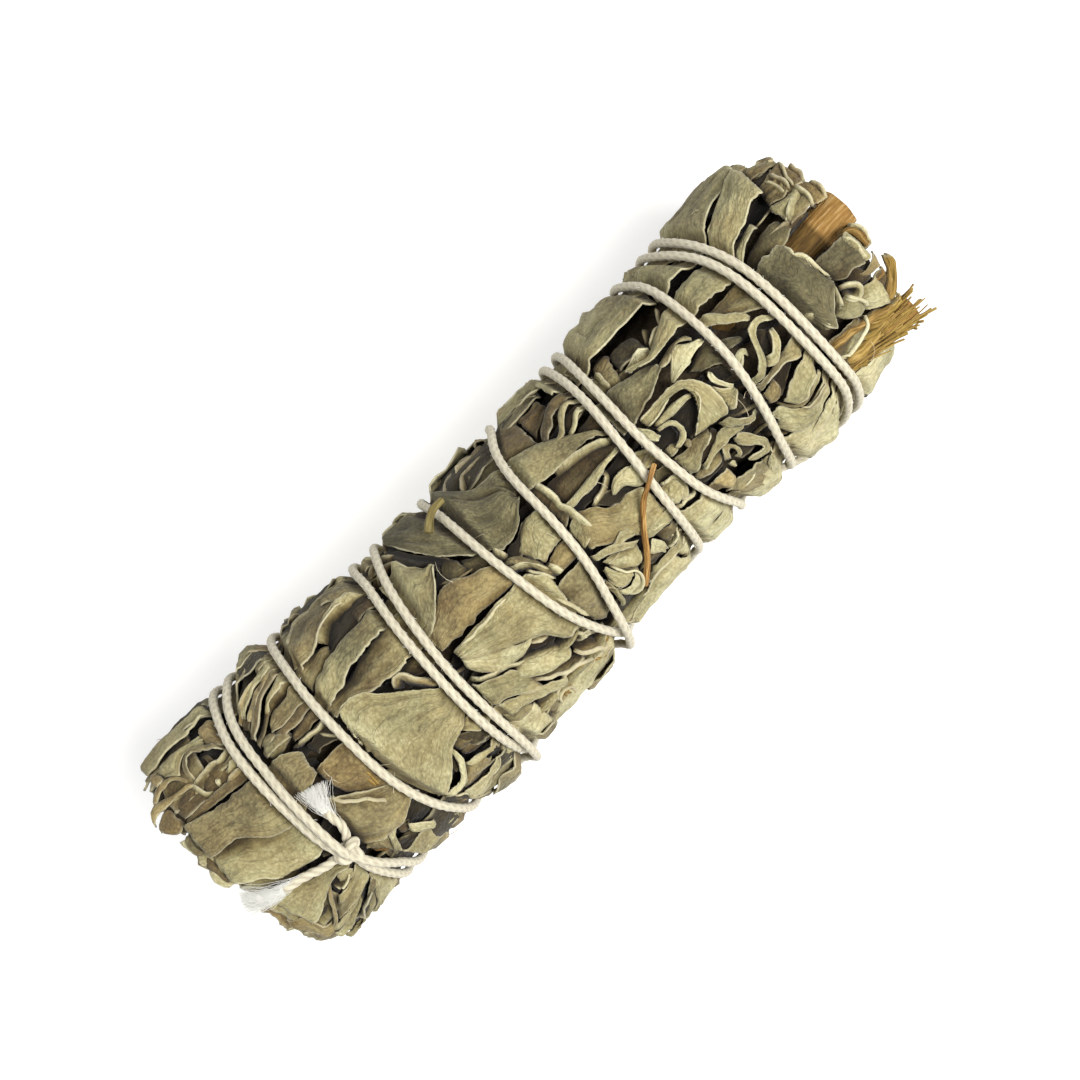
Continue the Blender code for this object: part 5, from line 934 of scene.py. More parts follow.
    ((17.3, 7.8, 18.1, 8.5, 19.3, 8.9, 20.9, 8.8, 21.8, 9.3, 23, 10.3), (17.2, 7.2, 18.6, 6.8, 20.4, 7, 22.2, 7.1,
     23.1, 7.3), (-0.2, 0.2, 0), MID),
    ((15.3, 7.3, 16.4, 7.6, 17.5, 7.4), (15.3, 6.8, 16.4, 6.5, 17.6, 6.7), (-0.3, 0, -0.3), MID),
    ((17.2, 7.1, 18.6, 6.9, 20.2, 7.2, 22.9, 7.1), (18, 5.9, 20, 5.9, 22.8, 6.2), (-0.3, 0, -0.2), OLIVE),
    ((14.6, 6.4, 16, 6.7, 17.2, 6.8, 18.4, 6.1), (14.7, 5.7, 16.2, 5.6, 18.4, 5.4), (-0.2, 0.1, -0.2), MID),
    # Bottom of the left end
    ((3.3, -6, 5, -6.3, 7, -6.8, 9, -7.6, 11.2, -8, 12.9, -8.7), (4.9, -10.8, 6.5, -10.5, 8, -9.8, 9.3, -9.1,
     11, -8.8, 12.9, -9.5), (-0.1, 0.3, 0.2), LIGHT),
    ((3, -6, 3.7, -7.6, 4.4, -9.2, 4.9, -10.8), (3.5, -5.9, 4.3, -7.5, 5, -9, 5.3, -10.4), (-0.7, -0.5, -0.7),
     OLIVE),
    ((4.9, -10.4, 7, -9.8, 9.4, -9), (5, -12.4, 6.4, -12.8, 7.6, -12), (-0.8, -0.7, -0.8), HOLLOW_SHADE),
    ((2.9, -9.3, 4.8, -9.9, 5.1, -11.2, 5.5, -12.3, 6.8, -12.8), (2.9, -9.9, 3.8, -10.9, 4.6, -12.2, 4.9, -13.2,
     6.2, -13.4), (-0.3, 0, -0.2), TAN),
    ((9.9, -9, 9.3, -9.8, 8.5, -11, 7.7, -12.1, 7, -13), (9.1, -9.1, 8.4, -10, 7.6, -11.3, 6.9, -12.3, 6.2, -12.9),
     (0.1, 0.35, 0.1), TAN),
    ((9.4, -9.3, 11, -8.9, 13, -9.6), (9, -11.4, 11, -11.2, 13.2, -10.6), (-1, -0.8, -0.9), UMBER),
    ((10.5, -9.9, 10.7, -9.2, 11.6, -9.1, 12.6, -9.8), (10.6, -10.4, 11.2, -10.5, 11.8, -10.5, 12.6, -10.5),
     (-0.2, 0.1, -0.2), LIGHT),
    ((9.2, -10.9, 10.5, -11, 11.4, -10.8, 12.6, -10.1, 13.4, -10.2), (7.2, -13.1, 9, -12.8, 11, -12.3, 13.5, -11.9),
     (-0.1, 0.15, 0), LIGHT),
    ((5.8, -13.1, 8, -13.1, 10, -12.7, 12.8, -12.1), (6, -13.6, 8, -13.5, 10, -13, 12.6, -12.4), (-0.2, 0, -0.2),
     LIGHT),
    ((5.7, -13.9, 6.8, -14, 8.4, -13.6, 10.4, -13), (6.2, -14.5, 7.8, -14.4, 9.2, -13.9, 11, -13), (-0.3, 0, -0.3),
     LIGHT),
    ((6.5, -13.2, 10, -12.5, 13.6, -11.8), (6.8, -15.2, 10, -14.6, 13, -13.4), (-0.8, -0.7, -0.8), HOLLOW_SHADE),
    ((7.3, -14.7, 9, -13.9, 11, -13), (7.4, -15.1, 9.2, -14.4, 11.2, -13.4), (-0.6, -0.4, -0.6), PALE),
    ((10, -14.3, 12, -13, 13.6, -12), (10, -14.9, 12.2, -13.6, 13.8, -12.5), (-0.3, -0.1, -0.3), MID),
    ((6.9, -15.1, 8, -15.2, 9.8, -14.9, 11.3, -13.8, 13, -13), (6.5, -15.7, 7.3, -16.4, 8.8, -16.1, 9.8, -15.4,
     11.4, -14.7), (-0.4, 0, -0.3), LIGHT),
    ((10.6, -15.5, 11.5, -14.7, 12.5, -13.5, 13.4, -12.2, 15, -12), (10.9, -15.7, 13, -15.4, 15.8, -15.8, 17, -15,
     17.6, -14), (-0.2, 0.2, -0.1), PALE),
    ((15.2, -1.6, 17.4, -3, 20.2, -5, 23.4, -7), (15.2, -8.9, 16.6, -9.6, 18.4, -10.1, 20.8, -10.1, 22, -9.5,
     23.8, -9.4), (0, 0.35, 0.1), SAND),
    ((16.2, -9.6, 17.9, -10, 17.8, -11.2, 17.3, -12.4, 17.6, -13.6), (15.2, -9.8, 16.2, -10.8, 16.3, -11.8,
     16.4, -12.8, 16.8, -14), (-0.2, 0, -0.3), MID),
    ((19.4, -10.1, 18.6, -10.9, 18.2, -11.9, 17.7, -12.9), (18, -10, 17.6, -11.2, 17.2, -12.2, 17, -13.2),
     (0, 0.25, 0), LIGHT),
    ((18.8, -10.4, 21, -9.9, 23.8, -9.7), (19.8, -12.6, 21.6, -13.2, 23.8, -13.2), (-1, -0.9, -1), PAINTED_SHADE),
    ((19.2, -10.8, 20.2, -10.7, 21, -11.3), (19, -11.9, 19.8, -12, 20.8, -12.2), (-0.7, -0.4, -0.6), OLIVE),
    ((20.5, -11, 21.4, -11.5, 22.4, -12.3, 23, -12.9), (20, -11.7, 20.8, -12.3, 21.8, -13.1, 22.6, -13.3),
     (0.1, 0.35, 0.1), PALE),
    ((17.7, -12.9, 19.4, -12.9, 21, -12.7, 22, -13.4), (17, -14.5, 19.2, -14.9, 21, -15, 22.2, -14.9),
     (-0.3, 0.1, -0.2), LIGHT),
    ((18, -12, 19, -12, 20, -12.6), (18, -12.7, 19, -12.9, 20, -13), (-0.8, -0.7, -0.8), HOLLOW_SHADE),
    ((22.2, -13.9, 24.2, -14, 25.8, -13.8), (22.3, -14.7, 24.5, -14.6, 26.4, -14.4), (-0.5, -0.2, -0.4), LIGHT),
    ((22, -14.9, 24.5, -14.8, 27.6, -14.7), (22.2, -15.4, 24.5, -15.4, 27.6, -15.3), (-0.4, -0.2, -0.4), PALE),
    # Bottom between the second and the fourth turns
    ((30.1, -8.4, 31.1, -8, 32.1, -9.2, 32.9, -9.9), (30.3, -9.9, 31.1, -10, 32, -10.2, 32.9, -10.1),
     (-0.9, -0.6, -0.8), MID),
    ((31, -8.1, 32.4, -8.8, 33.2, -9.6), (31.8, -10.4, 33, -10.8, 34.6, -11), (-0.8, -0.7, -0.8), HOLLOW_SHADE),
    ((33.3, -7.3, 34.4, -7.6, 35, -8.6), (32, -7.8, 33.4, -9.3, 34.9, -10.8), (-0.2, 0, -0.2), GREEN),
    ((29.9, -8.4, 30.3, -9.5, 30.1, -10.6, 29.3, -11.6, 28.3, -12.1, 26.8, -12, 25, -11.9), (29.5, -8.7, 29.5, -9.8,
     29, -10.6, 28.3, -11.3, 27.6, -11.5, 26.4, -11.3, 25.2, -11.4), (0.1, 0.4, 0.1), PALE),
    ((28.1, -9.4, 28.9, -9, 29.5, -8.8), (28.3, -10.9, 28.9, -10.9, 29.4, -10.4), (-0.7, -0.5, -0.6), GREEN),
    ((26.2, -10.7, 27.4, -10.1, 28.4, -9.4), (26.3, -11.4, 27.6, -11.4, 28.5, -11.3), (-1, -0.9, -1), PAINTED_SHADE),
    ((27.2, -10.4, 27.9, -10.2, 28.5, -10.7), (27, -10.7, 27.8, -10.8, 28.4, -10.9), (-0.5, -0.4, -0.5), LIGHT),
    ((30.3, -10.1, 32, -10.2, 34.8, -10.9), (30.4, -10.9, 32.6, -11.2, 35, -11.8), (-0.8, -0.6, -0.8), OLIVE),
    ((29.8, -10.8, 31.2, -10.9, 32.4, -11.2, 34.2, -11.6), (30.2, -11.3, 31.6, -11.7, 32.8, -11.8, 34.2, -12.2),
     (-0.1, 0.2, -0.1), LIGHT),
    ((29.2, -11.6, 30.2, -11, 31.4, -11.5, 32.2, -12.2), (27.7, -12.9, 29.4, -13.1, 31, -12.9, 32.6, -12.8),
     (-0.2, 0.1, -0.3), SAND),
    ((32.2, -11.9, 33.4, -12.1, 34.4, -12.3), (32.4, -14, 33.4, -14.1, 34.4, -13.9), (-1, -0.9, -1), PAINTED_SHADE),
    ((27.4, -12.9, 30, -13.1, 31.8, -13.1, 33, -12.9), (27.4, -14.4, 29.3, -14.5, 30.8, -14.1, 32.9, -13.8),
     (-0.1, 0.2, -0.1), PALE),
    ((25.4, -12.4, 26.6, -12.4, 27.9, -12.9), (26.2, -13.6, 27, -14.1, 27.8, -14.4), (-0.7, -0.5, -0.6), OLIVE),
    ((25.6, -12.1, 27.4, -12.2, 29.4, -12.2), (25.8, -12.6, 27.4, -12.7, 29.2, -12.6), (-0.1, 0, -0.2), GREEN),
    ((27.9, -14.7, 30, -14.3, 32, -14.1, 34.3, -13.9), (28, -15, 31, -14.9, 33.8, -15, 34.8, -14.9),
     (-0.3, 0, -0.3), PALE),
    ((34, -11.6, 35, -11.7, 35.4, -12.8), (33.9, -12.6, 34.4, -13.2, 34.9, -14.8), (-0.2, 0, -0.3), LIGHT),
    ((36.7, -5.6, 38.4, -6.3, 40, -6.8, 41.2, -7.3, 42, -8.8), (36.7, -8.7, 38, -8.9, 39.4, -9.5, 40.6, -10.3,
     42.4, -11.1), (-0.2, 0.2, 0), LIGHT),
    ((36.6, -8.9, 38.6, -9.2, 40.4, -10.2, 43, -11.3, 45, -12.2), (36.6, -10.6, 38.4, -11, 40.5, -11.5, 42.6, -12.3,
     44.8, -12.9), (-0.1, 0.2, 0), LIGHT),
    ((36.6, -10.5, 38, -10.9, 39.6, -11.4), (36.6, -12, 38, -12, 40.2, -12), (-0.4, -0.1, -0.3), GREEN),
    ((36.4, -11.7, 38.4, -11.8, 40.3, -11.9), (36.8, -15, 38.6, -15.1, 40.7, -15), (-0.2, 0.2, -0.1), PALE),
    ((40.4, -12, 42, -12.3, 43.6, -12.8), (40.5, -13.2, 42, -13.4, 43.2, -13.4), (-0.8, -0.7, -0.8), HOLLOW_SHADE),
    ((40.5, -13.1, 41.8, -12.9, 43, -13), (40.7, -14.7, 42.4, -14.8, 44.8, -14.9), (-0.5, -0.2, -0.4), MID),
    # Holes, filled with dark sheets whose colour is painted shade
    ((27.6, 9, 28.6, 10, 29.6, 10.8, 31.6, 11.4, 34, 11.3, 36.4, 10.8), (27, 8.2, 28.6, 8.3, 30, 8.5, 32, 8.9,
     34, 9.2, 36.4, 9.4), (-0.5, -0.4, -0.5), PAINTED_SHADE),
    ((32.9, 10.6, 34, 10.8, 35, 10.4, 36.6, 10.2), (32.8, 9, 34, 9.1, 35.2, 9, 36.6, 9), (-0.5, -0.1, -0.3), RUST),
    ((40.9, 12.8, 41.8, 11.5, 43, 9.5, 44.6, 7.6, 45.3, 6.6), (40.7, 10, 41.4, 9, 42, 7.8, 43.2, 7.2, 43.2, 6.2),
     (-0.5, -0.4, -0.5), PAINTED_SHADE),
    ((41.2, 5.2, 42.4, 6.2, 43.5, 6.9), (41.2, 4.2, 42.4, 4.4, 43.6, 4.2), (-0.5, -0.4, -0.5), PAINTED_SHADE),
    # Chopped leaves at the right end
    ((99.3, 13.5, 100.6, 13.4, 102, 13, 103, 12.5), (99.4, 12.3, 100.8, 12.2, 101.6, 11.8, 103.3, 11.6),
     (-0.8, -0.5, -0.9), SAND),
    ((99.4, 12.5, 101, 12.3, 102.2, 11.9), (99.4, 10.8, 100.6, 10.7, 102.2, 11), (-1.4, -1.2, -1.4), UMBER),
    ((99.3, 10.9, 101, 11, 102.4, 11.2, 103.7, 11.5), (99.3, 9, 100.2, 8.5, 101, 8, 102, 8.3), (-0.9, -0.5, -0.8),
     SAND),
    ((101.8, 11.4, 103.2, 11.7, 103.8, 10.4, 104.1, 8.8), (101.2, 8.5, 102.2, 8, 103, 8, 103.9, 8),
     (-1.1, -0.9, -1.1), TAN),
    ((98.7, 8.4, 100.2, 8, 101.8, 7.7, 102.7, 8.1), (99.2, 5.6, 100.2, 6.3, 101.6, 6.6, 102.9, 6.9),
     (-0.6, -0.3, -0.7), LIGHT),
    ((100, 6.3, 101.4, 6.5, 103, 6.9), (99.5, 5.4, 101.2, 5.3, 103, 5.1), (-0.9, -0.7, -1), SAND),
    ((102.9, 8.3, 103.9, 8.2, 104.6, 7.3, 104.9, 6), (102.9, 4.9, 103.6, 4.8, 104.2, 4.7, 104.9, 4.7),
     (-1.5, -1.3, -1.5), OCHRE),
    ((97.3, 0.1, 99, 0, 101, -0.1, 102.6, -0.2), (97.8, -2.8, 99.2, -3.8, 101, -3.9, 102.4, -4.3),
     (-0.7, -0.4, -0.7), GREY),
    ((102, -0.1, 103, -0.2, 103.3, -0.2), (102.1, -4.4, 102.8, -4.4, 103.3, -4), (-0.7, -0.5, -0.7), LIGHT),
    ((103.2, -0.1, 103.8, -0.1, 104.6, 0), (103.2, -3.4, 103.8, -3.4, 104.7, -3.2), (-1.5, -1.4, -1.5), OCHRE),
    ((99.2, -3.9, 100.6, -3.8, 101.6, -4.8), (99, -6.2, 100.6, -6.4, 101.9, -6.3), (-1.2, -1, -1.2), OLIVE),
    ((100.4, -5, 102.2, -4.9, 103.8, -4.3), (101, -5.7, 102.2, -5.9, 103.2, -5.9), (-0.8, -0.6, -0.9), TAN),
    ((100.9, -6.6, 102.2, -6.2, 103.2, -6.6), (101, -9, 102, -8.6, 103, -7.6), (-1.2, -1, -1.2), UMBER),
    # Between the fourth and fifth turns
    ((57, 6.6, 57.6, 6.2, 58.2, 5.8), (56.9, -0.8, 57.6, -0.2, 58.4, 0.6), (-0.3, -0.1, 0.1), OLIVE),
    ((56.8, -1.1, 57.8, -0.6, 58.6, -0.3), (56.6, -3.8, 57.6, -3.5, 58.6, -3.1), (0, 0.2, 0.1), LIGHT),
    ((58.5, 4.6, 62, 4.5, 65, 4.2, 67.8, 2.9), (58.5, 1, 62, 1.2, 65, 1.4, 67.8, 1.5), (-0.8, -0.5, -0.3), UMBER),
    ((58.6, 1.3, 62, 1.5, 65, 1.7, 67.6, 1.7), (58.6, 0.5, 62, 0.4, 63.9, 0.6, 65, 1, 67.4, 1.2), (0, 0.3, 0.1),
     LIGHT),
    ((58.6, 0.7, 63, 0.6, 67.6, 1), (58.6, -0.5, 63, -0.7, 67.6, -0.7), (-0.9, -0.8, -0.9), PAINTED_SHADE),
    ((60.8, -1, 63.2, -1.1, 64.8, -1.9, 66.4, -3.3), (62.2, -2.7, 63.4, -3.1, 64.6, -2.8, 65.3, -4.3),
     (-0.6, -0.5, -0.6), PAINTED_SHADE),
    ((63.2, -1.7, 63.8, -1, 64.8, -0.6, 66, -0.6, 67.6, -0.8), (63.4, -2, 64.2, -1.9, 65, -2.1, 66, -3.2,
     67.2, -3.4), (0, 0.4, 0), PALE),
    ((58.6, -0.3, 60.4, -0.9, 61.5, -2, 62.7, -2.9, 64.8, -2.8, 66.4, -3.8), (56.8, -4.3, 58.6, -5.1, 61, -6.4,
     63, -7.4, 66.2, -7.8), (-0.2, 0.3, 0), BUFF),
    ((56.4, -4.9, 58, -5.1, 59.4, -5.6, 61, -6.7, 61.8, -7.4), (56.5, -5.7, 58.2, -6.1, 59.6, -6.7, 61, -7.6),
     (0.1, 0.3, 0.1), LIGHT),
    ((59, -5.7, 60.4, -5.1, 62, -5.4), (59.2, -6, 60.6, -6.1, 62, -6.6), (0.2, 0.4, 0.2), LIGHT),
    ((56.9, -6.2, 58.2, -6.3, 59.8, -6.9, 61.3, -7.7), (57.2, -7, 57.8, -8, 58.6, -8.7, 59.6, -9.2, 60.6, -9),
     (-0.2, 0.2, -0.1), LIGHT),
    ((56.3, -7, 56.9, -6.7, 57.3, -7.6, 57.9, -8.5, 58.6, -9.1, 58.6, -9.6), (56, -8, 56, -8.9, 56.5, -9.4,
     57.2, -9.7, 58.1, -9.7), (0.1, 0.45, 0.1), LIGHT),
    ((55.9, -9.6, 57, -10, 58, -9.9, 58.8, -9.4), (55.9, -10.3, 56.8, -10.8, 57.8, -11, 58.9, -10.2),
     (0.1, 0.35, 0.1), PALE),
    ((55.9, -8, 56, -9.4, 55.7, -11.2), (55.2, -8.6, 55.3, -10, 54.9, -11.4), (-0.2, 0.1, -0.2), LIGHT),
    ((54.4, -11.4, 56, -10.7, 58.4, -10.9), (54.2, -13.4, 56.4, -12.5, 59.2, -12), (-0.8, -0.7, -0.8), PAINTED_SHADE),
    ((62, -7, 63.8, -7.2, 66.5, -7.4), (62.2, -8, 64.2, -8.4, 66.2, -8.8), (-0.2, 0.1, -0.2), LIGHT),
    ((61.3, -9.3, 62.2, -8.5, 62.9, -8.4, 63.5, -9.3, 63.3, -10.5), (61.5, -9.6, 62.1, -9.9, 62.6, -10.2,
     63, -10.5), (0.1, 0.3, 0.1), PALE),
    ((63.4, -8.7, 64.6, -9, 66, -9.1), (63.6, -10.2, 64.6, -10.2, 65.8, -10.2), (-0.5, -0.2, -0.5), MID),
    ((60.6, -9.5, 61.8, -9.7, 63, -10.4), (60.2, -10.8, 61.6, -11, 63, -10.9), (-0.6, -0.4, -0.6), OLIVE),
    ((60.6, -10.9, 63, -10.7, 65.8, -10.3), (59.6, -11.3, 62.6, -11.5, 65.6, -11.5), (-0.1, 0.2, -0.1), LIGHT),
    ((54.4, -13.4, 55.5, -12.9, 57, -12.3, 58.7, -12.1, 60, -11.7, 61.6, -11.7, 63.3, -11.8), (54.6, -14, 56, -13.9,
     58, -13.9, 60, -13.8, 62, -13.7, 65.2, -13.6), (-0.2, 0.3, -0.1), PALE),
    ((49.9, 2.1, 50.9, 2.9, 52.2, 2.7, 54.2, 3.6), (50.1, 1.8, 51, 0.9, 52.4, 1.7, 54.2, 3), (-0.5, -0.4, -0.5),
     PAINTED_SHADE),
    ((57, 12.6, 59, 13.2, 61.4, 13), (57.2, 9.6, 59.5, 8.8, 61.6, 8.3), (-0.6, -0.3, -0.6), UMBER),
    ((61.6, 12.6, 63, 12.2, 65, 12.4), (61.8, 9.6, 63.2, 10.1, 65.4, 10.8), (-0.9, -0.6, -0.9), OLIVE),
    ((62, 8.3, 63.4, 9.7, 65.8, 10.6, 68.8, 10.4), (62.4, 7.6, 64, 8.5, 65.6, 9.4, 68.8, 9.6), (-0.3, 0.1, -0.3),
     UMBER),
    ((61.4, 8.3, 63.2, 8.2, 65, 9), (62.2, 7.2, 63.6, 6.9, 65, 7.2), (-1, -0.9, -1), PAINTED_SHADE),
    ((62.6, 6.6, 64.2, 7.4, 65.4, 8.8, 66.8, 9.4, 68.4, 8.9), (63, 6.2, 64.6, 6.9, 65.8, 8.1, 67, 8.7, 68.2, 8.4),
     (0, 0.35, 0.1), LIGHT),
    ((65, 7.6, 66.2, 8.6, 68, 8.6), (64.6, 6.6, 66, 7, 68.2, 7.6), (-0.7, -0.5, -0.7), OLIVE),
    ((64.4, 6.6, 65.8, 7, 66.8, 7.8, 68.4, 8), (64.6, 6.1, 66, 6.4, 67.2, 7.2, 68.6, 7.4), (0, 0.25, 0.1), PALE),
    ((64.9, 6.1, 66.8, 6.6, 69, 6.9), (66.2, 4.7, 67.6, 3.8, 69, 3.2), (-0.8, -0.6, -0.8), UMBER),
    # Behind the gaps at the two ends
    ((1.2, 10.2, 3, 10.8, 5, 10.8), (1.6, 6.9, 3, 6.4, 5, 6.4), (-0.9, -0.8, -0.9), UMBER),
    ((98.6, -3.4, 101, -3.6, 103.2, -4), (99, -6.8, 101.2, -6.4, 103, -5.8), (-1.6, -1.5, -1.6), UMBER),
)

# Leaves folded over or standing on edge: a line as x, y, x, y and so on, a width, a lift and the look
RIDGES = (
    ((2.2, 6.6, 1.6, 5.4, 1.6, 4.4, 2, 3.4), 0.8, -0.2, MID),
    ((1.6, 3.2, 1.4, 1.2, 1.6, -1.4), 0.9, -0.3, OLIVE),
    ((18.2, 4.2, 20.4, 4, 22.7, 4), 0.5, -0.3, LIGHT),
    ((20.7, 3.7, 21.6, 2.4, 22.6, 1), 0.5, -0.7, MID),
    ((17.8, 0.7, 18, -1.2, 18.7, -3), 0.6, 0, OCHRE),
    ((16.8, -2.6, 17.6, -4, 19.8, -5.6, 20.9, -7.4), 0.6, 0.3, TAN),
    ((24.2, 10.6, 25.8, 12.2, 28.2, 13.3, 30.6, 13.3), 0.7, 0.5, MID),
    ((28.7, 10.1, 29.6, 11, 31.4, 11.5, 33.6, 11.4, 36.6, 10.9), 0.6, 0.5, LIGHT),
    ((26.4, 14.2, 30, 14.1, 34, 13.9), 0.5, 0, MID),
    ((30.8, 0.3, 31.7, 1.1, 32.8, -0.2, 34.5, -2.8), 0.5, 0.8, TAN),
    ((37.6, 12.2, 39.6, 12.3, 41.2, 11.6), 0.7, -0.4, OLIVE),
    ((37.8, 11.1, 39.4, 11.3, 40.8, 10.8), 0.6, -0.6, RUST),
    ((40.7, 12.3, 41.6, 10.6, 42.6, 8.6), 0.5, -1, OLIVE),
    ((41.8, 5.4, 43, 4.6, 44.6, 4), 0.6, -0.6, GREY),
    ((48.9, 2, 50.4, 1, 51.6, -0.8, 52.4, -3.4), 0.8, 0.2, MID),
    ((49.1, 1, 50.3, 0.1, 51.2, -1.3, 52, -3), 0.5, 0.1, LIGHT),
    ((49.1, 3.9, 49.6, 2.8, 50.1, 2.1), 0.5, 0.2, LIGHT),
    ((38, -1.9, 42, -1.7, 47.6, -1.4), 0.5, 0.6, PALE),
    ((41.2, -7.9, 43.6, -9.2, 47.3, -10.9), 2.2, 0.6, PALE),
    ((44, -9.1, 46.6, -9.9, 50, -9.8), 0.8, 0.1, LIGHT),
    ((42.4, -13.8, 43.8, -12.8, 46.6, -12.4, 49.8, -13.6), 0.6, 0.1, TAN),
    ((47.6, -11.6, 49, -12.2, 50.4, -13.3), 0.7, 0, TAN),
    ((48.9, -9.9, 49.6, -10.5, 51, -10.6), 0.6, -0.1, LIGHT),
    ((48.4, -10.9, 50, -11.3, 51.8, -12), 0.6, -0.2, MID),
    ((50.6, -5, 50.9, -7, 51.6, -9.4), 0.7, 0, LIGHT),
    ((52.7, -1.8, 52.7, -2.9, 53.1, -3.9), 0.5, 0.2, PALE),
    ((53, -10, 53.2, -10.9, 54.3, -10.6), 0.6, 0.1, PALE),
    ((50.2, 12, 52, 12.9, 55.6, 13.4), 0.7, -0.1, OLIVE),
    ((51.6, 11, 53.4, 12.2, 56.6, 12.4), 0.6, -0.5, OLIVE),
    ((57.9, 6, 58.2, 4.6, 58.3, 3, 58.1, 1.8, 58.5, 0.6, 58.4, -3.3), 0.5, 0.5, PALE),
    ((60.4, 4.6, 64, 4.2, 66.4, 3.6, 68, 2.7), 0.35, 0.3, LIGHT),
    ((60.8, -1, 62.8, -0.9, 64, -0.3, 64.4, 0.5, 64.2, 0.9), 0.6, 0, LIGHT),
    ((67.8, -5, 69.3, -5.4, 69.6, -7, 68, -7.7), 0.4, 0.3, LIGHT),
    ((66.9, -8.2, 68.6, -8.3, 70.4, -8.6), 0.7, 0, LIGHT),
    ((67.2, -12.7, 69.4, -12.8, 71.6, -12.6), 0.6, 0, PALE),
    ((71.6, 9.8, 71.7, 8.4, 71.6, 6.9), 0.5, -0.4, LIGHT),
    ((78.3, 7.9, 79, 9, 79.7, 9.9), 0.5, -1.4, MID),
    ((78.6, 6.9, 79.8, 7.8, 80.9, 8.1), 0.5, -0.6, LIGHT),
    ((81.4, 8.2, 81.7, 9.2, 81.9, 10), 0.5, -1, MID),
    ((96.5, 4, 96.3, 2.4, 97.1, 1.3, 97.2, -0.6, 97.7, -2.4), 0.5, 0.6, PALE),
    ((92.1, -1.6, 93, -4, 94.1, -6.6), 0.6, 0.3, LIGHT),
    ((97.8, -2.9, 96.8, -4.1, 96, -5.6, 96.6, -6), 0.6, 0.2, GREEN),
    ((97.8, -4, 99.2, -5, 99.3, -5.8, 98.5, -5.9, 97.8, -4.9), 0.6, 0.1, LIGHT),
    ((97.7, -5.4, 98.5, -6.8, 98.3, -7.8), 0.5, 0, PALE),
    ((92, -10.2, 95, -9.6, 96.6, -9.2, 97.6, -8.6), 0.5, 0.1, PALE),
    ((3.1, 9.7, 4.6, 9.8, 6.2, 9.6, 6.6, 8.8, 7, 7.9, 8, 7.4), 0.35, 0, LIGHT),
    ((6.9, 9.2, 8.2, 9.4, 10.2, 9.6, 11.2, 9.2, 12.9, 9.5), 0.4, 0, MID),
    ((9.2, 7.3, 9.4, 7.6, 9.7, 8), 0.3, 0, PALE),
    ((10.1, 7.5, 11.3, 7.6, 12.8, 8.1), 0.35, 0, LIGHT),
    ((9.5, 7, 11, 7, 12.8, 6.9), 0.5, 0, TAN),
    ((15.3, 10.8, 17, 11.4, 18.8, 12.1, 20.6, 12.5), 0.35, 0.1, TAN),
    ((18.6, 9.2, 20.2, 9.9, 22.9, 10.2), 0.35, -0.1, MID),
    ((9.4, -10.3, 10.1, -10.8, 11.2, -10.7, 12.3, -10.4), 0.35, 0.1, PALE),
    ((30.3, -13.6, 31.6, -13.9, 33.4, -13.6), 0.3, 0, PALE),
    ((26.2, -13, 27.3, -13.3, 27.7, -14.2), 0.35, -0.1, LIGHT),
    ((33.9, -13.4, 34.4, -14.2, 35.2, -14.4), 0.35, 0, LIGHT),
    ((37, -4.9, 37.8, -5.8, 39.2, -6.4, 41.4, -7.2, 43, -8), 0.4, 0.1, LIGHT),
    ((42.5, -14, 42.9, -13.3, 43.8, -13.1, 44.4, -13.7, 44, -14.3), 0.4, 0, TAN),
    ((41.9, -9.9, 43.4, -10.8, 45.2, -11.8, 47.6, -12.6), 0.6, 0.1, MID),
    ((100.6, 10.9, 100.9, 9.8, 101.1, 8.3), 0.4, -0.4, LIGHT),
    ((101.6, 11, 101.8, 9.8, 101.9, 8.4), 0.4, -0.4, SAND),
    ((103, 11.5, 103.2, 10.4, 102.6, 9.2, 102.5, 8.2), 0.4, -0.5, LIGHT),
    ((103.7, 10.9, 103.9, 9.6, 103.8, 8.2), 0.4, -0.8, TAN),
    ((102.6, 8, 102.9, 6.6, 102.7, 5.2), 0.5, -0.5, LIGHT),
    ((104.2, 7.5, 104.6, 6.4, 104.5, 4.9), 0.4, -1.1, TAN),
    ((101.6, 12.4, 102.2, 12.9, 102.6, 12, 103.2, 11.9), 0.4, -0.5, TAN),
    ((102, -0.3, 102.5, -1.2, 102.2, -2.6, 102, -4.2), 0.35, -0.3, PALE),
    ((104.3, 0.1, 104.7, -1.4, 104.5, -3.4), 0.35, -1.2, LIGHT),
    ((99.5, 6, 100.3, 6.3, 102.2, 6.8), 0.35, -0.3, LIGHT),
    ((57.2, -7.3, 58, -8.6, 58.8, -9.3, 58.8, -10.2, 58, -10.9, 56.6, -10.7), 0.35, 0.3, PALE),
    ((56.2, -10.8, 56.6, -11.1, 57.1, -11.6), 0.3, -0.2, PALE),
    ((62.6, -8.1, 64, -8.4, 66.2, -8.9), 0.35, 0, PALE),
    ((63.3, -10.4, 64.4, -10.3, 65.8, -10), 0.35, 0.1, PALE),
    ((58.8, -11.7, 60.6, -11.3, 62.6, -11.4, 65.4, -11.4), 0.35, 0.1, LIGHT),
    ((50.2, -1, 51.2, -2.3, 51.8, -3.7), 0.4, 0.1, LIGHT),
    ((48.8, -10, 49.2, -9.8, 50, -9.8, 50.3, -10.3, 49.8, -10.6, 49, -10.5), 0.3, 0, PALE),
)

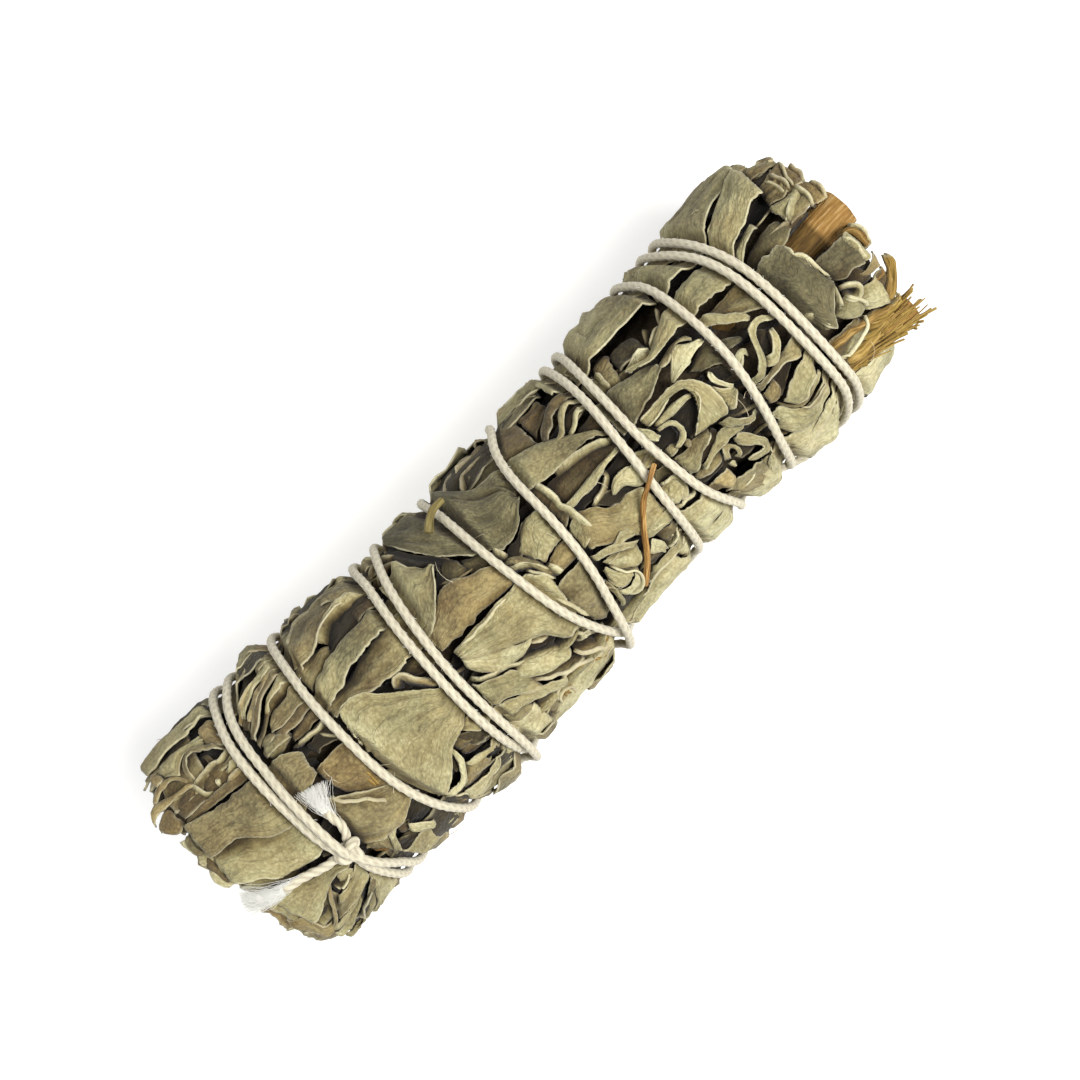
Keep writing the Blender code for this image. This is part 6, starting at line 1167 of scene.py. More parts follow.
# Brown and ochre shreds: a line in the same way, a width, a lift and how light they are
SHREDS = (
    ((92, -8.7, 95, -8.6, 98, -9.2, 101.6, -10.2), 0.9, 0.1, 0.35),
    ((92.4, -10.9, 96, -10.8, 99, -10.6, 101.6, -10.9), 1, 0.2, 0.6),
    ((93, -12.1, 97, -12.1, 99.4, -12, 101.7, -12), 0.9, 0.1, 0.75),
    ((94, -11.4, 98, -11.5, 101.8, -11.6), 0.7, -0.1, 0.5),
    ((96.6, -9.6, 99, -10, 101.8, -10.6), 0.8, 0.2, 0.55),
    ((96, -12.6, 98, -12.6, 99.6, -13.2), 0.5, -0.1, 0.6),
    ((97.4, -9.2, 99.6, -9.7, 102.2, -9.9), 0.5, 0.2, 0.8),
    ((95.6, -10.2, 98.6, -10.4, 101, -11.2), 0.5, 0.3, 0.7),
    ((100.6, -9.8, 102.4, -8.4, 103.6, -7.4, 104.8, -6), 0.9, -0.4, 0.6),
    ((100.8, -9.2, 102.2, -8.2, 103.2, -7.6), 0.6, -0.5, 0.4),
    ((101, -7, 102.4, -7.2, 103.4, -7), 0.6, -0.8, 0.2),
    ((42.6, -14.2, 44.2, -13.2, 46.4, -13), 0.5, 0, 0.5),
    ((43, -13.2, 44.4, -14, 46, -14.4), 0.4, 0, 0.5),
    ((45, -12.7, 47.6, -12.9, 50.6, -14), 0.4, 0.1, 0.6),
    ((46.4, -13.6, 48.4, -13.4, 50, -14.2), 0.5, -0.3, 0.1),
    ((49, -12.6, 50.4, -12.7, 52, -13), 0.4, -0.1, 0.4),
    ((102.6, 0, 103.8, -0.4, 104.2, -2.2, 103.8, -3.8), 0.8, -0.8, 0.3),
    ((103.2, 0.2, 104.2, -1, 104.4, -3), 0.5, -0.9, 0.15),
    ((92.2, -13.4, 93.4, -13.4, 94.4, -14.4, 95.1, -14.3), 0.5, -0.2, 0.1),
    ((15.6, -10.6, 16.4, -11.2, 16.8, -11.9), 0.5, 0.2, 0.1),
    ((20.6, -2.6, 21, -4, 21, -5.6), 0.35, 0.2, 0.55),
    ((21.3, -2.8, 21.6, -4.2, 21.6, -5.8), 0.35, 0.2, 0.6),
)

LOOKS = (LIGHT, LIGHT, GREEN, GREEN, MID, MID, TAN, OCHRE, OLIVE, GREY, PALE, PAINTED_SHADE)
LEAF_PIECES = ("open_leaves_left", "open_leaves_right", "tied_leaves", "packed_core", "folded_leaves",
               "filling_leaves", "side_leaves", "end_leaves", "brown_shreds")


def node(tree, kind, inputs=None, **settings):
    """A new node with its settings, and with values or other nodes' sockets put into its inputs."""
    made = tree.nodes.new(kind)
    for key, value in settings.items():
        setattr(made, key, value)
    for key, value in (inputs or {}).items():
        if isinstance(value, bpy.types.NodeSocket):
            tree.links.new(value, made.inputs[key])
        else:
            made.inputs[key].default_value = value
    return made


def ramp(tree, value, stops):
    """A colour ramp with stops of (place, colour or grey)."""
    made = node(tree, "ShaderNodeValToRGB", {"Fac": value})
    elements = made.color_ramp.elements
    while len(elements) < len(stops):
        elements.new(0.5)
    for element, (where, colour) in zip(elements, stops):
        element.position = where
        element.color = (colour, colour, colour, 1) if isinstance(colour, float) else (*colour, 1)
    return made.outputs["Color"]


def maths(tree, kind, first, second=0.0, clamp=False):
    return node(tree, "ShaderNodeMath", {0: first, 1: second}, operation=kind, use_clamp=clamp).outputs[0]


def times(tree, first, second, clamp=False):
    return maths(tree, "MULTIPLY", first, second, clamp)


def swing(tree, tone, amount, middle=0.5):
    """How far a tone is from its middle, made larger or smaller."""
    return times(tree, maths(tree, "SUBTRACT", tone, middle), amount)


def stretched(tree, where, by):
    """Places drawn out by three factors."""
    return node(tree, "ShaderNodeVectorMath", {0: where, 1: by}, operation="MULTIPLY").outputs[0]


def blended(tree, share, first, second, kind="MIX"):
    """The second colour laid over the first by this share."""
    inputs = {0: share}
    for key, colour in ((6, first), (7, second)):
        inputs[key] = colour if isinstance(colour, bpy.types.NodeSocket) else (*colour, 1)
    return node(tree, "ShaderNodeMix", inputs, data_type="RGBA", blend_type=kind).outputs[2]


def noise(tree, where, scale, detail=3.0, roughness=0.6, distortion=0.0):
    inputs = {"Vector": where, "Scale": scale, "Detail": detail, "Roughness": roughness, "Distortion": distortion}
    return node(tree, "ShaderNodeTexNoise", inputs).outputs["Fac"]


def attribute(tree, name, output="Fac"):
    return node(tree, "ShaderNodeAttribute", attribute_name=name).outputs[output]


def object_place(tree):
    return node(tree, "ShaderNodeTexCoord").outputs["Object"]


def effect(name, inputs, outputs):
    """A new node group with these sockets, its tree, what comes in and the node that takes what goes out."""
    tree = bpy.data.node_groups.new(name, "ShaderNodeTree")
    for label, kind in inputs:
        tree.interface.new_socket(label, in_out="INPUT", socket_type=kind)
    for label, kind in outputs:
        tree.interface.new_socket(label, in_out="OUTPUT", socket_type=kind)
    return tree, tree.nodes.new("NodeGroupInput").outputs, tree.nodes.new("NodeGroupOutput")


def crevice_group():
    """Darkens and browns what lies deep between the leaves, and close under an edge."""
    if "crevice shade" in bpy.data.node_groups:
        return bpy.data.node_groups["crevice shade"]
    inputs = (("Colour", "NodeSocketColor"), ("Deep", "NodeSocketFloat"), ("Nook", "NodeSocketFloat"))
    tree, come, go = effect("crevice shade", inputs, (("Colour", "NodeSocketColor"),))
    shade = ramp(tree, times(tree, come["Deep"], 1 / CREVICE_DEPTH, True), DEEP_SHADES)
    nook = maths(tree, "SUBTRACT", come["Nook"], NOOK_LEAST)
    tight = ramp(tree, times(tree, nook, 1 / NOOK_RANGE, True), NOOK_SHADES)
    colour = blended(tree, 1.0, come["Colour"], shade, "MULTIPLY")
    tree.links.new(blended(tree, 1.0, colour, tight, "MULTIPLY"), go.inputs["Colour"])
    return tree


def fibre_group():
    """Fine lengthwise fibres, for bark, straw and shreds, as a light and dark mask."""
    if "fibres" in bpy.data.node_groups:
        return bpy.data.node_groups["fibres"]
    inputs = (("Place", "NodeSocketVector"), ("Length", "NodeSocketFloat"), ("Count", "NodeSocketFloat"))
    tree, come, go = effect("fibres", inputs, (("Mask", "NodeSocketFloat"),))
    scale = {"X": come["Length"], "Y": come["Count"], "Z": come["Count"]}
    spot = stretched(tree, come["Place"], node(tree, "ShaderNodeCombineXYZ", scale).outputs[0])
    tree.links.new(noise(tree, spot, 1.0, 4.0, 0.65), go.inputs["Mask"])
    return tree


def fibres_along(tree, length, count):
    """The shared fibres, this long and this many to a millimetre."""
    inputs = {"Place": attribute(tree, "grain", "Vector"), "Length": length, "Count": count}
    return node(tree, "ShaderNodeGroup", inputs, node_tree=fibre_group()).outputs["Mask"]


def in_crevices(tree, colour):
    """The colour with the shared shade between the leaves."""
    inputs = {"Colour": colour, "Deep": attribute(tree, "deep"), "Nook": attribute(tree, "nook")}
    return node(tree, "ShaderNodeGroup", inputs, node_tree=crevice_group()).outputs["Colour"]


def finish(name, roughness, sheen=0.0):
    """A new material, its tree and its shader."""
    made = bpy.data.materials.new(name)
    made.use_nodes = True
    shader = made.node_tree.nodes["Principled BSDF"]
    values = {"Roughness": roughness, "Sheen Weight": sheen, "Sheen Roughness": 0.6, "Specular IOR Level": 0.25}
    for key, value in values.items():
        shader.inputs[key].default_value = value
    return made, made.node_tree, shader


def paint(tree, shader, colour):
    tree.links.new(colour, shader.inputs["Base Color"])


def raise_surface(tree, shader, height, strength, distance):
    bump = node(tree, "ShaderNodeBump", {"Height": height, "Strength": strength, "Distance": distance * MM})
    tree.links.new(bump.outputs["Normal"], shader.inputs["Normal"])


def fine_line(tree, where, sharpness):
    """Thin wandering lines, where smooth noise passes through its middle."""
    off = maths(tree, "ABSOLUTE", maths(tree, "SUBTRACT", noise(tree, where, 1.0, 2.0, 0.5, 0.6), 0.5))
    return maths(tree, "SUBTRACT", 1.0, times(tree, off, sharpness), True)


def leaf_finish():
    """Felted sage leaf: mottled grey-green to tan, pebbled between fine veins, with painted shade in the sunk veins
    and the pebbling's hollows, and a pale painted highlight at its rims.
    """
    if "dried sage leaf" in bpy.data.materials:
        return bpy.data.materials["dried sage leaf"]
    made, tree, shader = finish("dried sage leaf", 0.92, 0.08)
    own = chosen()
    spot = object_place(tree)
    grain = attribute(tree, "grain", "Vector")
    patches = noise(tree, spot, 170.0)
    mottles = noise(tree, spot, 520.0, 4.0, 0.65, 0.4)
    specks = noise(tree, spot, 2200.0, 3.0, 0.7)
    streaks = noise(tree, stretched(tree, grain, (0.35, 2.0, 1.0)), 1.0, 3.0, 0.6, 0.8)
    pebbling = {"Vector": grain, "Scale": 2.6, "Randomness": 1.0, "Smoothness": 0.35}
    pebbles = node(tree, "ShaderNodeTexVoronoi", pebbling, feature="SMOOTH_F1").outputs["Distance"]
    slant = {"Vector": grain, "Angle": VEIN_SLANT}
    slanting = node(tree, "ShaderNodeVectorRotate", slant, rotation_type="Z_AXIS").outputs[0]
    long_folds = fine_line(tree, stretched(tree, grain, (0.16, 0.75, 1.0)), 30.0)
    side_folds = fine_line(tree, stretched(tree, slanting, (0.3, 1.1, 1.0)), 24.0)
    folds = maths(tree, "ADD", long_folds, times(tree, side_folds, 0.5), True)

    # Painted shade: the sunk fold lines are darkened a little
    light = maths(tree, "SUBTRACT", attribute(tree, "light"), times(tree, folds, 0.055))
    for tone, amount in ((patches, 0.75), (mottles, 0.33), (specks, 0.38), (streaks, 0.11)):
        light = maths(tree, "ADD", light, swing(tree, tone, amount))
    # Painted shade and highlight: darker in the pebbling's sunk hollows, lighter on its raised tops
    light = maths(tree, "ADD", light, swing(tree, pebbles, -0.22, 0.35), True)
    green = ramp(tree, light, ((0.0, LEAF_DARK), (0.35, own.leaf_grey), (0.65, own.leaf_mid), (1.0, own.leaf_pale)))
    tan = ramp(tree, light, ((0.0, TAN_DARK), (0.35, own.tan_brown), (0.65, own.tan_mid), (1.0, own.tan_pale)))
    warm = swing(tree, noise(tree, spot, 230.0, 4.0, 0.65), 1.8)
    colour = blended(tree, maths(tree, "ADD", attribute(tree, "tan"), warm, True), green, tan)
    # Painted highlight: the pale rim colour laid along the leaf's edges
    edge = maths(tree, "POWER", attribute(tree, "edge"), 1.5)
    ragged = times(tree, edge, maths(tree, "ADD", mottles, 0.35), True)
    colour = blended(tree, times(tree, ragged, RIM_HIGHLIGHT_SHARE), colour, own.rim)
    paint(tree, shader, in_crevices(tree, colour))

    height = maths(tree, "SUBTRACT", times(tree, pebbles, -0.35), times(tree, folds, 0.4))
    for tone, amount in ((streaks, 0.25), (specks, 0.35), (mottles, 0.75)):
        height = maths(tree, "ADD", height, times(tree, tone, amount))
    raise_surface(tree, shader, height, 0.7, 0.28)
    return made


def core_finish():
    """Crushed leaf packed in the middle, coloured nearly black in its depths as painted shade."""
    made, tree, shader = finish("packed leaf crumbs", 0.95)
    crumbs = noise(tree, object_place(tree), 900.0, 5.0, 0.7)
    paint(tree, shader, ramp(tree, crumbs, ((0.3, (0.012, 0.008, 0.004)), (0.7, (0.075, 0.055, 0.032)))))
    raise_surface(tree, shader, crumbs, 0.8, 0.5)
    return made


def string_finish():
    """Undyed cotton, off-white, with fine fibres, and painted shade in the grooves between its plies."""
    made, tree, shader = finish("cotton string", 0.85, 0.15)
    own = chosen()
    spot = object_place(tree)
    fibres = noise(tree, spot, 3500.0, 4.0, 0.7, 0.6)
    colour = ramp(tree, fibres, ((0.25, (0.5, 0.455, 0.34)), (0.5, own.string_mid), (0.75, own.string_pale)))
    colour = blended(tree, times(tree, noise(tree, spot, 160.0), 0.3), colour, (0.52, 0.46, 0.33))
    # Painted shade: darker in the grooves between the plies
    colour = blended(tree, times(tree, attribute(tree, "groove"), 0.7), colour, (0.26, 0.22, 0.15))
    paint(tree, shader, blended(tree, attribute(tree, "fluff"), colour, own.fluff))
    raise_surface(tree, shader, fibres, 0.6, 0.12)
    return made


def bark_finish():
    """Ridged ochre bark, with raw wood towards the cut end."""
    made, tree, shader = finish("sage bark", 0.8)
    mask = fibres_along(tree, 0.35, 3.2)
    bark = ramp(tree, mask, ((0.3, (0.035, 0.018, 0.004)), (0.5, chosen().bark), (0.7, (0.15, 0.085, 0.02))))
    wood = ramp(tree, mask, ((0.3, (0.2, 0.1, 0.022)), (0.55, chosen().wood), (0.8, (0.72, 0.54, 0.28))))
    paint(tree, shader, blended(tree, attribute(tree, "raw"), bark, wood))
    raise_surface(tree, shader, mask, 0.9, 0.3)
    return made


def shred_finish():
    """Brown shreds of bark, leaf rib and split stem."""
    made, tree, shader = finish("brown shreds", 0.85)
    mask = fibres_along(tree, 0.5, 4.5)
    brown = ramp(tree, mask, ((0.3, (0.05, 0.026, 0.008)), (0.5, (0.19, 0.105, 0.035)), (0.72, (0.4, 0.26, 0.11))))
    straw = ramp(tree, mask, ((0.3, (0.13, 0.085, 0.012)), (0.55, (0.38, 0.26, 0.06)), (0.8, (0.68, 0.52, 0.22))))
    colour = blended(tree, attribute(tree, "light"), brown, straw)
    # Painted highlight along the edges, as on the leaves
    colour = blended(tree, times(tree, attribute(tree, "edge"), RIM_HIGHLIGHT_SHARE), colour, chosen().rim)
    paint(tree, shader, in_crevices(tree, colour))
    raise_surface(tree, shader, mask, 0.8, 0.2)
    return made


def rod(name, line, radius, sides, caps=3, dome=0.0, look=(0.5, 0.5)):
    """A closed stick along a line of points. radius gives its half thickness for lengths along it and
    angles round it, with the angle 0 at the top."""
    line = np.asarray(line, float)
    rows = len(line) + 2 * caps
    bm = bmesh.new()
    bmesh.ops.create_grid(bm, x_segments=rows - 1, y_segments=sides, size=1)
    flat = np.array([vert.co for vert in bm.verts])
    row = np.round((flat[:, 0] + 1) / 2 * (rows - 1)).astype(int)
    round_by = (flat[:, 1] + 1) / 2 * TURN
    which = np.clip(row - caps, 0, len(line) - 1)
    part = np.minimum(np.minimum(row, rows - 1 - row) / caps, 1)
    heading = np.gradient(line, axis=0)
    heading /= np.linalg.norm(heading, axis=1)[:, None]
    up = np.empty_like(line)
    last = np.array((0.0, 0.0, 1.0))
    for number, way in enumerate(heading):
        last = last - way * (last @ way)
        last = last / np.linalg.norm(last)
        up[number] = last
    aside = np.cross(up, heading)
    along = np.concatenate([[0], np.cumsum(np.linalg.norm(np.diff(line, axis=0), axis=1))])
    size = radius(along[which], round_by) * part
    out = np.cos(round_by)[:, None] * up[which] - np.sin(round_by)[:, None] * aside[which]
    past = np.where(row < caps, -1, np.where(row >= rows - caps, 1, 0)) * dome * (1 - part**2)
    points = line[which] + out * size[:, None] + heading[which] * past[:, None]
    for vert, point in zip(bm.verts, to_world(points)):
        vert.co = point
    mesh = bpy.data.meshes.new(name)
    bm.to_mesh(mesh)
    grain = np.stack([along[which] + past, size * np.cos(round_by), size * np.sin(round_by)], axis=1)
    mark(mesh, "grain", "FLOAT_VECTOR", grain + random_place(name))
    mark(mesh, "light", "FLOAT", np.full(len(points), look[0]))
    widest = size.max()
    # How far a point lies in a groove between the plies, for the string's painted shade there
    mark(mesh, "groove", "FLOAT", np.clip((PLY_CREST - size / widest) / PLY_GROOVE, 0, 1))
    bare = np.clip((along[which] - along[-1] + BARE_LENGTH) / 0.3, 0, 1)
    mark(mesh, "raw", "FLOAT", np.where(part < 0.99, 1.0, 0.7 * bare))
    bm.clear()
    bm.from_mesh(mesh)
    bmesh.ops.remove_doubles(bm, verts=bm.verts, dist=WELD_DISTANCE)
    bmesh.ops.recalc_face_normals(bm, faces=bm.faces)
    bm.to_mesh(mesh)
    bm.free()
    mesh.shade_smooth()
    return bpy.data.objects.new(name, mesh)


def shown(name, pieces, material, node_name):
    """The pieces as one object in the scene, in place of this solid."""
    whole = joined(name, pieces, material)
    if not whole.data.polygons:
        raise RuntimeError(f"{name} has no faces")
    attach(whole, "root")
    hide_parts(node_name)


def leaves_shown(name, leaves):
    """Leaves as one object, in place of the solid bunch."""
    shown(name, leaves, leaf_finish(), "leaf_bunch")


def build_core():
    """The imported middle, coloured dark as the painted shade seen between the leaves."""
    x = np.linspace(CORE_LEFT - 0.8, CORE_RIGHT + 0.8, CORE_PLACES)
    line = np.stack([x, cross_section(x)[0], np.full(len(x), AXIS_HEIGHT)], axis=1)

    def radius(along, angle):
        here = x[0] + along
        uneven = rough(here / 3.0, np.cos(angle) * 4, 3) + rough(here / 1.4, np.sin(angle) * 9, 5) * 0.6
        even = outline_radius(here, angle)
        return pressed(here, angle, even - CORE_SINK + 0.6 * uneven)

    shown("packed_core", [rod("packed_core", line, radius, CORE_SIDES)], core_finish(), "leaf_bunch")


def build_open_leaves():
    """The leaves seen open on top, in a left and a right half, and those under the string at the sides."""
    halves = ([], [])
    for number, (first, second, lifts, look) in enumerate(OPEN_LEAVES):
        first = on_top(first)
        half = halves[int(first[:, 0].mean() > 0)]
        half.append(open_leaf(f"open_leaf_{number}", first, on_top(second), lifts, look, number + 0.5))
    for half, name in zip(halves, LEAF_PIECES[:2]):
        leaves_shown(name, half)
    draw = random.Random(71)
    x, angle, _ = string_route(FINE_STEP)
    leaves = []
    for number in np.flatnonzero(np.diff(np.floor(angle / math.pi + 0.5))):
        start = x[number] - draw.uniform(2.5, 4)
        heading = angle[number] + draw.uniform(-0.1, 0.1)
        length = draw.uniform(*PAD_SIZE)
        edges = leaf_edges(start, length, heading, draw.uniform(-0.1, 0.1), draw.uniform(*PAD_SIZE))
        look = random_look(draw)
        leaves.append(open_leaf(f"pad_{number}", *edges, PAD_LIFTS, look, number + 0.5, face=SIDE_FACE))
    leaves_shown("tied_leaves", leaves)


def build_ridges():
    """The leaves on top that are folded over, and the narrower ones that stand on edge."""
    draw = random.Random(5)
    leaves = []
    for number, (line, width, lift, look) in enumerate(RIDGES):
        line = on_top(line)
        name = f"ridge_{number}"
        if width <= RIM_WIDTH:
            lean = 0.35 * draw.choice((-1, 1))
            leaves.append(rim_leaf(name, line, lift + 0.2, look, number, lean=lean, thickness=0.65 * width))
        else:
            leaves.append(ridge(name, line, width, lift, look, number))
    leaves_shown("folded_leaves", leaves)


def leaf_edges(start, length, heading, turn, width):
    """The two edges of a leaf that lies along the bunch: it widens, then narrows to its tip."""
    edges = ([], [])
    for share, part in LEAF_PROFILE:
        x = start + share * length
        middle = heading + turn * share
        for side, edge in zip((1, -1), edges):
            edge.append((x, middle + side * part * width / 2 / TOP_RISE))
    return edges


def random_look(draw):
    """One of the leaves' looks, at the cost of one draw."""
    return random.Random(draw.random()).choice(LOOKS)


def bowed(x, length, angle, turn, bend):
    """A bent line that lies along the bunch, turning a little round it."""
    return [(x + share * length, angle + turn * share + bend * share * (1 - share)) for share in QUARTERS]


def build_filling():
    """Strips and rims deep in the bunch all round, seen between the leaves over them."""
    draw = random.Random(21)
    leaves = []
    for number in range(chosen().filling):
        length = draw.uniform(*STRIP_LENGTH)
        x = draw.uniform(CORE_LEFT - 2.5, CORE_RIGHT + 3 - length)
        edges = leaf_edges(x, length, draw.uniform(0, TURN), draw.uniform(-0.5, 0.5), draw.uniform(*STRIP_WIDTH))
        level = draw.uniform(*STRIP_LEVEL)
        lifts = (level + draw.uniform(*STRIP_DROOP), level, level + draw.uniform(*STRIP_DROOP))
        look = random_look(draw)
        leaves.append(open_leaf(f"strip_{number}", *edges, lifts, look, number + 300.5, 0.4, 0.7, face=HIDDEN_FACE))
    for number in range(chosen().filling):
        length = draw.uniform(*DEEP_RIM_LENGTH)
        x = draw.uniform(CORE_LEFT - 2, CORE_RIGHT + 2.5 - length)
        angle = draw.uniform(0, TURN)
        bend = draw.uniform(-0.25, 0.25)
        line = bowed(x, length, angle, draw.uniform(-0.3, 0.3), bend)
        lift = draw.uniform(*DEEP_RIM_LEVEL)
        lean = draw.uniform(*DEEP_RIM_LEAN)
        look = random_look(draw)
        leaves.append(rim_leaf(f"rim_{number}", line, lift, look, number + 600.5, DEEP_RIM_DEPTH, lean,
                               face=HIDDEN_FACE))
    leaves_shown("filling_leaves", leaves)


def large_round_leaves(other):
    """Large leaves in rows round the sides and the underside, with folds between them."""
    draw = random.Random(ROUND_SEED)
    leaves = []
    count = 0
    row_angle = (ROUND_TO - ROUND_FROM) / (ROUND_ROWS - 1)
    for row in range(ROUND_ROWS):
        heading = ROUND_FROM + (ROUND_TO - ROUND_FROM) * row / (ROUND_ROWS - 1)
        x = CORE_LEFT - LEAF_PAST_CORE + draw.uniform(0, 5)
        while x < CORE_RIGHT - 4:
            place_name = f"{row}_{x:.0f}"
            length = min(draw.uniform(*ROUND_LEAF_LENGTH), CORE_RIGHT + LEAF_PAST_CORE - x)
            turn = draw.uniform(-ROUND_LEAF_TILT, ROUND_LEAF_TILT)
            width = draw.uniform(*ROUND_LEAF_WIDTH)
            level = draw.uniform(*ROUND_LEAF_LEVEL)
            droops = [draw.uniform(*ROUND_LEAF_DROOP) for _ in range(2)]
            lifts = (level - droops[0], level + ROUND_LEAF_CROWN, level - droops[1])
            edges = leaf_edges(x, length, heading + draw.uniform(-0.06, 0.06), turn, width)
            look = random_look(other)
            leaves.append(open_leaf(f"round_leaf_{place_name}", *edges, lifts, look, count + 100.5,
                                    0.35, 0.4, 0.3, 0.5, SIDE_FACE))
            count += 1
            if count % ROUND_FOLD_EVERY == 0:
                aside = heading + row_angle / 2
                line = [(x + share * length * 0.7, aside + turn * share / 2) for share in (0.1, 1.0)]
                width = draw.uniform(*ROUND_FOLD_WIDTH)
                lift = draw.uniform(-0.1, 0.4)
                look = random_look(other)
                name = f"round_fold_{place_name}"
                leaves.append(ridge(name, line, width, lift, look, count + 200.5, face=SIDE_FACE))
            x += length * draw.uniform(*ROUND_LEAF_SPACING)
    return leaves


def build_round_leaves():
    """Large and small leaves and folds round the sides and the underside."""
    draw = random.Random(31)
    leaves = large_round_leaves(draw)
    for number in range(chosen().side_leaves):
        length = draw.uniform(*SMALL_LEAF_LENGTH)
        x = draw.uniform(CORE_LEFT - 2.5, CORE_RIGHT + 3 - length)
        angle = draw.uniform(ROUND_FROM, ROUND_TO)
        look = random_look(draw)
        name = f"side_leaf_{number}"
        if number % 2:
            level = draw.uniform(*SMALL_LEAF_LEVEL) + EDGE_SWELL * abs(math.sin(angle)) ** 3
            droops = [draw.uniform(*SMALL_LEAF_DROOP) for _ in range(2)]
            lifts = (level + droops[0], level + 0.3, level + droops[1])
            edges = leaf_edges(x, length, angle, draw.uniform(-0.3, 0.3), draw.uniform(*SMALL_LEAF_WIDTH))
            leaves.append(open_leaf(name, *edges, lifts, look, number + 400.5, 0.3, 0.5, 0.25, 0.4, SIDE_FACE))
        else:
            line = bowed(x, length, angle, draw.uniform(-0.25, 0.25), draw.uniform(-0.15, 0.15))
            width = draw.uniform(*SMALL_FOLD_WIDTH)
            lift = draw.uniform(*SMALL_FOLD_LEVEL)
            leaves.append(ridge(name, line, width, lift, look, number + 500.5, face=SIDE_FACE))
    leaves_shown("side_leaves", leaves)


def end_blade(name, root, tip, radius, start, sweep, look, seed):
    """A leaf's chopped end that stands out of the bunch, bent round the axis in waves."""
    length = abs(tip - root)
    width = radius * abs(sweep)

    def surface(u, v):
        angle = start + sweep * u
        ragged = 1 - 0.16 * np.maximum(0, v - 0.5) * (1 + rough(u * width / 0.6, 0.5, seed))
        x = root + (tip - root) * v * ragged
        even = outline_radius(x, angle)
        wave = 0.55 * rough(u * width / 2.2, v * 1.5, seed + 1) + 0.25 * rough(u * width / 0.9, v * 2, seed + 2)
        flare = 0.5 * v**2 * rough(u * width / 4, 0.5, seed + 3)
        wanted = radius * even / TOP_RISE + wave + flare
        return x, angle, np.minimum(wanted, even - 0.1) - even

    return sheet(name, width, length, surface, look, thickness=BLADE_THICKNESS, face=END_FACE)


def over_stem(radius, angle):
    """Whether a blade here would hide one of the two stems whose sides are seen from above."""
    high = radius * math.cos(angle)
    aside = radius * math.sin(angle)
    for name in ("stem_thick", "stem_split"):
        _, (_, y, z), diameter = STEMS[name]
        if high > z - AXIS_HEIGHT - diameter / 2 and abs(aside - y) < diameter / 2 + STEM_MARGIN:
            return True
    return False


def build_ends():
    """Rings of chopped leaves, and at the right end ribs and shreds, that stand out of both ends."""
    draw = random.Random(17)
    leaves = []
    fibres = []
    left = (CORE_LEFT, LEFT_END_REACH, LEFT_BLADES)
    right = (CORE_RIGHT, RIGHT_END_REACH, RIGHT_BLADES)
    for face, reach, widths in (left, right):
        side = math.copysign(1, face)
        for radius in END_RADII:
            count = max(2, round(TURN * radius / draw.uniform(*widths)))
            for number in range(count):
                start = TURN * (number + draw.uniform(-0.3, 0.3)) / count
                sweep = TURN / count * draw.uniform(0.7, 1.25) * draw.choice((-1, 1))
                tip = face + side * draw.uniform(*reach)
                name = f"blade_{face:.0f}_{radius}_{number}"
                spot = radius + draw.uniform(-0.4, 0.4)
                look = random_look(draw)
                fibrous = draw.random() < FIBROUS_SHARE and side > 0
                middle = start + sweep / 2
                if side > 0 and spot > 5 and (math.cos(middle) > 0.35 or over_stem(spot, middle)):
                    continue
                if fibrous:
                    look = (draw.uniform(0.3, 1.0), 1.0)
                    sweep *= FIBROUS_WIDTH
                group = fibres if fibrous else leaves
                seed = len(leaves) + len(fibres) + 0.5
                group.append(end_blade(name, face - side * BLADE_ROOT, tip, spot, start, sweep, look, seed))
    shown("end_fibres", fibres, shred_finish(), "leaf_bunch")
    leaves_shown("end_leaves", leaves)


def strand(along, angle):
    """The half thickness of a string of three twisted plies."""
    turned = (angle - TURN * along * MM / chosen().twist_length) % (TURN / 3) - TURN / 6
    return PLY_AXIS * np.cos(turned) + np.sqrt(PLY_RADIUS**2 - (PLY_AXIS * np.sin(turned)) ** 2)


def knot_line():
    """A small overhand knot, pulled tight."""
    x, angle = on_top([KNOT_PLACE])[0]
    centre = place(x, angle, outline_radius(x, angle) + KNOT_LIFT)
    turn = np.linspace(0, TURN, 60)
    across = 0.42 * (np.sin(turn) + 2 * np.sin(2 * turn))
    over = 0.4 * (np.cos(turn) - 2 * np.cos(2 * turn))
    rise = 0.45 * -np.sin(3 * turn) + 0.35
    right = np.array((1.0, 0.0, 0.0))
    outward = np.array((0.0, math.sin(angle), math.cos(angle)))
    over_way = np.cross(outward, right)
    return centre + across[:, None] * right + over[:, None] * over_way + rise[:, None] * outward


def thread_curve(name, lines, thickness):
    """Fine threads along these lines, as one mesh."""
    curve = bpy.data.curves.new(name, "CURVE")
    curve.dimensions = "3D"
    curve.bevel_depth = thickness / 2 * MM
    curve.bevel_resolution = 0
    curve.use_fill_caps = True
    for line in lines:
        spline = curve.splines.new("POLY")
        spline.points.add(len(line) - 1)
        for number, (knot, point) in enumerate(zip(spline.points, to_world(np.asarray(line)))):
            knot.co = (*point, 1)
            knot.radius = 1 - THREAD_TAPER * number / (len(line) - 1)
    guide = bpy.data.objects.new(name, curve)
    bpy.context.scene.collection.objects.link(guide)
    bpy.context.view_layer.update()
    mesh = bpy.data.meshes.new_from_object(guide.evaluated_get(bpy.context.evaluated_depsgraph_get()))
    bpy.data.objects.remove(guide)
    bpy.data.curves.remove(curve)
    mesh.shade_smooth()
    mark(mesh, "fluff", "FLOAT", np.ones(len(mesh.vertices)))
    return bpy.data.objects.new(name, mesh)


def tail_points(run):
    """A tail's places in space."""
    tail = on_top(smooth_line(run, TAIL_PLACES))
    return place(tail[:, 0], tail[:, 1], outline_radius(tail[:, 0], tail[:, 1]) + TAIL_LIFT)


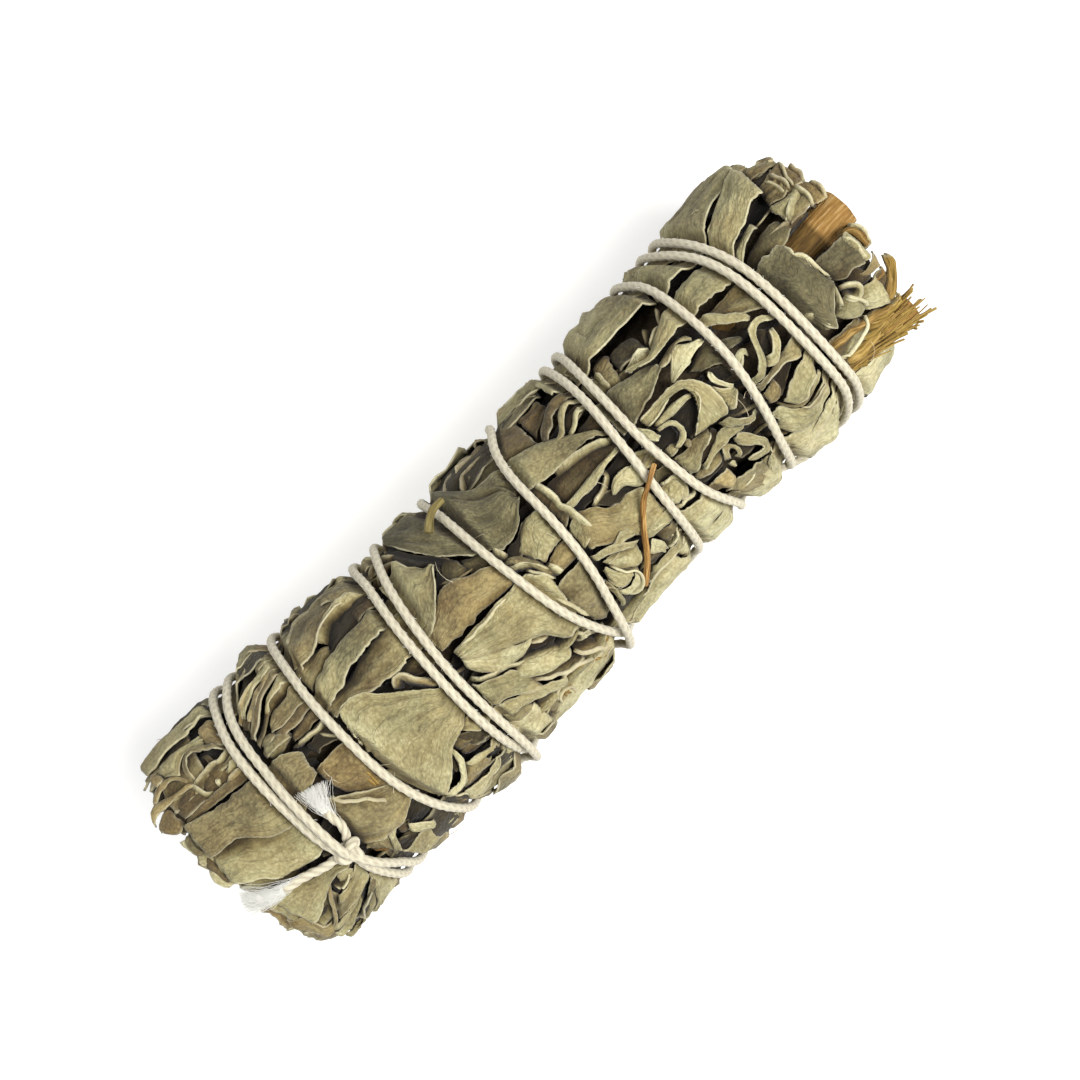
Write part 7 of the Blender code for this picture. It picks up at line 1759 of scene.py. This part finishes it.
def frayed(run, draw):
    """The loose fibres of a cut tail, fanning out from its middle."""
    ground = on_top(smooth_line(run, FRAY_PLACES))
    last = FRAY_PLACES - 1
    heading = ground[last] - ground[last - 3]
    length = math.hypot(heading[0], heading[1] * TOP_RISE)
    lines = []
    for _ in range(chosen().tail_fibres):
        first = draw.choice((3, 4, 5, 6, 7))
        spread = draw.gauss(0, 0.8)
        rise = draw.uniform(-0.4, 0.5)
        past = draw.uniform(0.75, 1.25)
        line = []
        for number in range(first, FRAY_PLACES):
            share = (number - first) / (last - first)
            x, angle = ground[number]
            x = x + heading[0] * 0.5 * share * past
            aside = spread * share**1.3 * 0.9 + 0.12 * draw.uniform(-1, 1)
            x = x - heading[1] * TOP_RISE / length * aside
            angle = angle + heading[0] / length * aside / TOP_RISE + heading[1] * 0.5 * share * past
            lift = TAIL_LIFT + rise * share + draw.uniform(-0.1, 0.15)
            line.append(place(x, angle, outline_radius(x, angle) + lift))
        lines.append(line)
    return lines


def fuzz(points, draw):
    """Short loose hairs along the string."""
    lines = []
    for _ in range(chosen().fuzz_hairs):
        number = draw.randrange(3, len(points) - 3)
        heading = points[number + 1] - points[number - 1]
        heading = heading / np.linalg.norm(heading)
        side = np.array([draw.gauss(0, 1) for _ in range(3)])
        side = side - heading * (side @ heading)
        side = side / np.linalg.norm(side)
        start = points[number] + side * STRING_DIAMETER * 0.4
        reach = draw.uniform(*FUZZ_LENGTH)
        tip = side * reach * draw.uniform(0.2, 0.8) + heading * reach * draw.choice((-1, 1))
        sag = side * reach * 0.25
        lines.append([start, start + tip * 0.4 + sag, start + tip * 0.75 + sag, start + tip])
    return lines


def build_string():
    """The string in three twisted plies, its knot and tails, and its loose fibres."""
    draw = random.Random(41)
    points = string_points(*string_route(FINE_STEP))
    whole = smooth_line(points[::2], int(len(points) * 0.8))
    cords = {"string": whole, "knot": knot_line()}
    lines = fuzz(whole, draw)
    for number, (run, count) in enumerate(zip(TAIL_RUNS, TWISTED_PLACES)):
        cords[f"tail_{number}"] = tail_points(run)[:count]
        lines += frayed(run, draw)
    pieces = [rod(name, line, strand, STRAND_SIDES, dome=0.2) for name, line in cords.items()]
    pieces.append(thread_curve("string_hairs", lines, chosen().fibre_thickness / MM))
    shown("string", pieces, string_finish(), "string")


def splinters():
    """Fibres torn off the split stem, fanning out past its end."""
    draw = random.Random(61)
    start, end, diameter = STEMS["stem_split"]
    start = np.array(start)
    way = np.array(end) - start
    length = np.linalg.norm(way)
    way = way / length
    pieces = []
    for number in range(chosen().splinters):
        size = draw.uniform(*SPLINTER_THICKNESS)
        first = draw.uniform(0.42, 0.93) * length
        last = first + draw.uniform(2.5, 7.0)
        last = min(last, length + draw.uniform(-1.6, 1.8))
        around = draw.uniform(-1.9, 1.9)
        fan = draw.uniform(0.0, 0.9) * math.sin(around)
        bow = draw.uniform(-0.2, 0.5)
        aside = np.array((0.0, math.sin(around), math.cos(around)))
        line = []
        for share in np.linspace(0, 1, 9):
            out = diameter / 2 * (0.9 + 0.12 * share) + 0.25 * bow * math.sin(math.pi * share)
            out += 0.1 * rough(share * 3, 0.5, number)
            at = start + way * (first + (last - first) * share) + aside * out
            at[1] += fan * share**2 * 0.9 + 0.15 * rough(share * 2.5, 1.5, number)
            line.append(at)

        def radius(along, angle, size=size, number=number):
            return size / 2 * (0.9 + 0.25 * rough(along / 0.8, np.cos(angle), number))

        look = (draw.uniform(0.3, 1.0), 1.0)
        pieces.append(rod(f"splinter_{number}", line, radius, SPLINTER_SIDES, 2, 0.1, look))
    return pieces


def build_stems():
    """The stems, with ridged bark and raw cut ends, and the torn fibres of the split one."""
    material = bark_finish()
    for number, (name, (start, end, diameter)) in enumerate(STEMS.items()):
        length = np.linalg.norm(np.array(end) - start)
        line = smooth_line([start, end], int(length / 0.6))

        def radius(along, angle, number=number, length=length, half=diameter / 2):
            taper = 1 + (STEM_TAPER - 1) * along / length
            ridges = 0.06 * rough(along / 3.0, angle * 2.2, number) * np.sin(angle / 2)
            ridges = ridges + 0.03 * np.sin(angle * 7 + 0.4 * np.sin(along))
            worn = -0.12 * np.maximum(0, rough(along / 5, np.cos(angle) * 1.5, number + 20))
            return half * (taper * 0.97 + ridges + worn)

        shown(name, [rod(name, line, radius, STEM_SIDES, 5)], material, name)
    shown("split_fibres", splinters(), shred_finish(), "stem_split")


def build_straws():
    """The dry stalk and the olive stub, which lie over the string."""
    for name, (line, lifts, diameter, taper) in STRAWS.items():
        route = smooth_line(np.column_stack([on_top(line), lifts]), 60)
        points = place(route[:, 0], route[:, 1], outline_radius(route[:, 0], route[:, 1]) + route[:, 2])
        length = np.linalg.norm(np.diff(points, axis=0), axis=1).sum()

        def radius(along, angle, length=length, diameter=diameter, taper=taper):
            size = diameter / 2 * (1 + (taper - 1) * along / length)
            return size * (0.93 + 0.1 * rough(along / 2.0, np.cos(angle) * 1.6, 8) + 0.07 * np.sin(angle * 3))

        material, slot = (olive_finish(), "olive_stub") if name == "leaf_stub" else (straw_finish(), "dry_straw")
        shown(name, [rod(name, points, radius, STRAW_SIDES, 4, 0.15)], material, name)


def build_shreds():
    """The brown shreds placed from the photo, and hairs strewn over the bunch."""
    pieces = []
    for number, (line, width, lift, light) in enumerate(SHREDS):
        pieces.append(ridge(f"shred_{number}", on_top(line), width, lift, (light, 1.0), number + 700.5, 0.5, 0.15))
    shown("brown_shreds", pieces, shred_finish(), "leaf_bunch")
    draw = random.Random(51)
    lines = []
    for _ in range(chosen().chaff_hairs):
        x = draw.uniform(*CHAFF_X)
        angle = draw.uniform(0, TURN)
        reach = draw.uniform(*CHAFF_LENGTH)
        turn = draw.uniform(0, TURN)
        bend = draw.uniform(-0.6, 0.6)
        share = np.array(QUARTERS)
        here = x + reach * share * np.cos(turn + bend * share)
        round_by = angle + reach * share * np.sin(turn + bend * share) / TOP_RISE
        radius = pressed(here, round_by, outline_radius(here, round_by) + 0.4)
        line = place(here, round_by, radius + 0.25 * np.sin(share * 3))
        line[:, 2] = np.maximum(line[:, 2], FLOOR_GAP)
        lines.append(line)
    hairs = thread_curve("loose_hairs", lines, CHAFF_THICKNESS)
    shown("loose_hairs", [hairs], hair_finish(), "leaf_bunch")


def polar(obj):
    """x, angle and radius from the bunch's axis of all the object's points, in millimetres."""
    points = np.empty(len(obj.data.vertices) * 3, np.float32)
    obj.data.vertices.foreach_get("co", points)
    points = points.reshape(-1, 3) / MM + BOX_MIDDLE
    aside = points[:, 1] - cross_section(points[:, 0])[0]
    up = points[:, 2] - AXIS_HEIGHT
    return points[:, 0], np.arctan2(aside, up), np.hypot(aside, up)


def blurred(net, reach):
    """The net evened out over this many cells to each side. It goes round along its second side."""
    for axis in (0, 1, 0, 1):
        total = net.copy()
        for step in range(1, reach + 1):
            if axis:
                total += np.roll(net, step, 1) + np.roll(net, -step, 1)
            else:
                total += np.vstack([net[:1]] * step + [net[:-step]]) + np.vstack([net[step:]] + [net[-1:]] * step)
        net = total / (2 * reach + 1)
    return net


def build_crevices():
    """Marks how deep each point of the leaves lies under the outermost pieces near it."""
    leaves = [bpy.data.objects[name] for name in LEAF_PIECES]
    round_cells = int(TURN * TOP_RISE / NOOK_CELL)
    long_cells = int(2 * NOOK_REACH_X / NOOK_CELL)
    last_column = long_cells - 1.01
    net = np.zeros((long_cells, round_cells))
    places = {}
    for obj in leaves + [bpy.data.objects["string"]]:
        x, angle, radius = polar(obj)
        column = np.clip((x + NOOK_REACH_X) / NOOK_CELL, 0, last_column)
        row = (angle + math.pi) / TURN * round_cells
        np.maximum.at(net, (column.astype(int), row.astype(int) % round_cells), radius)
        places[obj.name] = (column, row, radius)
    for _ in range(2):
        near = np.max([np.roll(net, way, axis) for axis in (0, 1) for way in (-1, 1)], axis=0)
        net = np.where(net == 0, near, net)
    around = sum(share * blurred(net, reach) for share, reach in NOOK_BLURS)
    for obj in leaves:
        column, row, radius = places[obj.name]
        column = np.clip(column - 0.5, 0, last_column)
        row = (row - 0.5) % round_cells
        low = row.astype(int)
        nook = between(around, column, row, low, (low + 1) % round_cells) - radius
        x = column * NOOK_CELL - NOOK_REACH_X
        inside = np.clip(np.minimum(x - LEFT_FACE, RIGHT_FACE - x) / 3, 0, 1)
        mark(obj.data, "nook", "FLOAT", nook * inside)


def build_stage():
    """The paper under the stick, the sky, the two lamps and the camera."""
    scene = bpy.context.scene
    floor_mesh = bpy.data.meshes.new("floor")
    bm = bmesh.new()
    bmesh.ops.create_grid(bm, x_segments=1, y_segments=1, size=PAPER_HALF_WIDTH)
    bm.to_mesh(floor_mesh)
    bm.free()
    floor = bpy.data.objects.new("floor", floor_mesh)
    scene.collection.objects.link(floor)
    floor_mesh.materials.append(floor_finish())
    scene.view_settings.view_transform = "Standard"
    scene.view_settings.look = "None"
    world = bpy.data.worlds.new("studio")
    world.use_nodes = True
    sky = world.node_tree.nodes["Background"].inputs
    sky["Color"].default_value = (1.0, 1.0, 1.0, 1)
    sky["Strength"].default_value = chosen().world_strength
    scene.world = world
    for name, spot, size, colour in LIGHTS:
        lamp = bpy.data.lights.new(name, "AREA")
        lamp.size = size
        lamp.energy = getattr(chosen(), f"{name}_power")
        lamp.color = colour
        hung = bpy.data.objects.new(name, lamp)
        hung.location = spot
        hung.rotation_euler = Vector(spot).to_track_quat("Z", "Y").to_euler()
        scene.collection.objects.link(hung)
    camera_data = bpy.data.cameras.new("camera")
    camera_data.sensor_width = SENSOR_WIDTH
    camera_data.lens = PHOTO_PIXELS_A_MM * EYE_HEIGHT / PHOTO_WIDTH * SENSOR_WIDTH
    camera_data.clip_start = NEAREST_SEEN
    camera = bpy.data.objects.new("camera", camera_data)
    camera.location = to_world(np.array((EYE_X, EYE_Y, AXIS_HEIGHT + EYE_HEIGHT)))
    camera.rotation_euler = (0, 0, -STICK_TURN)
    scene.collection.objects.link(camera)
    scene.camera = camera


def hair_finish():
    """Pale loose hairs."""
    made, tree, shader = finish("pale hairs", 0.8)
    tone = noise(tree, object_place(tree), 300.0)
    paint(tree, shader, ramp(tree, tone, ((0.35, (0.34, 0.28, 0.17)), (0.65, (0.72, 0.66, 0.5)))))
    return made


def stalk_finish(name, dark, middle, pale):
    """A dry stalk with lengthwise fibres."""
    made, tree, shader = finish(name, 0.6)
    mask = fibres_along(tree, 0.3, 5.0)
    paint(tree, shader, ramp(tree, mask, (dark, middle, pale)))
    raise_surface(tree, shader, mask, 0.7, 0.15)
    return made


def straw_finish():
    return stalk_finish("dry straw", (0.35, (0.07, 0.028, 0.005)), (0.5, (0.25, 0.125, 0.03)),
                        (0.66, (0.56, 0.36, 0.13)))


def olive_finish():
    return stalk_finish("olive leaf stub", (0.3, (0.05, 0.042, 0.012)), (0.5, (0.16, 0.125, 0.04)),
                        (0.72, (0.3, 0.25, 0.1)))


def floor_finish():
    """Matt white paper."""
    made, tree, shader = finish("white paper", 0.9)
    tone = noise(tree, object_place(tree), 25.0)
    paint(tree, shader, ramp(tree, tone, ((0.3, (0.42, 0.42, 0.41)), (0.7, (0.44, 0.44, 0.43)))))
    shader.inputs["Emission Color"].default_value = (1.0, 1.0, 1.0, 1)
    shader.inputs["Emission Strength"].default_value = chosen().floor_glow
    return made


def colour_choice(label, told, default):
    """A colour in the sidebar."""
    return bpy.props.FloatVectorProperty(name=label, description=told, default=default, subtype="COLOR", min=0, max=1)


def length_choice(label, told, default):
    """A length in the sidebar, given here in millimetres."""
    return bpy.props.FloatProperty(name=label, description=told, default=default * MM, min=0.00001, precision=5,
                                   unit="LENGTH")


def count_choice(label, told, default):
    return bpy.props.IntProperty(name=label, description=told, default=default, min=1, max=2000)


class SageSettings(bpy.types.PropertyGroup):
    """The stick's colours, sizes and numbers of pieces"""

    leaf_pale: colour_choice("Pale leaf", "Colour of the palest leaves", LEAF_PALE)
    leaf_mid: colour_choice("Middle leaf", "Colour of most leaves", LEAF_MID)
    leaf_grey: colour_choice("Grey leaf", "Colour of the darkest green leaves", LEAF_GREY)
    tan_pale: colour_choice("Pale tan leaf", "Colour of the palest withered leaves", TAN_PALE)
    tan_mid: colour_choice("Tan leaf", "Colour of most withered leaves", TAN_MID)
    tan_brown: colour_choice("Brown leaf", "Colour of the darkest withered leaves", TAN_BROWN)
    # The rim colour is a painted highlight on the leaves' edges
    rim: colour_choice("Leaf rim", "Colour of a leaf's woolly edge", RIM_HIGHLIGHT)
    string_pale: colour_choice("String", "Colour of the cotton's raised fibres", STRING_PALE)
    string_mid: colour_choice("String, shaded", "Colour between the cotton's fibres", STRING_MID)
    fluff: colour_choice("Fluff", "Colour of the string's loose fibres", FLUFF_COLOUR)
    bark: colour_choice("Bark", "Colour of the stems' bark", BARK_MID)
    wood: colour_choice("Wood", "Colour of the stems' raw wood", WOOD_MID)
    leaf_thickness: length_choice("Leaf thickness", "Thickness of a leaf", LEAF_THICKNESS)
    leaf_face: length_choice("Leaf face", "Size of the faces of the leaves on top", LEAF_FACE)
    rim_thickness: length_choice("Rim thickness", "Thickness of a leaf that stands on edge", RIM_THICKNESS)
    twist_length: length_choice("Twist length", "Length of one turn of the string's plies", TWIST_LENGTH)
    fibre_thickness: length_choice("Fibre thickness", "Thickness of a loose cotton fibre", FIBRE_THICKNESS)
    filling: count_choice("Filling", "Number of strips, and of rims, deep in the bunch", FILLING)
    side_leaves: count_choice("Side leaves", "Number of small leaves round the sides and underside", SIDE_LEAVES)
    splinters: count_choice("Splinters", "Number of fibres torn off the split stem", SPLINTERS)
    tail_fibres: count_choice("Tail fibres", "Number of loose fibres at each cut end of the string", TAIL_FIBRES)
    fuzz_hairs: count_choice("Fuzz", "Number of short hairs along the string", FUZZ_HAIRS)
    chaff_hairs: count_choice("Chaff", "Number of loose hairs on the leaves", CHAFF_HAIRS)
    world_strength: bpy.props.FloatProperty(
        name="Sky", description="Strength of the even light from all sides", default=WORLD_STRENGTH, min=0, max=5)
    floor_glow: bpy.props.FloatProperty(
        name="Paper glow", description="Light that the white paper gives out", default=FLOOR_GLOW, min=0, max=5)
    key_power: bpy.props.FloatProperty(
        name="Key lamp", description="Power of the main lamp", default=KEY_POWER, min=0, max=100, unit="POWER")
    fill_power: bpy.props.FloatProperty(
        name="Fill lamp", description="Power of the lamp on the other side", default=FILL_POWER, min=0, max=100,
        unit="POWER")


class SAGE_OT_core(bpy.types.Operator):
    """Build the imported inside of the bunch"""

    bl_idname = "sage.core"
    bl_label = "Packed core"

    def execute(self, context):
        build_core()
        return {"FINISHED"}


class SAGE_OT_open_leaves(bpy.types.Operator):
    """Build the leaves that lie open on top and those under the string at the sides"""

    bl_idname = "sage.open_leaves"
    bl_label = "Open leaves"

    def execute(self, context):
        build_open_leaves()
        return {"FINISHED"}


class SAGE_OT_folded_leaves(bpy.types.Operator):
    """Build the leaves on top that are folded over or stand on edge"""

    bl_idname = "sage.folded_leaves"
    bl_label = "Folded leaves"

    def execute(self, context):
        build_ridges()
        return {"FINISHED"}


class SAGE_OT_filling(bpy.types.Operator):
    """Build the strips and rims deep in the bunch"""

    bl_idname = "sage.filling"
    bl_label = "Filling"

    def execute(self, context):
        build_filling()
        return {"FINISHED"}


class SAGE_OT_side_leaves(bpy.types.Operator):
    """Build the leaves round the sides and the underside"""

    bl_idname = "sage.side_leaves"
    bl_label = "Side leaves"

    def execute(self, context):
        build_round_leaves()
        return {"FINISHED"}


class SAGE_OT_ends(bpy.types.Operator):
    """Build the cut leaves and ribs that stand out of both ends"""

    bl_idname = "sage.ends"
    bl_label = "Chopped ends"

    def execute(self, context):
        build_ends()
        return {"FINISHED"}


class SAGE_OT_string(bpy.types.Operator):
    """Build the string, its knot, tails and loose fibres"""

    bl_idname = "sage.string"
    bl_label = "Cotton string"

    def execute(self, context):
        build_string()
        return {"FINISHED"}


class SAGE_OT_stems(bpy.types.Operator):
    """Build the stems and the torn fibres of the split one"""

    bl_idname = "sage.stems"
    bl_label = "Stems"

    def execute(self, context):
        build_stems()
        return {"FINISHED"}


class SAGE_OT_straws(bpy.types.Operator):
    """Build the dry stalk and the olive stub that lie on the leaves"""

    bl_idname = "sage.straws"
    bl_label = "Stalk and stub"

    def execute(self, context):
        build_straws()
        return {"FINISHED"}


class SAGE_OT_shreds(bpy.types.Operator):
    """Build the brown shreds and the loose hairs"""

    bl_idname = "sage.shreds"
    bl_label = "Brown shreds"

    def execute(self, context):
        build_shreds()
        return {"FINISHED"}


class SAGE_OT_crevices(bpy.types.Operator):
    """Mark how deep each leaf lies, for the shade between the leaves"""

    bl_idname = "sage.crevices"
    bl_label = "Crevice shading"

    def execute(self, context):
        build_crevices()
        return {"FINISHED"}


class SAGE_OT_stage(bpy.types.Operator):
    """Build the paper, the lamps and the camera"""

    bl_idname = "sage.stage"
    bl_label = "Stage"

    def execute(self, context):
        build_stage()
        return {"FINISHED"}


OPERATORS = (
    SAGE_OT_core,
    SAGE_OT_open_leaves,
    SAGE_OT_folded_leaves,
    SAGE_OT_filling,
    SAGE_OT_side_leaves,
    SAGE_OT_ends,
    SAGE_OT_string,
    SAGE_OT_stems,
    SAGE_OT_straws,
    SAGE_OT_shreds,
    SAGE_OT_crevices,
    SAGE_OT_stage,
)


class SAGE_PT_panel(bpy.types.Panel):
    """The stick's settings and its parts, in the order in which they are built"""

    bl_label = "Sage stick"
    bl_idname = "SAGE_PT_panel"
    bl_space_type = "VIEW_3D"
    bl_region_type = "UI"
    bl_category = "Sage"

    def draw(self, context):
        for name in SageSettings.__annotations__:
            self.layout.prop(context.scene.sage, name)
        for operator in OPERATORS:
            self.layout.operator(operator.bl_idname)


CLASSES = (SageSettings, *OPERATORS, SAGE_PT_panel)


def register():
    for kind in CLASSES:
        bpy.utils.register_class(kind)
    bpy.types.Scene.sage = bpy.props.PointerProperty(type=SageSettings)


def unregister():
    del bpy.types.Scene.sage
    for kind in reversed(CLASSES):
        bpy.utils.unregister_class(kind)


def main():
    """Builds the stick in order."""
    register()
    for operator in OPERATORS:
        getattr(bpy.ops.sage, operator.bl_idname.partition(".")[2])()
    for pattern, *_ in BLANKS.values():
        bpy.data.meshes.remove(pattern)


if __name__ == "__main__":
    main()
